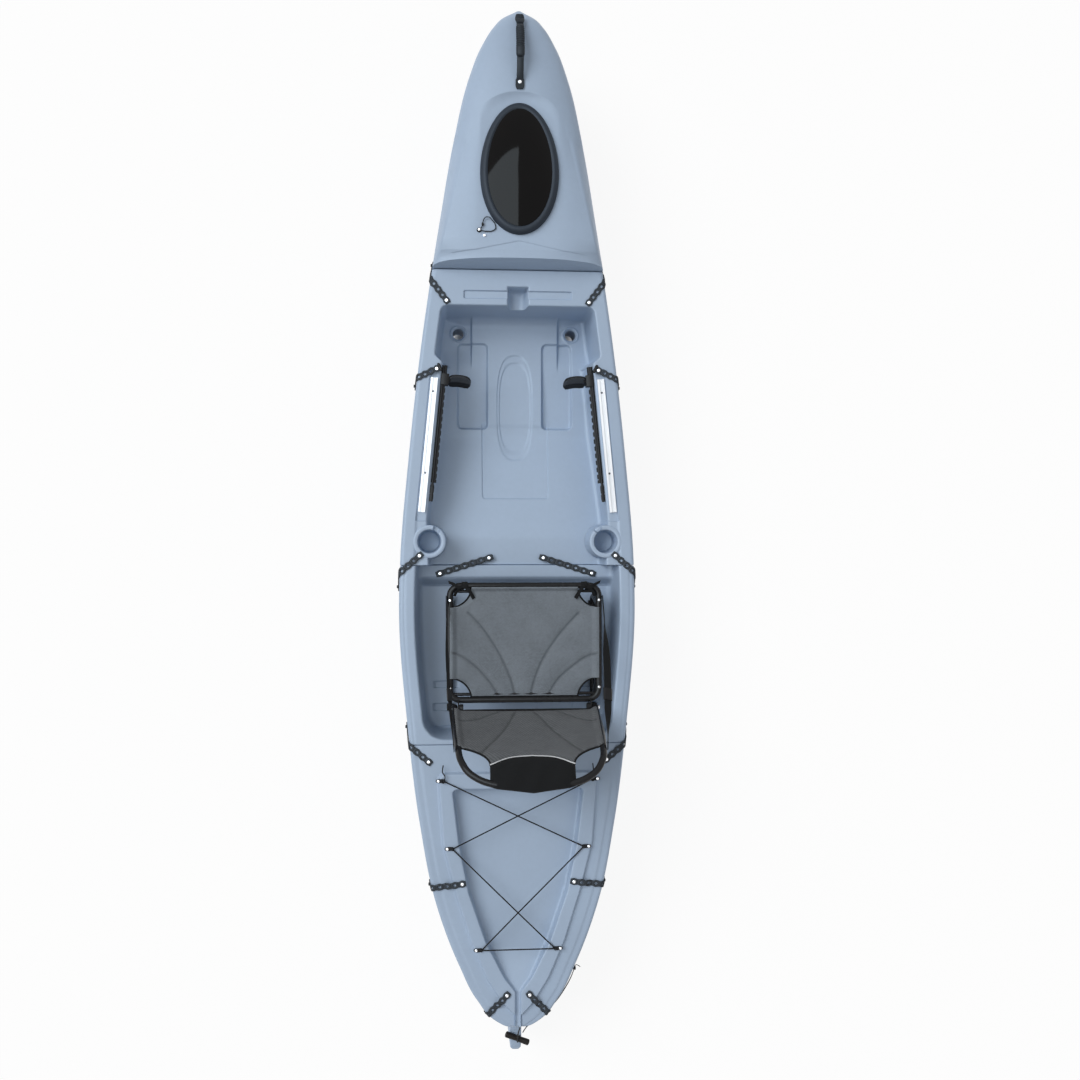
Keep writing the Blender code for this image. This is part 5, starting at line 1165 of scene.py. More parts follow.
def front_shell(step):
    """The front shell: footwell with its draft walls, notch, groove, shelves and cup rings."""
    fine = [(FOOT_FRONT - 0.003, 0.005, 0.0010), (0.765, 0.024, 0.0026), (0.607, 0.018, 0.0020)]
    fine += [(0.8345, 0.003, 0.0010), (0.8095, 0.003, 0.0010), (0.850, 0.006, 0.0012)]
    fine += [(SCUPPER[1], 0.034, 0.0021), (0.686, 0.007, 0.0020), (0.393, 0.007, 0.0020)]
    fine += [(0.640, 0.010, 0.0020), (0.288, 0.010, 0.0020), (0.1475, 0.004, 0.0012)]
    fine += [(SHELF[0], 0.003, 0.0008), (SHELF[1], 0.003, 0.0008)]
    low, high = MID_JOINT + JOINT_GAP, BOW_JOINT - JOINT_GAP
    fine += [(low, JOINT_ROUND, 0.0006), (high, JOINT_ROUND, 0.0006)]
    y = rows_between(low, high, step * 2.1, fine)
    half, _ = hull_at(y)
    inset = joint_inset(y, low, high)
    aft, fore = straight(FOOT_SIDE, y - 0.003), straight(FOOT_SIDE, y + 0.003)
    edge = straight(FOOT_SIDE, y) * 0.5 + aft * 0.25 + fore * 0.25
    slope = np.gradient(edge, y)
    lean = 1 / np.sqrt(1 + slope**2)
    top, foot, draft = FOOT_WALL
    depth = SHEER - straight(FOOT_FLOOR, y)
    width = wall_width(depth, top, foot, draft)
    shelf_edge = straight(BRACE_WALL, y) + SHELF[2] + 0.006 * step_up((0.07 - y) / 0.15)
    shelf_edge = np.maximum(shelf_edge, edge + 0.012)
    floor_at = np.unique(np.concatenate([np.linspace(*run) for run in FLOOR_COLUMNS]).round(6))
    x = deck_columns(half, (edge, shelf_edge), floor_at, width / lean, top, foot, 12, (9, 12))
    yy = np.broadcast_to(y[:, None], x.shape)
    beside = (edge[:, None] - x) * lean[:, None]
    inside = corner_inside(beside, FOOT_FRONT - yy, FOOT_CORNER)
    base = foot_base(x, yy, straight(BRACE_WALL, y)[:, None])
    floor = foot_level(x, yy)
    ahead = step_up((beside - (FOOT_FRONT - yy)) / 0.06)
    z = base - wall_drop(inside, base - floor, top, foot + 0.026 * ahead, draft)
    notch = box_inside(x, yy, (-0.0394, 0.70), (0.0394, 0.8534), 0.006)
    z = np.minimum(z, SHEER - wall_drop(notch, np.full(z.shape, 0.058), 0.005, 0.018, 0.15))
    z = np.maximum(z, floor)
    cup = np.hypot(x - CUP[0], yy - CUP[1])
    z = np.where(cup < 0.050, np.minimum(z, CUP_FLOOR - 0.008 + 0.30 * step_up((cup - 0.042) / 0.008)), z)
    return deck_shell("front_shell", y, x, z, half, inset)


def seat_shell(step):
    """The middle shell: a lip at the front, a crease down to the seat's floor, a round-cornered end."""
    low, high = REAR_JOINT + JOINT_GAP, MID_JOINT - JOINT_GAP
    fine = [(SEAT_WELL_REAR + 0.005, 0.012, 0.0011), (-0.128, 0.006, 0.002), (-0.148, 0.006, 0.002)]
    fine += [(low, JOINT_ROUND, 0.0006), (high, JOINT_ROUND, 0.0006)]
    fine += [(end, 0.003, 0.001) for row in SLOT_ROWS for end in row]
    y = rows_between(low, high, step, fine)
    half, _ = hull_at(y)
    inset = joint_inset(y, low, high)
    edge = half - FLANGE
    top, foot, draft = SEAT_WALL
    level = straight(SEAT_FLOOR, y)
    width = wall_width(SHEER - level, top, foot, draft)
    x = deck_columns(half, (edge, half - 0.020), (), width, top, foot, 66, (8, 5))
    yy = np.broadcast_to(y[:, None], x.shape)
    inside = corner_inside(edge[:, None] - x, yy - SEAT_WELL_REAR, 0.075)
    aft, fore = straight(SEAT_FLOOR, y - 0.004), straight(SEAT_FLOOR, y + 0.004)
    floor = np.broadcast_to((aft * 0.5 + fore * 0.5)[:, None], x.shape)
    for rear, front in SLOT_ROWS:
        slot = box_inside(x, yy, (SLOT_X[0], rear), (SLOT_X[1], front), 0.003)
        floor = floor - 0.004 * step_up((slot + 0.001) / 0.003)
    rim = 0.0015 * step_up((x - (half[:, None] - 0.022)) / 0.004)
    z = SHEER - rim - wall_drop(inside, SHEER - rim - floor, top, foot, draft)
    return deck_shell("seat_shell", y, x, z, half, inset)


def stern_level(x, y):
    """Height of the stern deck: a V of flat ribs round a tankwell, with a low shoulder outside."""
    half, _ = hull_at(y[:, 0])
    at = np.abs(x)
    rib_edge = straight(RIB_OUTER, y)
    tank_edge = straight(TANK_INNER, y)
    rib = corner_inside((rib_edge - at) * STERN_LEAN, RIB_FRONT - y, 0.022)
    z = SHEER + RIB_RISE * step_up((rib + 0.001) / 0.009)
    z = np.where(y < -1.578, SHEER + 0 * z, z)
    z = z - 0.0025 * step_up((at - (half[:, None] - 0.034)) / 0.006)
    floor = straight(TANK_FLOOR, y)
    tank = corner_inside((tank_edge - at) * STERN_LEAN, TANK_FRONT - y, 0.020)
    return z - wall_drop(tank, np.maximum(z - floor, 0.0005), *STERN_WALL)


def stern_shell(step):
    """The stern shell, drawn in to a rounded end."""
    low, high = STERN_END, REAR_JOINT - JOINT_GAP
    fine = [(TANK_FRONT - 0.006, 0.012, 0.0014), (RIB_FRONT - 0.004, 0.008, 0.0014)]
    fine += [(high, JOINT_ROUND, 0.0006), (low + 0.008, 0.012, 0.0008), (-1.55, 0.05, 0.0022)]
    y = rows_between(low, high, step, fine)
    half, _ = hull_at(y)
    inset = np.maximum(joint_inset(y, low - 1.0, high), joint_inset(y, low, high + 1.0, 0.010))
    tank_edge, rib_edge = straight(TANK_INNER, y), straight(RIB_OUTER, y)
    rib_edge = np.minimum(rib_edge, half - EDGE_ROUND - 0.004)
    tank_edge = np.minimum(tank_edge, rib_edge - 0.004)
    tank_edge = np.maximum(tank_edge, 0.008)
    rib_edge = np.maximum(rib_edge, tank_edge + 0.004)
    width = wall_width(
        np.maximum(SHEER + RIB_RISE - straight(TANK_FLOOR, y), 0.013), *STERN_WALL
    ) / STERN_LEAN
    width = np.minimum(width, tank_edge * 0.9)
    wall = tank_edge[:, None] - width[:, None] * np.linspace(1, 0, 10)
    inner = wall[:, :1] * np.linspace(0, 1, 46)[None, :-1]
    rib_start = np.maximum(rib_edge - 0.011, tank_edge + 0.002)
    marks = (tank_edge, rib_start, rib_edge + 0.001, half - EDGE_ROUND)
    parts = [inner, wall]
    for a, b, count in zip(marks, marks[1:], (9, 8, 16)):
        parts.append(a[:, None] + (b - a)[:, None] * np.linspace(0, 1, count)[1:])
    gunwale = gunwale_columns(half)
    x = np.concatenate([*parts, gunwale[:, 1:]], axis=1)
    yy = np.broadcast_to(y[:, None], x.shape)
    return deck_shell("stern_shell", y, x, stern_level(x, yy), half, inset)


def rounded_block(name, rows, corner=0.006, steps=5):
    """A tapering block along Y: rows of (y, half width, low, high) with rounded corners."""
    rings = []
    for y, half, low, high in rows:
        ring = []
        for cx, cz, start in (
            (half - corner, high - corner, 0),
            (-half + corner, high - corner, 90),
            (-half + corner, low + corner, 180),
            (half - corner, low + corner, 270),
        ):
            turn = np.radians(np.linspace(start, start + 90, steps))
            ring.append(
                np.stack(
                    [cx + corner * np.cos(turn), np.full(steps, y), cz + corner * np.sin(turn)], axis=-1
                )
            )
        rings.append(np.concatenate(ring))
    return grid_object(name, np.array(rings), 50)


def cup_ring(side, label):
    """A cup holder: outer wall, flat lip with a slot in it, the cup's wall and its floor."""
    turn = whole_turn(96)
    toward = math.radians(180 - 58) if side > 0 else math.radians(58)
    gap = np.abs((turn - toward + math.pi) % (2 * math.pi) - math.pi) * (CUP_RING + CUP_RADIUS) / 2
    slot = 0.016 * step_up((0.0135 - gap) / 0.005)
    lip = SHEER + 0.0008 - slot
    rows = [
        (0.0595, None, 0.226), (0.0575, None, 0.234), (CUP_RING, lip, -0.006),
        (CUP_RING - 0.0012, lip, -0.0015), (CUP_RING - 0.005, lip, 0.0), (CUP_RADIUS + 0.006, lip, 0.0),
        (CUP_RADIUS + 0.0015, lip, -0.0014), (CUP_RADIUS, lip, -0.006),
        (CUP_RADIUS - 0.003, None, CUP_FLOOR + 0.010), (CUP_RADIUS - 0.006, None, CUP_FLOOR + 0.003),
        (CUP_RADIUS - 0.013, None, CUP_FLOOR), (0.001, None, CUP_FLOOR), (0.001, None, 0.226)
    ]
    rings = []
    for radius, base, height in rows:
        z = np.full(96, float(height)) if base is None else base + height
        rings.append(
            np.stack([side * CUP[0] + radius * np.cos(turn), CUP[1] + radius * np.sin(turn), z], axis=-1)
        )
    return grid_object(f"cup_{label}", rings, 50, close_rows=True)


def bow_crown(x, y):
    """Height of the bow: a crown over the hull's sides, with a flat round the hatch. The flat's edge
    is an arch ahead of the hatch, a crease down each side, and a shallow chevron behind."""
    crown, shoulder = (column[:, None] for column in flowing(BOW_CROWN, y))
    half, at, yy = hull_at(y)[0][:, None], np.abs(x), y[:, None]
    arch = np.maximum(1 - np.clip(at / half, 0, 1) ** (8 / 3), 0) ** 0.45
    z = shoulder + (crown - shoulder) * arch
    side = straight(CREASE, yy)
    level = np.minimum(PLATEAU_Z, crown)
    flat = level - CREASE_DROP * np.clip((at - 0.125) / (side - 0.125), 0, 1) ** 2
    past = np.clip((at - side) / np.maximum(half - side, 1e-4), 0, 1)
    beside = np.where(at < side, flat, shoulder + (level - CREASE_DROP - shoulder) * (1 - past**2.0))
    middle, wide, long = PLATEAU_ARCH
    ahead = 1 - np.hypot(at / wide, np.maximum(yy - middle, 0) / long)
    inside = long * np.where(yy > middle, ahead, 1 - at / side)
    fade = np.clip(1 - inside / PLATEAU_EDGE, 0, 1) ** 2
    arched = np.where(z > flat, flat + (z - flat) * fade, z)
    plain = step_up((middle - yy) / 0.06) * step_up((yy - 0.905) / 0.09)
    z = arched + (beside - arched) * plain
    aft = CHEVRON[0] - CHEVRON[1] * at - yy
    return z - 0.0020 * step_up((aft + 0.0005) / 0.0030) * step_up((0.235 - at) / 0.03)


def bow_shell(step):
    """The bow shell, with a raked face at the joint and the hatch's mouth cut into it."""
    fine = [(0.909, 0.003, 0.0008), (0.962, 0.035, 0.0016), (1.742, 0.009, 0.0012), (1.44, 0.04, 0.0024)]
    y = rows_between(BOW_JOINT + 0.0022, 1.7497, step * 1.25, fine)
    half, _ = hull_at(y)
    split = np.minimum(straight(CREASE, y), 0.746 * half)
    inner = split[:, None] * np.linspace(0, 1, 57)
    outer = split[:, None] + (half - split)[:, None] * (1 - (1 - np.linspace(0, 1, 24)[1:]) ** 1.8)
    x = mirror_columns(np.concatenate([inner, outer], axis=1))
    z = bow_crown(x, y)
    _, shoulder = flowing(BOW_CROWN, y)
    fade = np.clip(1 - (y - BOW_JOINT) / 0.05, 0, 1)
    rake = FACE_RAKE / (0.402 - SHEER) * fade
    yy = y[:, None] + np.maximum(z - SHEER, 0) * rake[:, None]
    z[:, [0, -1]] = shoulder[:, None]
    made = shell("bow_shell", y, x, yy, z, shoulder, 1.0, np.zeros(len(y)), SHEER)
    mouth = np.array([egg_ring(-HATCH_RIM_WIDTH - 0.006, level, 96) for level in (0.17, 0.5)])
    return cut_away(made, grid_object("mouth", mouth))


def egg_ring(grow, height, count=128):
    """The hatch's outline, grown by a distance, as a ring of points at a height."""
    a = whole_turn(count)
    wide, long = HATCH_HALF[0] + grow, HATCH_HALF[1] + grow
    x = wide * np.sin(a) * (1 - HATCH_EGG * np.cos(a))
    return np.stack([x, HATCH_Y + long * np.cos(a), np.full(count, float(height))], axis=-1)


class KAYAK_OT_hull(bpy.types.Operator):
    """Builds the four moulded shells, as surfaces of height over the deck and lofted sides"""

    bl_idname = "kayak.hull"
    bl_label = "Hull shells"

    def execute(self, context):
        step = context.scene.kayak_sizes.row_step
        plastic = finish("hull_moulding")
        rings = [
            egg_ring(-HATCH_RIM_WIDTH - g, z) for g, z in ((0.006, 0.395), (0.006, 0.4215), (0.004, 0.4225))
        ]
        rings += [
            egg_ring(-HATCH_RIM_WIDTH + g, z)
            for g, z in ((-0.0015, 0.4225), (0.0, 0.4210), (0.002, 0.4125), (0.004, 0.395))
        ]
        coaming = grid_object("coaming", rings, 60, close_rows=True)
        bow = merged("bow_shell_dressed", [bow_shell(step), coaming])
        dressed(bow, plastic, HULL, "hull_plastic", ["bow_section"])
        front = front_shell(step)
        pipes = []
        for side, _ in SIDES:
            spot = (side * SCUPPER[0], SCUPPER[1], 0.0)
            pipes.append(turned("bore", [(SCUPPER_RADIUS, -0.1), (SCUPPER_RADIUS, 0.3)], spot, 48))
        cut_away(front, merged("bores", pipes))
        cups = [cup_ring(side, label) for side, label in SIDES]
        front = merged("front_shell_dressed", [front, *cups])
        dressed(front, plastic, HULL, "hull_plastic", ["front_hull", "front_deck"])
        dressed(seat_shell(step), plastic, HULL, "hull_plastic", ["seat_section"])
        tail = rounded_block(
            "tail",
            [
                (-1.56, 0.020, 0.110, 0.200), (-1.72, 0.020, 0.062, 0.200), (-1.742, 0.018, 0.070, 0.199),
                (-1.7495, 0.012, 0.090, 0.194)
            ],
        )
        stern = merged("stern_shell_dressed", [stern_shell(step), tail])
        dressed(stern, plastic, HULL, "hull_plastic", ["stern_hull", "stern_deck"])
        return {"FINISHED"}


# Hatch


class KAYAK_OT_hatch(bpy.types.Operator):
    """Builds the hatch's ribbed rim, its glossy dome and the cord that keeps it"""

    bl_idname = "kayak.hatch"
    bl_label = "Bow hatch"

    def execute(self, context):
        low = PLATEAU_Z + STAND_OFF
        profile = [
            (-0.0290, 0.0010), (-0.0010, 0.0002), (0.0, 0.0012), (-0.0012, 0.0080), (-0.0040, 0.0135),
            (-0.0075, 0.0178), (-0.0115, 0.0206), (-0.0160, 0.0220), (-0.0200, 0.0214), (-0.0232, 0.0196),
            (-0.0236, 0.0186), (-0.0262, 0.0178), (-0.0288, 0.0170), (-0.0294, 0.0150), (-0.0294, 0.0030)
        ]
        count = RIM_TEETH * 4
        a = np.arange(count) * 2 * math.pi / count
        tooth = 0.5 + 0.5 * np.cos(a * RIM_TEETH)
        rings = []
        for number, (grow, height) in enumerate(profile):
            ring = egg_ring(grow, low + height, count)
            if 10 <= number <= 12:
                ring[:, 2] += 0.0012 * tooth
            rings.append(ring)
        rim = grid_object("hatch_rim_dressed", rings, 30, close_rows=True)
        dressed(rim, finish("rim_rubber"), "hatch", "black_rubber", ["hatch_rim"])

        ledge = low + HATCH_RIM_HEIGHT - 0.006
        sizes = np.concatenate([np.linspace(0.004, 0.90, 36), np.linspace(0.92, 1, 8)])
        edge = egg_ring(-HATCH_RIM_WIDTH + 0.0055, 0.0, 160)
        rings = [scaled_egg(edge, size, ledge + 0.0045 + DOME_RISE * (1 - size**2.2)) for size in sizes]
        rings += [scaled_egg(edge, size, ledge + STAND_OFF) for size in (1.0, 0.935)]
        rings += [
            scaled_egg(edge, size * 0.93, ledge + 0.0006 + DOME_RISE * (1 - size**2.2))
            for size in sizes[::-1]
        ]
        dome = grid_object("hatch_dome_dressed", rings, 40)
        dressed(dome, lid_gloss(), "hatch", "lid_gloss", ["hatch_dome"])

        eye = Vector((*TETHER_EYE, PLATEAU_Z + TETHER_RISE))
        points = [
            (-0.1268, 1.0198), (-0.1215, 1.0290), (-0.1195, 1.0420), (-0.1130, 1.0545), (-0.1000, 1.0560),
            (-0.0905, 1.0480), (-0.0800, 1.0340), (-0.0790, 1.0200), (-0.0900, 1.0125), (-0.1060, 1.0110),
            (-0.1190, 1.0115), (-0.1262, 1.0125)
        ]
        heights = [0.006, 0.005, 0.0065, 0.008, 0.0085, 0.006, 0.0035, 0.0030, 0.0030, 0.0035, 0.0045, 0.0065]
        path = smooth_path([(x, y, PLATEAU_Z + z) for (x, y), z in zip(points, heights)], 0.0012)
        tether = pipe("hatch_tether_dressed", path, TETHER_RADIUS, 12)
        dressed(tether, cord_finish(), None, "black_cord", ["hatch_tether"])
        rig.blend(tether, HULL, "hatch", tuple(eye), (-0.0908, 1.0572, eye.z))
        lock = turned(
            "cord_lock_body",
            [(0.001, -0.0036), (0.0042, -0.0036), (0.0048, 0.0), (0.0042, 0.0036), (0.001, 0.0036)],
            (-0.1205, 1.0340, PLATEAU_Z + 0.0056), 20, "x"
        )
        dressed(lock, black_plastic(), None, "black_plastic")
        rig.blend(lock, HULL, "hatch", tuple(eye), (-0.0908, 1.0572, eye.z))
        laid(tether, path, TETHER_RADIUS, "object", "loose", [lock])

        post = turned(
            "eye_post",
            [
                (0.001, -0.006), (0.0078, -0.006), (0.0078, 0.0010), (0.0062, 0.0028), (0.0040, 0.0034),
                (0.0040, 0.0080), (0.0048, 0.0098), (0.001, 0.0100)
            ],
            (*TETHER_EYE, PLATEAU_Z), 28
        )
        bolt = screw_head(
            "eye_bolt", (TETHER_EYE[0], TETHER_EYE[1], PLATEAU_Z + 0.0098), (0, 0, 1), 0.0045, 0.0022
        )
        other = screw_head("eye_bolt_low", (-0.1150, 0.9985, PLATEAU_Z + 0.0012), (0, 0, 1), 0.0050, 0.0026)
        fitted("tether_eye", [post, bolt, other], [black_plastic(), stainless()], HULL, "black_plastic")
        return {"FINISHED"}


def scaled_egg(edge, size, height):
    """The hatch's ring of points drawn in towards its middle, at a height."""
    ring = edge.copy()
    ring[:, :2] = np.array((0.0, HATCH_Y)) + (ring[:, :2] - np.array((0.0, HATCH_Y))) * size
    ring[:, 2] = height
    return ring


# Bow handle


def bow_top(y):
    """Height of the bow along its middle: the crown, or the hatch's flat where that is higher."""
    return np.maximum(flowing(BOW_CROWN, y)[0], PLATEAU_Z)


def handle_underside(y):
    """Height of the handle's strap: flat feet and a raised middle."""
    share = np.clip((y - 1.504) / (1.706 - 1.504), 0, 1)
    return bow_top(y) + 0.0006 + HANDLE_ARCH * np.sin(math.pi * share) ** 0.7


class KAYAK_OT_handle(bpy.types.Operator):
    """Builds the bow handle: a strap on two screwed feet and a ribbed grip"""

    bl_idname = "kayak.handle"
    bl_label = "Bow handle"

    def execute(self, context):
        y = np.linspace(1.474, 1.722, 120)
        low = handle_underside(y)
        round_end = np.minimum(
            np.sqrt(np.clip((y - 1.4735) / 0.010, 0, 1)), np.sqrt(np.clip((1.7225 - y) / 0.008, 0, 1))
        )
        foot = 1 - step_up((y - 1.503) / 0.004) * step_up((1.712 - y) / 0.006)
        half = (0.0112 + 0.0030 * foot) * (0.62 + 0.38 * round_end)
        rings = []
        for yy, z, h in zip(y, low, half):
            t = 0.0055
            section = [
                (h - 0.001, 0), (h, 0.001), (h, t - 0.0012), (h - 0.0014, t), (-h + 0.0014, t),
                (-h, t - 0.0012), (-h, 0.001), (-h + 0.001, 0)
            ]
            rings.append([(x, yy, z + up) for x, up in section])
        strap = grid_object("handle_band", rings, 45)
        block_y = np.linspace(1.689, 1.7205, 12)
        rings = []
        for k, yy in enumerate(block_y):
            swell = math.sin(math.pi * (0.12 + 0.76 * k / 11))
            rings.append(
                squircle(
                    0.0, yy, float(handle_underside(yy)) + 0.0038, 0.0105 + 0.0050 * swell,
                    0.0030 + 0.0032 * swell, 24
                )
            )
        block = grid_object("handle_block", rings, 60)
        screw = screw_head(
            "handle_screw", (0.0, 1.4965, float(handle_underside(1.4965)) + 0.0053), (0, 0, 1), 0.0062
        )
        fitted("bow_handle_strap", [strap, block, screw], [black_rubber(), stainless()], HULL, "black_rubber")

        y = np.linspace(1.5655, 1.6805, 231)
        rib = 0.5 + 0.5 * np.cos((y - 1.5985) * 2 * math.pi / 0.0078)
        ribbed = step_up((y - 1.597) / 0.003) * step_up((1.675 - y) / 0.003)
        end = np.sqrt(np.clip(1 - ((y - 1.623) / 0.0577) ** 12, 0.03, 1))
        rings = []
        for yy, cut, on, share in zip(y, rib, ribbed, end):
            radius = (0.0142 - 0.0028 * cut * on) * share
            rings.append(squircle(0.0, yy, float(handle_underside(yy)) + 0.003, radius, radius * 0.92, 28))
        grip = grid_object("bow_handle_grip_dressed", rings, 60)
        dressed(grip, black_rubber(), HULL, "black_rubber", ["bow_handle_grip"])
        return {"FINISHED"}


def squircle(x, y, z, half_x, half_z, count, power=0.8):
    """A ring across Y: an ellipse with fuller shoulders."""
    a = whole_turn(count)
    c, s = np.cos(a), np.sin(a)
    return np.stack(
        [
            x + half_x * np.sign(c) * np.abs(c) ** power, np.full(count, y),
            z + half_z * np.sign(s) * np.abs(s) ** power
        ],
        axis=-1
    )


# Rubber straps


def deck_edge(y):
    """Where the flat of the deck ends, off the middle."""
    return hull_at(y)[0] - EDGE_ROUND


def over_edge(side, w, y, lift):
    """Points a height off the deck, w being the distance past the flat of the deck, down the side."""
    edge = deck_edge(y)
    rib_edge = straight(RIB_OUTER, y)
    x = edge + w
    rib = (RIB_RISE + 0.0004) * np.clip((rib_edge + 0.026 - x) / 0.018, 0, 1) * (y < -0.80)
    turn = np.clip(w / EDGE_ROUND, 0, math.pi / 2)
    down = np.maximum(w - EDGE_ROUND * math.pi / 2, 0)
    radius = EDGE_ROUND + lift
    flat = w <= 0
    px = np.where(flat, edge + w, edge + radius * np.sin(turn))
    pz = np.where(flat, SHEER + lift + rib, SHEER - EDGE_ROUND - down + radius * np.cos(turn))
    return np.stack([side * px, y + 0 * px, pz], axis=-1)


def strap_cell(hole, pitch, half, nip, steps=8):
    """One link of a strap in plan, as rings of 32 points from its oval hole out to its edge."""
    run = np.linspace(-1, 1, steps, endpoint=False)
    ones = np.ones(steps)
    s = np.concatenate([ones, -run, -ones, run]) * pitch / 2
    t = np.concatenate([run, ones, -run, -ones])
    width = half - nip * (0.5 - 0.5 * np.cos(2 * math.pi * s / pitch))
    outer = np.stack([s, t * width], axis=-1)
    turn = np.arctan2(outer[:, 1] / half, outer[:, 0] / (pitch / 2))
    inner = np.stack([hole[0] * np.cos(turn), hole[1] * np.sin(turn)], axis=-1)
    return [inner + (outer - inner) * share for share in (0.0, 0.22, 0.80, 1.0)]


def strap_mesh(name, cells, pitch, place, thick):
    """A strap of links side by side; place turns plan points and a height into the row's frame."""
    half = bpy.context.scene.kayak_sizes.strap_width / 2
    heights = (thick - 0.0009, thick, thick, thick - 0.0010)
    points, faces, count = [], [], 0
    for middle, open_hole in cells:
        hole = (0.0050, 0.0043) if open_hole else (0.0012, 0.0012)
        rings = strap_cell(hole, pitch, half, 0.0028)
        top = [place(ring[:, 0] + middle, ring[:, 1], h) for ring, h in zip(rings, heights)]
        low = [place(ring[:, 0] + middle, ring[:, 1], 0.0004) for ring in rings[::-1]]
        block = np.array(top + low)
        points.append(block.reshape(-1, 3))
        faces += (faces_between(8, 32, True, True) + count).tolist()
        count += 8 * 32
    return mesh_from(name, np.concatenate(points), faces, 35)


def strap_hook(place, thick):
    """A black T that the brace strap's inboard end hooks over."""
    rings = []
    for t in np.linspace(-1, 1, 13):
        size = math.sqrt(max(1 - t**6, 0.05))
        turn = whole_turn(16)
        s = -0.0115 + 0.0052 * size * np.cos(turn)
        ring = place(s, np.full(16, 0.0150 * t), thick * 0.5)
        ring[:, 2] += 0.0015 + 0.0048 * size * np.sin(turn)
        rings.append(ring)
    hook = grid_object("hook", rings, 50)
    hook["part"] = 2
    return hook


class KAYAK_OT_straps(bpy.types.Operator):
    """Builds the rubber straps across the joints, link by link, with their screws"""

    bl_idname = "kayak.straps"
    bl_label = "Rubber straps"

    def execute(self, context):
        sizes = context.scene.kayak_sizes
        rubber = finish("strap_moulding")
        for side, label in SIDES:
            for name, screw, slope, side_slope, drop in EDGE_STRAPS:
                taper = float((deck_edge(screw[1] + 0.01) - deck_edge(screw[1] - 0.01)) / 0.02)
                ahead = np.array((1 + taper * slope, slope))
                ahead /= np.linalg.norm(ahead)
                start = screw[0] - float(deck_edge(screw[1]))
                turn = EDGE_ROUND * math.pi / 2
                length = (turn + drop - start) / (ahead[0] - taper * ahead[1])

                def place(s, t, height):
                    x = screw[0] + ahead[0] * s - ahead[1] * t
                    y = screw[1] + ahead[1] * s + ahead[0] * t
                    w = x - deck_edge(y)
                    y = y + np.maximum(w - turn, 0) * (side_slope - slope)
                    return over_edge(side, w, y, height + STRAP_LIFT)

                links = max(2, int(round((length - 0.012) / 0.0240)))
                pitch = (length - 0.012) / links
                pitch = min(max(pitch, 0.021), 0.0265)
                cells = [(0.0, False)] + [(pitch * (k + 1), k < links - 1 or links < 3) for k in range(links)]
                pieces = [strap_mesh("links", cells, pitch, place, sizes.strap_thick)]
                spot = place(np.array([0.0]), np.array([0.0]), sizes.strap_thick)[0]
                head = screw_head("head", spot, (0, 0, 1), sizes.screw_radius)
                last = pitch * links
                knob_at = place(np.array([last]), np.array([0.0]), sizes.strap_thick)[0]
                out = knob_at - place(np.array([last]), np.array([0.0]), 0.0)[0]
                knob = screw_head("knob", knob_at, out, 0.0055, 0.0045, 2)
                if name == "strap_brace":
                    pieces.append(strap_hook(place, sizes.strap_thick))
                full = f"{name}_{label}"
                fitted(
                    full, [*pieces, head, knob], [rubber, stainless(), black_plastic()], HULL,
                    "strap_rubber"
                )

            screw, end = np.array(SEAT_STRAP[0]), np.array(SEAT_STRAP[1])
            length = float(np.linalg.norm(end - screw))
            ahead = (end - screw) / length
            pitch = length / 6.2

            def lip_place(s, t, height):
                x = screw[0] + ahead[0] * s - ahead[1] * t
                y = screw[1] + ahead[1] * s + ahead[0] * t
                z = straight(SEAT_FLOOR, y) + STRAP_LIFT + height
                return np.stack([side * x, y, z], axis=-1)

            first = pitch * 0.1
            cells = [(first + pitch * k, 0 < k < 6) for k in range(7)]
            pieces = [strap_mesh("links", cells, pitch, lip_place, sizes.strap_thick)]
            for k in (0, 6):
                spot = lip_place(np.array([first + pitch * k]), np.array([0.0]), sizes.strap_thick)[0]
                head = screw_head("head", spot, (0, 0, 1), sizes.screw_radius)
                pieces.append(head)
            full = f"strap_seat_joint_{label}"
            fitted(full, pieces, [rubber, stainless()], HULL, "strap_rubber")
        return {"FINISHED"}


# Gear tracks and foot braces


def rail_frame(side, front_x, front_y):
    """Origin and a turn for pieces drawn along -Y, so that they run along the footwell's wall."""
    slope = (BRACE_WALL[1][1] - BRACE_WALL[0][1]) / (BRACE_WALL[0][0] - BRACE_WALL[1][0])
    turn = math.atan2(side * slope, 1.0)
    return np.array((side * front_x, front_y, 0.0)), turn


def set_along(points, origin, turn):
    """Points drawn along -Y, turned about Z and moved to their origin."""
    points = np.asarray(points, float)
    x, y = points[..., 0], points[..., 1]
    made = np.stack(
        [x * math.cos(turn) - y * math.sin(turn), x * math.sin(turn) + y * math.cos(turn), points[..., 2]],
        axis=-1
    )
    return made + origin


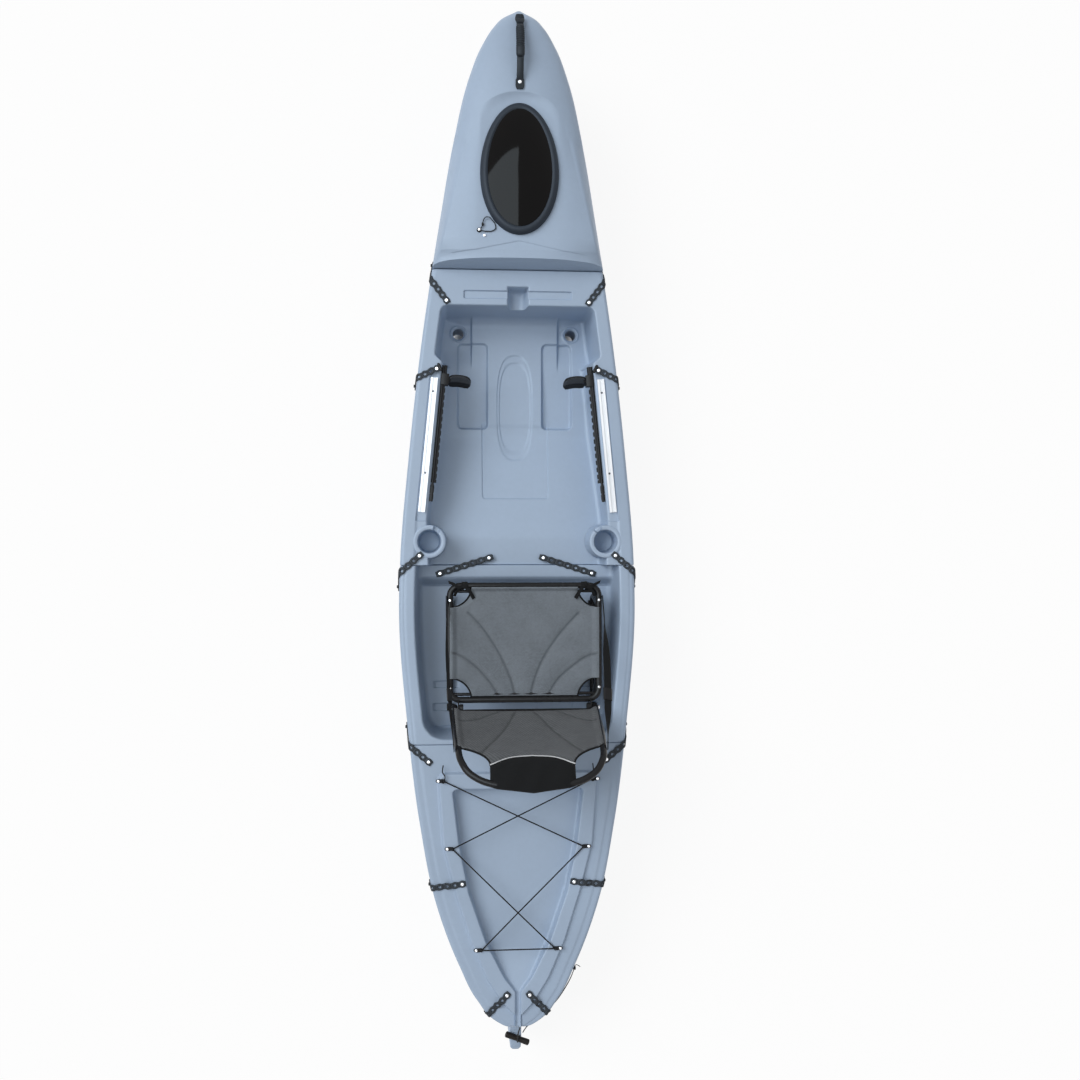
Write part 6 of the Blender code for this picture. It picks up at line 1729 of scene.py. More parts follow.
def brace_rail(side, label, origin, turn):
    """A rail whose inner edge is a row of sloping teeth, and the rod that lies in its top."""
    end = BRACE_LENGTH
    s = np.concatenate([[0.0, 0.0006], np.arange(0.004, end - 0.002, 0.001), [end - 0.0006, end]])
    phase = ((s - end + 0.022) / 0.024 + 0.26) % 1.0
    tooth = np.where(
        (s > 0.062) & (s < end - 0.010),
        0.0042 * step_up((phase - 0.55) / 0.10) * step_up((0.98 - phase) / 0.05), 0
    )
    bed = np.linspace(math.pi, 2 * math.pi, 9)
    rings = []
    for k, (along, bite) in enumerate(zip(s, tooth)):
        small = 0.0008 if k in (0, len(s) - 1) else 0.0
        inner = -0.012 + bite + small
        section = [(0.012 - small, 0.2905), (0.012 - small, 0.3108 - small), (0.0108, 0.3120 - small)]
        section += [(0.0044 * math.cos(a), ROD_Z + 0.0044 * math.sin(a)) for a in bed[::-1]]
        section += [
            (-0.0100, 0.3120 - small), (inner, 0.3090), (inner, 0.2985), (-0.0085 + bite * 0.5, 0.2965),
            (-0.0085 + bite * 0.5, 0.2905)
        ]
        rings.append([(side * x, -along, z) for x, z in section])
    rail = grid_object(f"brace_rail_{label}_dressed", set_along(rings, origin, turn), 35)
    dressed(rail, black_plastic(), HULL, "black_plastic", [f"brace_rail_{label}"])

    axis = origin + np.array((0, 0, ROD_Z))
    s = np.concatenate([[0.0, 0.001], np.linspace(0.004, end + 0.010, 60)])
    rod = pipe("rod_bar", set_along([(0, -v - 0.004, 0) for v in s], axis, turn), ROD_RADIUS, 20)
    s = np.linspace(0, 1, 28)
    rings = []
    for v in s:
        swell = 0.0042 + 0.0030 * step_up(v / 0.18) - 0.0012 * step_up((v - 0.86) / 0.14)
        flat = 0.0038 - 0.0010 * step_up(v / 0.25)
        notch = 0.0018 * math.exp(-(((v - 0.55) / 0.05) ** 2))
        rings.append(squircle(0.0, -end - 0.004 - 0.060 * v, 0.0, swell - notch, flat, 20, 0.7))
    grip = grid_object("rod_grip", set_along(rings, axis, turn), 50)
    fitted(f"brace_rod_{label}", [rod, grip], black_plastic(), f"rod_{label}", "black_plastic")


def foot_pedal(side, label, origin, turn):
    """A foot plate that curves across and leans forward, on a carriage hooked over the rail."""
    u = np.linspace(-1, 1, 41)
    v = np.linspace(-1, 1, 49)
    uu, vv = np.meshgrid(u, v)
    across = uu * np.sqrt(1 - 0.42 * vv**4) * 0.039 - 0.0555
    up = vv * np.sqrt(1 - 0.30 * np.abs(uu) ** 5) * 0.0440 - 0.0050
    tilt = math.radians(17)
    bow = 0.0050 * uu**2 + 0.003 * vv**2
    tread = 0.0010 * step_up((np.abs(((vv * 5) % 1) - 0.5) - 0.30) / 0.08) * (np.abs(uu) < 0.8)
    edge = np.minimum(1 - np.abs(uu), 1 - np.abs(vv))
    thin = 0.0035 * np.sqrt(np.clip(1 - edge / 0.10, 0, 1))
    sheets = []
    for face in (-1, 1):
        depth = face * (0.0048 - thin + (tread if face < 0 else 0)) - bow
        y = -0.040 + up * math.sin(tilt) + depth * math.cos(tilt)
        z = BRACE_TOP - 0.024 + up * math.cos(tilt) - depth * math.sin(tilt)
        sheets.append(np.stack([side * across, y, z], axis=-1))
    plate = two_faced("foot_plate", *[set_along(s, origin, turn) for s in sheets], 50)
    padded_half = (vv[:-1, :-1] > -0.15).ravel()
    upper = np.zeros(len(plate.data.polygons), dtype=np.int32)
    upper[: len(padded_half)] = padded_half
    plate.data.polygons.foreach_set("material_index", upper)
    rings = []
    for along in (-0.028, -0.0285, -0.0655, -0.066):
        small = 0.0006 if along in (-0.028, -0.066) else 0.0
        section = [
            (-0.0205, 0.2842), (0.0020, 0.2842), (0.0020, 0.2882), (-0.0124, 0.2882), (-0.0124, 0.3178),
            (0.0052, 0.3178), (0.0052, 0.3202 - small), (0.0040, 0.3208 - small), (-0.0190, 0.3208 - small),
            (-0.0205 + small, 0.3196)
        ]
        rings.append([(side * x, along, z) for x, z in section])
    carriage = grid_object("carriage", set_along(rings, origin, turn), 35)
    rings = []
    for reach in (-0.018, -0.018 - 0.008):
        oval = [(-0.047 + 0.006 * math.cos(a), 0.3005 + 0.008 * math.sin(a)) for a in whole_turn(16)]
        rings.append([(side * reach, y, z) for y, z in oval])
    stem = grid_object("stem", set_along(rings, origin, turn), 50)
    full = f"pedal_{label}"
    fitted(full, [plate, carriage, stem], [black_plastic(), finish("pedal_grey")], full, "black_plastic")


class KAYAK_OT_rails(bpy.types.Operator):
    """Builds the gear tracks, the toothed brace rails with their rods, and the pedals"""

    bl_idname = "kayak.rails"
    bl_label = "Tracks and braces"

    def execute(self, context):
        wall = lambda y: float(straight(BRACE_WALL, y))
        for side, label in SIDES:
            origin, turn = rail_frame(side, wall(TRACK_FRONT_Y) + 0.01475, TRACK_FRONT_Y)
            origin[2] = SHEER - SHELF[3] + STAND_OFF
            section = [
                (-0.0112, 0.0), (0.0112, 0.0), (0.0117, 0.0005), (0.0117, 0.0084), (0.0112, 0.0090),
                (0.0086, 0.0090), (0.0082, 0.0085), (0.0078, 0.0090), (0.0048, 0.0090), (0.0044, 0.0086),
                (0.0044, 0.0066), (0.0082, 0.0066), (0.0082, 0.0024), (-0.0082, 0.0024), (-0.0082, 0.0066),
                (-0.0044, 0.0066), (-0.0044, 0.0086), (-0.0048, 0.0090), (-0.0078, 0.0090),
                (-0.0082, 0.0085), (-0.0086, 0.0090), (-0.0112, 0.0090), (-0.0117, 0.0084),
                (-0.0117, 0.0005)
            ]
            rings = [
                [(x * size, -s, z) for x, z in section]
                for s, size in ((0, 0.985), (0.0006, 1), (0.4474, 1), (0.448, 0.985))
            ]
            track = grid_object("extrusion", set_along(rings, origin, turn), 30)
            pieces = [track]
            for s in (0.045, 0.317):
                spot = set_along([(0.0, -s, 0.0024)], origin, turn)[0]
                head = screw_head("track_screw", spot, (0, 0, 1), 0.0036, 0.0020)
                pieces.append(head)
            fitted(
                f"gear_track_{label}", pieces, [finish("track_finish"), finish("dark_screw")], HULL,
                "track_aluminium"
            )

            origin, turn = rail_frame(side, wall(BRACE_FRONT_Y) - BRACE_WIDTH / 2 - 0.0006, BRACE_FRONT_Y)
            brace_rail(side, label, origin, turn)
            foot_pedal(side, label, origin, turn)
        return {"FINISHED"}


# Seat


def rounded_path(points, radius, steps=10):
    """A path whose inner corners are turned with arcs of one radius."""
    points = [np.array(p, float) for p in points]
    path = [points[0]]
    for before, corner, after in zip(points, points[1:], points[2:]):
        a, b = before - corner, after - corner
        a, b = a / np.linalg.norm(a), b / np.linalg.norm(b)
        half = math.acos(float(np.clip(a.dot(b), -1, 1))) / 2
        reach = radius / math.tan(half)
        middle = (a + b) / np.linalg.norm(a + b)
        centre = corner + middle * (radius / math.sin(half))
        for share in np.linspace(0, 1, steps + 1):
            spot = corner + a * reach * (1 - share) + b * reach * share - centre
            path.append(centre + spot / np.linalg.norm(spot) * radius)
    path.append(points[-1])
    return densely(path, 0.006)


def densely(path, step):
    """A path with points no further apart than a step."""
    path = [np.array(p, float) for p in path]
    made = [path[0]]
    for a, b in zip(path, path[1:]):
        count = max(1, int(np.linalg.norm(b - a) / step))
        made += [a + (b - a) * k / count for k in range(1, count + 1)]
    return np.array(made)


def back_at(x, v, out=0.0):
    """Points on the seat's back: off its middle, up along it, and off its surface."""
    rows = np.array(BACK_CURVE)
    reach = np.concatenate([[0], np.cumsum(np.hypot(*np.diff(rows, axis=0).T))])
    table = np.column_stack([reach, rows])
    v = np.asarray(v, float)
    inside = np.clip(v, 0, reach[-1])
    aft, up = flowing(table, inside)
    aft_b, up_b = flowing(table, np.clip(inside - 0.006, 0, None))
    aft_a, up_a = flowing(table, np.clip(inside + 0.006, None, reach[-1]))
    run = np.stack([aft_a - aft_b, up_a - up_b])
    run = run / np.linalg.norm(run, axis=0)
    past = v - inside
    aft, up = aft + run[0] * past, up + run[1] * past
    aft = aft - run[1] * out
    up = up + run[0] * out
    x = np.asarray(x, float)
    return np.stack(np.broadcast_arrays(SEAT_X + x, HINGE[0] - aft, HINGE[1] + up), axis=-1)


def tube_half(v):
    """Half width of the back's tube at a distance up the back, by straight lines."""
    return straight([(up, half) for half, up in BACK_TUBE[:-1]], v)


def cut_half(share, half):
    """Half width in an upper corner cut: from the full half down to the cover's by a sine's power."""
    return COVER_HALF + (half - COVER_HALF) * (1 - np.sin(share * math.pi / 2) ** 0.9)


def seam_dip(x, v, seams, width=0.0042):
    """1 along the sewn seams, falling off beside them, and how far off the nearest seam lies."""
    nearest = np.full(np.broadcast(x, v).shape, 9.0)
    for seam in seams:
        run = smooth_path([(a, b, 0.0) for a, b in seam], 0.004)
        for px, pv, _ in run:
            nearest = np.minimum(nearest, np.hypot(x - px, v - pv))
    return np.exp(-((nearest / width) ** 2)), nearest


def cloth_panel(name, rows, half, columns, place, seams, thick, puff):
    """A padded sheet over rows and columns, drawn in along its seams, thin at its border, with painted shade for the
    seams kept as a point attribute.
    """
    share = np.linspace(-1, 1, columns)
    x = half[:, None] * share
    v = np.broadcast_to(rows[:, None], x.shape)
    dip, nearest = seam_dip(x, v, seams)
    border = np.minimum(half[:, None] - np.abs(x), np.minimum(v - rows[0], rows[-1] - v))
    rim = np.clip(border / 0.006, 0, 1)
    dip = dip * step_up(border / 0.012)
    body = thick / 2 * (0.35 + 0.65 * np.sqrt(rim))
    swell = puff * (1 - np.exp(-((nearest / 0.020) ** 2))) * step_up(border / 0.03)
    top = body + swell - dip * 0.0024 * rim
    low = -body + dip * 0.0006
    upper, lower = place(x, v, top), place(x, v, low)
    made = two_faced(name, upper, lower, 60)
    layer = made.data.uv_layers.new(name="weave")
    flat = np.concatenate([np.stack([x, v], axis=-1).reshape(-1, 2)] * 2)
    loops = np.empty(len(made.data.loops), dtype=np.int32)
    made.data.loops.foreach_get("vertex_index", loops)
    layer.data.foreach_set("uv", flat[loops].ravel())
    # The seam attribute is painted shade: how much the material darkens the cloth along the sewn seams
    seam_shade = made.data.attributes.new("seam", "FLOAT", "POINT")
    seam_shade.data.foreach_set("value", np.concatenate([(dip * rim).ravel()] * 2).astype(np.float32))
    middle = place(x, v, (top + low) / 2)
    a, b = middle[1:, 1:] - middle[:-1, :-1], middle[1:, :-1] - middle[:-1, 1:]
    area = float(np.linalg.norm(np.cross(a, b), axis=-1).sum() / 2)
    return made, area


def ribbon(name, path, across, width, thick):
    """A flat band along a path: width across it and a thickness, with softened edges."""
    path = np.asarray(path, float)
    ahead = np.gradient(path, axis=0)
    ahead /= np.linalg.norm(ahead, axis=1, keepdims=True)
    across = np.broadcast_to(np.asarray(across, float), path.shape)
    across = across - ahead * np.sum(across * ahead, axis=1, keepdims=True)
    across = across / np.linalg.norm(across, axis=1, keepdims=True)
    out = np.cross(ahead, across)
    half = np.broadcast_to(width, len(path)) / 2
    t = thick / 2
    rings = []
    for p, a, o, h in zip(path, across, out, half):
        section = ((h, 0), (h - t, t), (0, t), (-h + t, t), (-h, 0), (-h + t, -t), (0, -t), (h - t, -t))
        rings.append([p + a * x + o * z for x, z in section])
    return grid_object(name, rings, 50)


def seat_base():
    """The base: a rounded ring of tube, bars, legs and hinge ears, its mesh sheet and bindings."""
    h, r = SEAT_HALF, SEAT_CORNER
    corners = [(h, SEAT_FRONT), (-h, SEAT_FRONT), (-h, SEAT_REAR), (h, SEAT_REAR)]
    path = []
    for k, (x, y) in enumerate(corners):
        cx, cy = x - math.copysign(r, x), y + (r if y == SEAT_REAR else -r)
        for a in np.radians(np.linspace(90 * k, 90 * k + 90, 9)):
            path.append((SEAT_X + cx + r * math.cos(a), cy + r * math.sin(a), SEAT_Z))
    path.append(path[0])
    ring = pipe("seat_ring", densely(path, 0.008)[:-1], SEAT_TUBE, 24, True)
    pieces = [ring]
    for y, z in ((SEAT_FRONT - 0.0185, SEAT_Z - 0.002), (SEAT_REAR + 0.0185, SEAT_Z - 0.002)):
        bar = [(SEAT_X + s * (h - 0.004), y, z) for s in np.linspace(-1, 1, 21)]
        pieces.append(pipe("cross_bar", bar, 0.0052, 16))
    low = SEAT_FLOOR[0][1] + SHOE_SOLE + STAND_OFF + LEG_TUBE
    for side, _ in SIDES:
        x = SEAT_X + side * (h - 0.004)
        leg = [
            (x, SEAT_FRONT - 0.060, SEAT_Z), (x, -0.180, low), (x, -0.5635, low),
            (x, SEAT_REAR + 0.070, SEAT_Z)
        ]
        pieces.append(pipe("leg", rounded_path(leg, 0.030), LEG_TUBE, 20))
        inner = SEAT_X + side * (BACK_HALF - SEAT_TUBE - STAND_OFF - 0.002)
        ear = []
        base, tip = np.array((SEAT_REAR, SEAT_Z)), np.array(HINGE)
        bar = (tip - base) / np.linalg.norm(tip - base)
        over = np.array((-bar[1], bar[0])) * 0.0105
        outline = [base - over * 0.85] + [
            tip - over * math.cos(a) + bar * 0.0105 * math.sin(a) for a in np.linspace(0, math.pi, 13)
        ] + [base + over * 0.85]
        for dx, size in ((-0.002, 0.96), (-0.0014, 1.0), (0.0014, 1.0), (0.002, 0.96)):
            middle = (base + tip) / 2
            ear.append([(inner + dx, *(middle + (p - middle) * size)) for p in outline])
        pieces.append(grid_object("ear", np.array(ear), 35))
        knob = [
            (0.001, -0.0125), (0.0125, -0.0125), (0.0145, -0.0105), (0.0145, -0.0005), (0.0128, 0.0012),
            (0.001, 0.0012)
        ]
        if side < 0:
            knob = [(a, -b) for a, b in knob]
        pieces.append(turned("pivot_cap", knob, (inner - side * 0.0034, *HINGE), 24, "x"))
        for y in (SEAT_FRONT - 0.048, SEAT_REAR + 0.040):
            head = screw_head(
                "rivet", (SEAT_X + side * h, y, SEAT_Z + SEAT_TUBE - 0.0006), (0, 0, 1), 0.0042, 0.0016
            )
            pieces.append(head)
    fitted("seat_base_frame", pieces, [black_tube(), stainless()], HULL, "black_tube")

    c, inside = CORNER_CUT, SEAT_HALF + 0.0010
    y = np.unique(
        np.concatenate([
            SEAT_FRONT - 0.0030 - np.linspace(0, c - 0.004, 30),
            np.linspace(SEAT_FRONT - c, SEAT_REAR + c, 96),
            SEAT_REAR + 0.0115 + np.linspace(0, c - 0.012, 26)
        ])
    )
    near = np.minimum(SEAT_FRONT - y, y - SEAT_REAR)
    half = SEAT_HALF - np.where(near < c, np.sqrt(np.maximum(c**2 - near**2, 0)), 0)
    half = np.minimum(half, inside)

    def place(x, v, out):
        across, along = 1 - (x / 0.24) ** 2, 1 - ((v - SEAT_MIDDLE) / 0.18) ** 2
        sag = 0.010 * np.maximum(0, across) * np.maximum(0, along)
        hug = 0.0122 * step_up((np.abs(x) - 0.222) / 0.020)
        hug = np.maximum(hug, 0.0122 * step_up((v - SEAT_FRONT + 0.020) / 0.014))
        return np.stack([SEAT_X + x, v + 0 * x, SEAT_Z + 0.0015 + hug - sag + out], axis=-1)

    panel, area = cloth_panel("seat_base_fabric_dressed", y, half, 150, place, BASE_SEAMS, 0.0046, 0.0035)
    dressed(
        panel, mesh_cloth("base_mesh", bpy.context.scene.kayak_colours.base_cloth, 0.0052, 0.0026, 0.0),
        HULL, "grey_mesh", ["seat_base_fabric"]
    )
    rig.sheet(panel, (2 * SEAT_HALF, SEAT_FRONT - SEAT_REAR), "stretched", area=area)
    bindings = []
    for sx in (-1, 1):
        for cy, turn in ((SEAT_FRONT, -1), (SEAT_REAR, 1)):
            a = np.linspace(0.10, math.pi / 2 - 0.10, 24)
            path = [
                (SEAT_X + sx * (SEAT_HALF - c * math.cos(t)), cy + turn * c * math.sin(t), SEAT_Z + 0.0018)
                for t in a
            ]
            bindings.append(ribbon("binding", path, (0, 0, 1.0), 0.0075, 0.0056))
    for y_hem, lift in ((SEAT_FRONT - 0.0030, 0.0128), (SEAT_REAR + 0.0115, 0.0008)):
        path = [(SEAT_X + s * (SEAT_HALF - c), y_hem, SEAT_Z + lift) for s in np.linspace(-1, 1, 30)]
        bindings.append(ribbon("hem", path, (0, 0, 1.0), 0.0065, 0.0060))
    dressed(merged("seat_base_binding", bindings), black_fabric(), HULL, "black_fabric")


def seat_back():
    """The back: a bent tube on the curve of back_at, its mesh sheet, padded cover and bindings."""
    table = np.array(BACK_TUBE)
    reach = np.concatenate([[0], np.cumsum(np.hypot(*np.diff(table, axis=0).T))])
    x, v = flowing(np.column_stack([reach, table]), np.linspace(0, reach[-1], 90))
    x, v = np.concatenate([x, -x[-2::-1]]), np.concatenate([v, v[-2::-1]])
    path = back_at(x, v)
    first, last = path[0] - path[1], path[-1] - path[-2]
    start = path[0] + first / np.linalg.norm(first) * SEAT_TUBE
    end = path[-1] + last / np.linalg.norm(last) * SEAT_TUBE
    path = np.concatenate([[start], path, [end]])
    tube = pipe("back_tube", path, SEAT_TUBE, 24)
    bar = back_at(np.linspace(-BACK_HALF + 0.021, BACK_HALF - 0.021, 31), np.full(31, BACK_BOTTOM - 0.004))
    fitted(
        "seat_back_frame", [tube, pipe("back_bar", bar, 0.0050, 16)], black_tube(), "seat_back",
        "black_tube"
    )

    v = np.concatenate([np.linspace(BACK_BOTTOM, 0.262, 90), np.linspace(0.262, BACK_TOP, 50)[1:]])
    half = tube_half(v) + 0.0015
    arc = np.clip((v - CUT_START) / (BACK_TOP - CUT_START), 0, 1)
    half = np.minimum(half, np.where(v > CUT_START, cut_half(arc, half), 9))

    def place(x, v, out):
        top = piping_at(x)
        share = np.clip((v - 0.270) / (BACK_TOP - 0.270), 0, 1)
        v = v - share * np.maximum(BACK_TOP - top, 0) * (np.abs(x) < COVER_HALF)
        side = tube_half(v)
        hug = 0.0160 * step_up((np.abs(x) - side + 0.022) / 0.018) * step_up((0.285 - v) / 0.02)
        belly = -0.012 * np.maximum(0, 1 - (x / 0.21) ** 2) * np.maximum(0, 1 - ((v - 0.16) / 0.16) ** 2)
        return back_at(x, v, out + 0.003 + hug * 0.6 + belly)

    panel, area = cloth_panel("seat_back_fabric_dressed", v, half, 150, place, BACK_SEAMS, 0.0046, 0.0030)
    # The back's mesh takes the darker back colour, painted shade for its steep lean
    dressed(
        panel, mesh_cloth("back_mesh", bpy.context.scene.kayak_colours.back_cloth, 0.0110, 0.0030, 0.65),
        "seat_back", "grey_mesh", ["seat_back_fabric"]
    )
    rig.sheet(panel, (2 * BACK_HALF, BACK_TOP - BACK_BOTTOM), "stretched", area=area)

    u = np.linspace(-1, 1, 81)
    w = np.linspace(-1, 1, 41)
    uu, ww = np.meshgrid(u, w)
    x = uu * 0.130
    low, high = piping_at(x), straight([(a, b) for a, b in BACK_TUBE], np.abs(x)) + SEAT_TUBE + 0.002
    vv = low + (high - low) * (ww + 1) / 2
    puff = (1 - np.abs(uu) ** 8) * np.sqrt(np.maximum(1 - np.abs(ww) ** 6, 0))
    wave = 0.0016 * np.sin(uu * 9 + ww * 2.0 + 0.8 * np.sin(3 * uu)) * puff * step_up((ww + 0.75) / 0.4)
    sheets = [
        back_at(x, vv, 0.0130 * puff**0.6 + 0.0004 + wave), back_at(x, vv, -0.0130 * puff**0.6 - 0.0004)
    ]
    cover = two_faced("seat_back_cover_dressed", *sheets, 60)
    dressed(cover, black_fabric(), "seat_back", "black_fabric", ["seat_back_cover"])
    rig.padded(cover)
    x = np.linspace(-0.130, 0.130, 61)
    cord = pipe("seat_back_piping", back_at(x, piping_at(x), 0.0072), 0.0021, 12)
    dressed(cord, finish("piping_finish"), "seat_back", "black_fabric")
    bindings = []
    for sx in (-1, 1):
        arc = np.linspace(0.02, 1, 24)
        vv = CUT_START + arc * (BACK_TOP - CUT_START)
        xx = cut_half(arc, tube_half(vv) - 0.004)
        bindings.append(ribbon("back_binding", back_at(sx * xx, vv, 0.0025), (0, 0.4, 1.0), 0.0085, 0.0065))
    x = np.linspace(-BACK_HALF + 0.012, BACK_HALF - 0.012, 40)
    bindings.append(
        ribbon("back_hem", back_at(x, np.full(40, BACK_BOTTOM), 0.0030), (0, -1.0, 0.2), 0.0080, 0.0062)
    )
    dressed(merged("seat_back_binding", bindings), black_fabric(), "seat_back", "black_fabric")


def seat_webbing():
    """A band and a buckle on each side, from the base to the back, bowed out by half a sine."""
    for side, label in SIDES:
        off_tube = SEAT_TUBE + 0.00155
        start = np.array((SEAT_X + side * (SEAT_HALF + off_tube), SEAT_FRONT - SEAT_CORNER, SEAT_Z + 0.004))
        top = back_at(0.0, 0.285)
        widest = float(tube_half(0.26))
        end = np.array((SEAT_X + side * (widest + off_tube), top[1], top[2]))
        share = np.linspace(0, 1, 80)
        path = start + (end - start) * share[:, None]
        path[:, 0] += side * 0.007 * np.sin(math.pi * share)
        ahead = (end - start) / np.linalg.norm(end - start)
        upright = np.array((0, -ahead[2], ahead[1]))
        most = 0.80 if side > 0 else 0.25
        lean = most * step_up((share - 0.12) / 0.30) * step_up((0.97 - share) / 0.22)
        turn = (lean * math.pi / 2)[:, None]
        across = upright * np.cos(turn) + np.array((1.0, 0, 0)) * np.sin(turn)
        width = 0.025 * (0.50 + 0.50 * step_up(share / 0.45) - 0.45 * step_up((share - 0.70) / 0.25))
        strap = ribbon("band", path, across, width, 0.0024)
        spot = int(0.66 * 79)
        frame_path = path[spot - 3 : spot + 4]
        buckle = ribbon(
            "buckle", densely([frame_path[0], frame_path[-1]], 0.004), across[spot], 0.031, 0.0085
        )
        buckle["part"] = 1
        made = fitted(
            f"seat_webbing_{label}", [strap, buckle], [black_fabric(), black_plastic()], None,
            "black_fabric"
        )
        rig.blend(made, HULL, "seat_back", tuple(map(float, start)), tuple(map(float, end)))


def seat_tie(side, label):
    """A cloth tie wrapped round the front tube, knotted, with two tails."""
    x = SEAT_X + side * (SEAT_HALF - SEAT_CORNER - 0.014)
    y, z = SEAT_FRONT, SEAT_Z
    turn = np.linspace(0, 2 * math.pi, 40)
    pieces = []
    for offset, lean in ((-0.006, 0.10), (0.006, -0.12)):
        path = [
            (x + offset + lean * 0.02 * math.cos(a), y + 0.0122 * math.cos(a), z + 0.0122 * math.sin(a))
            for a in turn
        ]
        pieces.append(ribbon("wrap", path, (1.0, 0, 0), 0.0125, 0.0020))
    rings = []
    for s in np.linspace(0.02, 0.98, 12):
        swell = math.sqrt(max(1 - (2 * s - 1) ** 2, 0.02))
        spot = (x - side * 0.002, y - 0.010 + 0.020 * s, z + 0.0150)
        rings.append(squircle(*spot, 0.0105 * swell, 0.0062 * swell, 18, 0.9))
    pieces.append(grid_object("knot", rings, 60))
    for points in (
        [
            (0.004, 0.0, 0.016), (0.020, -0.004, 0.018), (0.034, 0.004, 0.016), (0.047, 0.010, 0.009),
            (0.053, 0.012, 0.003)
        ],
        [(-0.006, -0.004, 0.016), (-0.014, -0.014, 0.019), (-0.022, -0.028, 0.015), (-0.030, -0.042, 0.009)],
        [(0.010, -0.004, 0.014), (0.026, -0.018, 0.014), (0.034, -0.034, 0.006)],
    ):
        path = smooth_path([(x + side * a, y + b, z + c) for a, b, c in points], 0.003)
        pieces.append(
            ribbon("tail", path, (side * 0.5, 1.0 if points[1][1] > -0.01 else -0.2, 0.15), 0.0120, 0.0018)
        )
    fitted(f"seat_tie_{label}", pieces, black_fabric(), HULL, "black_fabric")


class KAYAK_OT_seat(bpy.types.Operator):
    """Builds the folding seat: bent tubes, sewn mesh panels, bindings, padded cover, webbing and ties"""

    bl_idname = "kayak.seat"
    bl_label = "Seat"

    def execute(self, context):
        seat_base()
        seat_back()
        seat_webbing()
        for side, label in SIDES:
            seat_tie(side, label)
        return {"FINISHED"}


def piping_at(x):
    """How far up the back its padded cover's lower edge lies."""
    return flowing(PIPING, np.abs(x))[0]


# Stern lashing, its eyes and the toggle


def crossing(a, b, lift):
    """The point where a straight run passes over the middle, lifted over or under the other."""
    share = -a[0] / (b[0] - a[0])
    return (0.0, a[1] + (b[1] - a[1]) * share, a[2] + lift)


def deck_eye(row, side, label, reach, y):
    """A tab screwed to the rib, with a hoop that the lashing runs through."""
    low = SHEER + RIB_RISE + STAND_OFF
    a = whole_turn(40)
    c, s = np.cos(a), np.sin(a)
    outline = np.stack(
        [side * reach + 0.016 * np.sign(c) * np.abs(c) ** 0.6, y + 0.0065 * np.sign(s) * np.abs(s) ** 0.8],
        axis=-1
    )
    middle = np.array((side * reach, y))
    rings = []
    for size, height in ((0.97, 0.0), (1.0, 0.0004), (1.0, 0.0026), (0.94, 0.0035)):
        rings.append(np.column_stack([middle + (outline - middle) * size, np.full(40, low + height)]))
    tab = grid_object("tab", rings, 40)
    inner = side * (reach - EYE_INSET)
    turn = np.linspace(0, math.pi, 21)
    hoop = pipe(
        "hoop", [(inner, y + 0.0052 * math.cos(t), low + 0.003 + 0.0062 * math.sin(t)) for t in turn],
        0.0017, 12
    )
    head = screw_head("eye_screw", (side * (reach + 0.0077), y, low + 0.0035), (0, 0, 1), 0.0050, 0.0024)
    fitted(
        f"deck_eye_{row}_{label}", [tab, hoop, head], [black_plastic(), stainless()], HULL, "black_plastic"
    )


def stern_toggle():
    """A bar with swollen ends, hung on a short leash with a loop round it."""
    turn = math.radians(-22)
    ahead = np.array((math.cos(turn), math.sin(turn), 0.0))
    centre = np.array((0.005, -1.706, 0.200 + STAND_OFF + TOGGLE_RADIUS * 0.975))
    s = np.concatenate([np.linspace(-1, -0.93, 8), np.linspace(-0.92, 0.92, 60), np.linspace(0.93, 1, 8)])
    size = np.sqrt(np.clip(1 - ((np.abs(s) - 0.90) / 0.103).clip(0, 1) ** 2, 0.02, 1))
    size = size * (0.93 + 0.07 * step_up((np.abs(s) - 0.3) / 0.4)) - 0.045 * (np.abs(s) < 0.16)
    bar = pipe("toggle_bar", centre + ahead * (0.044 * s)[:, None], TOGGLE_RADIUS * size, 28, sharp=60)
    fitted("stern_toggle", [bar], finish("toggle_finish"), "toggle", "black_plastic")
    anchor = np.array((0.010, -1.6255, 0.280))
    top = centre + np.array((0, 0, TOGGLE_RADIUS * 0.90 + STAND_OFF))
    points = [anchor, anchor + (0, -0.012, -0.006), top + (0, 0.016, 0.016), top + (0, 0, 0.008), top]
    path = smooth_path(points, 0.002)
    leash = pipe("toggle_leash_dressed", path, CORD_RADIUS, 14)
    dressed(leash, cord_finish(), "toggle", "black_cord", ["toggle_leash"])
    t = np.linspace(0, 2 * math.pi, 40)
    beside = np.array((-ahead[1], ahead[0], 0)) * 0.0115
    loop = []
    for a in t[:-1]:
        rise = np.array((0, 0, -0.0095 + 0.0115 * math.sin(a)))
        loop.append(top + ahead * 0.0045 + beside * math.cos(a) + rise)
    ring = pipe("toggle_loop", loop, CORD_RADIUS * 0.8, 10, True)
    dressed(ring, cord_finish(), "toggle", "black_cord")
    laid(leash, path, CORD_RADIUS, "object", "hanging", [ring])


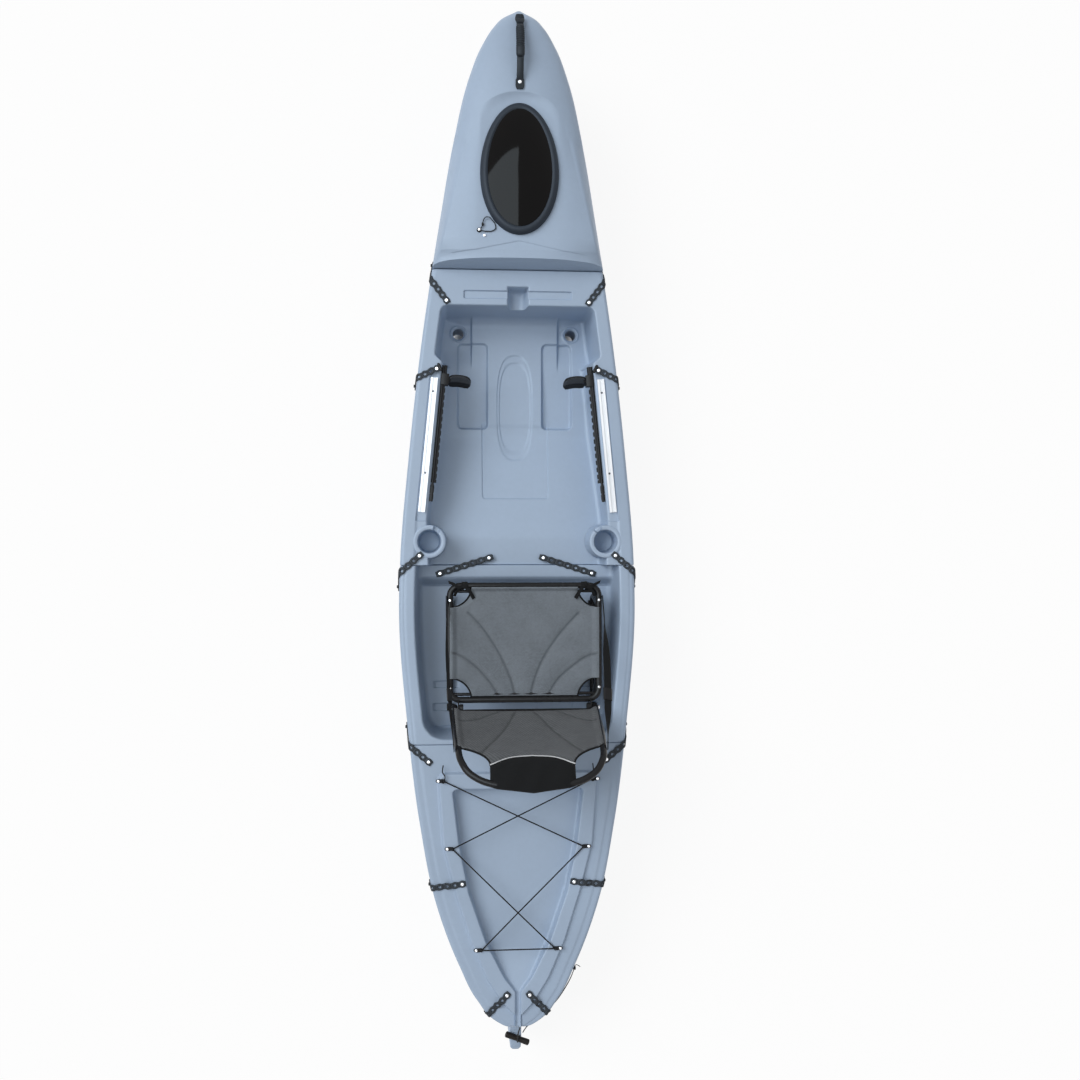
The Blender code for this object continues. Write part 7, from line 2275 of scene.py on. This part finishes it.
def keeper_line():
    """A doubled cord from the toggle along the starboard quarter to a knot with two tails."""
    half = lambda y: float(hull_at(np.array(y))[0])
    out = [np.array((0.022, -1.676, 0.238)), np.array((0.034, -1.650, 0.256))]
    out += [
        np.array((half(y) + 0.010, y, z))
        for y, z in ((-1.6035, 0.276), (-1.556, 0.288), (-1.51, 0.295), (-1.476, 0.299))
    ]
    knot = np.array((half(KNOT_Y) + 0.0068, KNOT_Y, 0.300))
    out.append(knot + (0.0, -0.004, 0.002))
    strand = smooth_path(out, 0.003)
    apart = np.array((0.0014, -0.0014, -0.0100))
    ahead = strand[-1] - strand[-3]
    ahead = ahead - apart * np.dot(ahead, apart) / np.dot(apart, apart)
    ahead = ahead / np.linalg.norm(ahead) * np.linalg.norm(apart) / 2
    turn = [
        strand[-1] + ahead * math.sin(a) + apart * (1 - math.cos(a)) / 2
        for a in np.radians(np.arange(12, 180, 12))
    ]
    path = np.concatenate([strand, turn, (strand + apart)[::-1]])
    cord = pipe("keeper_line_dressed", path, KEEPER_RADIUS, 10)
    dressed(cord, cord_finish(), None, "black_cord", ["keeper_line"])
    ends = (tuple(map(float, out[0])), tuple(map(float, out[2])))
    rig.blend(cord, "toggle", HULL, *ends)
    t = np.linspace(0, 5.5 * math.pi, 120)
    ball = np.stack(
        [
            knot[0] + 0.0040 * np.cos(t), knot[1] + 0.0052 * (t / (5.5 * math.pi) * 2 - 1),
            knot[2] + 0.0040 * np.sin(t)
        ],
        axis=-1
    )
    tails = []
    for points in (
        [(0, 0.004, 0.003), (0.006, 0.012, 0.007), (0.014, 0.008, 0.004), (0.020, 0.002, -0.002)],
        [(0, 0.005, -0.001), (0.003, 0.018, 0.001), (0.009, 0.028, 0.0)]
    ):
        tails.append(pipe("tail", smooth_path([knot + p for p in points], 0.002), KEEPER_RADIUS, 10))
    knot_piece = merged("keeper_knot", [pipe("ball", ball, 0.0017, 10), *tails])
    dressed(knot_piece, cord_finish(), HULL, "black_cord")
    laid(cord, path, KEEPER_RADIUS, "object", "hanging", [knot_piece])


class KAYAK_OT_stern(bpy.types.Operator):
    """Builds the lashing with its knots, the deck eyes, the toggle and its cords"""

    bl_idname = "kayak.stern"
    bl_label = "Stern cords"

    def execute(self, context):
        z = SHEER + RIB_RISE + CORD_RISE
        (tx, ty), (mx, my), (ax, ay) = [(x - EYE_INSET, y) for x, y in EYES]
        corners = [(-tx, ty, z), (mx, my, z), (-ax, ay, z), (ax, ay, z), (-mx, my, z), (tx, ty, z)]
        cross_a = crossing(corners[0], corners[1], 0.0028)
        cross_b = crossing(corners[1], corners[2], -0.0028)
        cross_c = crossing(corners[3], corners[4], 0.0028)
        cross_d = crossing(corners[4], corners[5], -0.0028)
        route = [
            corners[0], cross_a, corners[1], cross_b, corners[2], corners[3], cross_c, corners[4], cross_d,
            corners[5]
        ]
        path = rounded_path(route, 0.004, 4)
        path = densely(path, 0.004)
        cord = pipe("stern_lashing_dressed", path, CORD_RADIUS, 14)
        dressed(cord, cord_finish(), HULL, "black_cord", ["stern_lashing"])
        knots = []
        for k, (x, y, zz) in enumerate((corners[0], corners[-1])):
            side = math.copysign(1, x)
            t = np.linspace(0, 4.2 * math.pi, 90)
            coil = np.stack(
                [
                    x + side * 0.0010 + 0.0052 * np.cos(t), y + 0.0052 * np.sin(t),
                    zz - 0.001 + 0.0058 * t / (4.2 * math.pi)
                ],
                axis=-1
            )
            tail = smooth_path(
                [
                    coil[-1], coil[-1] + (side * -0.002, 0.012, 0.001),
                    (x + side * 0.003, y + 0.030, zz + 0.002), (x + side * 0.001, y + 0.052, zz - 0.002)
                ],
                0.003
            )
            knot = merged(
                f"lashing_knot_{k}",
                [pipe("coil", coil, CORD_RADIUS, 10), pipe("tail", tail, CORD_RADIUS * 0.85, 10)]
            )
            dressed(knot, cord_finish(), HULL, "black_cord")
            knots.append(knot)
        laid(cord, path, CORD_RADIUS, "knot", "taut", knots)

        for row, (reach, y) in enumerate(EYES):
            for side, label in SIDES:
                deck_eye(row, side, label, reach, y)
        stern_toggle()
        keeper_line()
        return {"FINISHED"}


class KAYAK_OT_kept(bpy.types.Operator):
    """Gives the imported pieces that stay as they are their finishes"""

    bl_idname = "kayak.kept"
    bl_label = "Kept pieces"

    def execute(self, context):
        for name, material in (
            ("seat_pin", stainless()), ("seat_shoe_front", black_plastic()),
            ("seat_shoe_rear", black_plastic())
        ):
            for _, label in SIDES:
                for slot in bpy.data.objects[f"{name}_{label}"].material_slots:
                    slot.material = material
        return {"FINISHED"}


# The light: the way towards each sun, its angle in degrees and its power; the rest is the world
SUNS = (
    ("key", (-0.60, 0.34, 0.72), 38.0, 1.86),
    ("fill", (0.55, -0.35, 0.75), 60.0, 0.14),
)
AROUND = 0.41
FLOOR_GLOW = 0.90
WHITE = (1.0, 1.0, 1.0, 1.0)
# A soft panel that only glossy surfaces show: its place, its size and its power
PANEL = ((-4.4, 1.00, 5.0), (8.8, 5.2), 760.0)
PANEL_COLOUR = (0.80, 0.92, 1.0)


class KAYAK_OT_stage(bpy.types.Operator):
    """Sets up the camera over the boat, plain soft light and a pale floor"""

    bl_idname = "kayak.stage"
    bl_label = "Stage"

    def execute(self, context):
        scene = context.scene
        scene.view_settings.view_transform = "Standard"
        place = Vector((-0.26, 0.005, 4.33))
        aim = Vector((0.0735, 0.005, SHEER))
        camera = bpy.data.objects.new("camera", bpy.data.cameras.new("camera"))
        camera.data.angle = 2 * math.atan(3.607 / 2 / (aim - place).length)
        camera.location = place
        back = (place - aim).normalized()
        right = Vector((0, 1, 0)).cross(back)
        camera.rotation_euler = Matrix((right, back.cross(right), back)).transposed().to_euler()
        scene.collection.objects.link(camera)
        scene.camera = camera

        world = bpy.data.worlds.new("studio")
        world.use_nodes = True
        scene.world = world
        tree = world.node_tree
        background = tree.nodes["Background"]
        path = tree.nodes.new("ShaderNodeLightPath")
        seen = maths(tree, "MAXIMUM", path.outputs["Is Camera Ray"], path.outputs["Is Transmission Ray"])
        seen = maths(tree, "MAXIMUM", seen, path.outputs["Is Glossy Ray"])
        amount = node(tree, "ShaderNodeMix", Factor=seen, A=AROUND, B=1.0)
        tree.links.new(amount.outputs[0], background.inputs["Strength"])
        background.inputs["Color"].default_value = WHITE

        for name, toward, angle, power in SUNS:
            lamp = bpy.data.lights.new(name, "SUN")
            lamp.angle = math.radians(angle)
            lamp.energy = power
            obj = bpy.data.objects.new(name, lamp)
            obj.rotation_euler = Vector(toward).to_track_quat("Z", "Y").to_euler()
            obj.visible_glossy = False
            scene.collection.objects.link(obj)
        place, size, power = PANEL
        lamp = bpy.data.lights.new("panel", "AREA")
        lamp.shape = "RECTANGLE"
        lamp.size, lamp.size_y = size
        lamp.energy = power
        lamp.color = PANEL_COLOUR
        obj = bpy.data.objects.new("panel", lamp)
        obj.location = place
        obj.visible_diffuse = False
        obj.visible_camera = False
        scene.collection.objects.link(obj)

        floor = mesh_from(
            "floor", [(-9, -9, -0.0005), (9, -9, -0.0005), (9, 9, -0.0005), (-9, 9, -0.0005)],
            [(0, 1, 2, 3)], 40, False
        )
        pale = bpy.data.materials.new("floor_white")
        pale.use_nodes = True
        tree = pale.node_tree
        shader = tree.nodes["Principled BSDF"]
        shader.inputs["Base Color"].default_value = (0.92, 0.92, 0.92, 1)
        shader.inputs["Roughness"].default_value = 0.9
        path = tree.nodes.new("ShaderNodeLightPath")
        glow = tree.nodes.new("ShaderNodeEmission")
        glow.inputs["Color"].default_value = (1, 1, 1, 1)
        seen = maths(tree, "MAXIMUM", path.outputs["Is Camera Ray"], path.outputs["Is Glossy Ray"])
        spot = tree.nodes.new("ShaderNodeTexCoord").outputs["Object"]
        spot = node(tree, "ShaderNodeVectorMath", operation="MULTIPLY", i0=spot, i1=(1 / 0.30, 1 / 1.62, 0.0))
        away = node(tree, "ShaderNodeVectorMath", operation="LENGTH", i0=spot.outputs[0])
        clear = node(tree, "ShaderNodeMapRange", Value=away.outputs["Value"], From_Min=0.80, From_Max=1.0)
        share = maths(tree, "MULTIPLY", seen, maths(tree, "MULTIPLY", clear.outputs[0], FLOOR_GLOW))
        mix = tree.nodes.new("ShaderNodeMixShader")
        tree.links.new(share, mix.inputs[0])
        tree.links.new(shader.outputs[0], mix.inputs[1])
        tree.links.new(glow.outputs[0], mix.inputs[2])
        tree.links.new(mix.outputs[0], tree.nodes["Material Output"].inputs["Surface"])
        floor.data.materials.append(pale)
        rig.stage(floor)
        return {"FINISHED"}


class KAYAK_PT_panel(bpy.types.Panel):
    """Buttons for each group of pieces"""

    bl_idname = "KAYAK_PT_panel"
    bl_label = "Kayak"
    bl_space_type = "VIEW_3D"
    bl_region_type = "UI"
    bl_category = "Kayak"

    def draw(self, context):
        for operator in OPERATORS:
            self.layout.operator(operator.bl_idname)


OPERATORS = (
    KAYAK_OT_stage,
    KAYAK_OT_stern,
    KAYAK_OT_hatch,
    KAYAK_OT_hull,
    KAYAK_OT_handle,
    KAYAK_OT_straps,
    KAYAK_OT_rails,
    KAYAK_OT_seat,
    KAYAK_OT_kept,
)
CLASSES = (KAYAK_PG_colours, KAYAK_PG_sizes, *OPERATORS, KAYAK_PT_panel)


def register():
    for each in CLASSES:
        bpy.utils.register_class(each)
    bpy.types.Scene.kayak_colours = bpy.props.PointerProperty(type=KAYAK_PG_colours)
    bpy.types.Scene.kayak_sizes = bpy.props.PointerProperty(type=KAYAK_PG_sizes)


def unregister():
    del bpy.types.Scene.kayak_sizes
    del bpy.types.Scene.kayak_colours
    for each in reversed(CLASSES):
        bpy.utils.unregister_class(each)


def write_sizes():
    """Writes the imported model's box and the dressed model's box."""
    import json

    boxes = {
        "cad": [list(map(float, p)) for p in CAD_BOX], "visual": [list(map(float, p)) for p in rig.bounds()]
    }
    with open("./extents.json", "w") as out:
        json.dump(boxes, out)


def main():
    register()
    for operator in OPERATORS:
        group, name = operator.bl_idname.split(".")
        getattr(getattr(bpy.ops, group), name)()
    write_sizes()


if __name__ == "__main__":
    main()
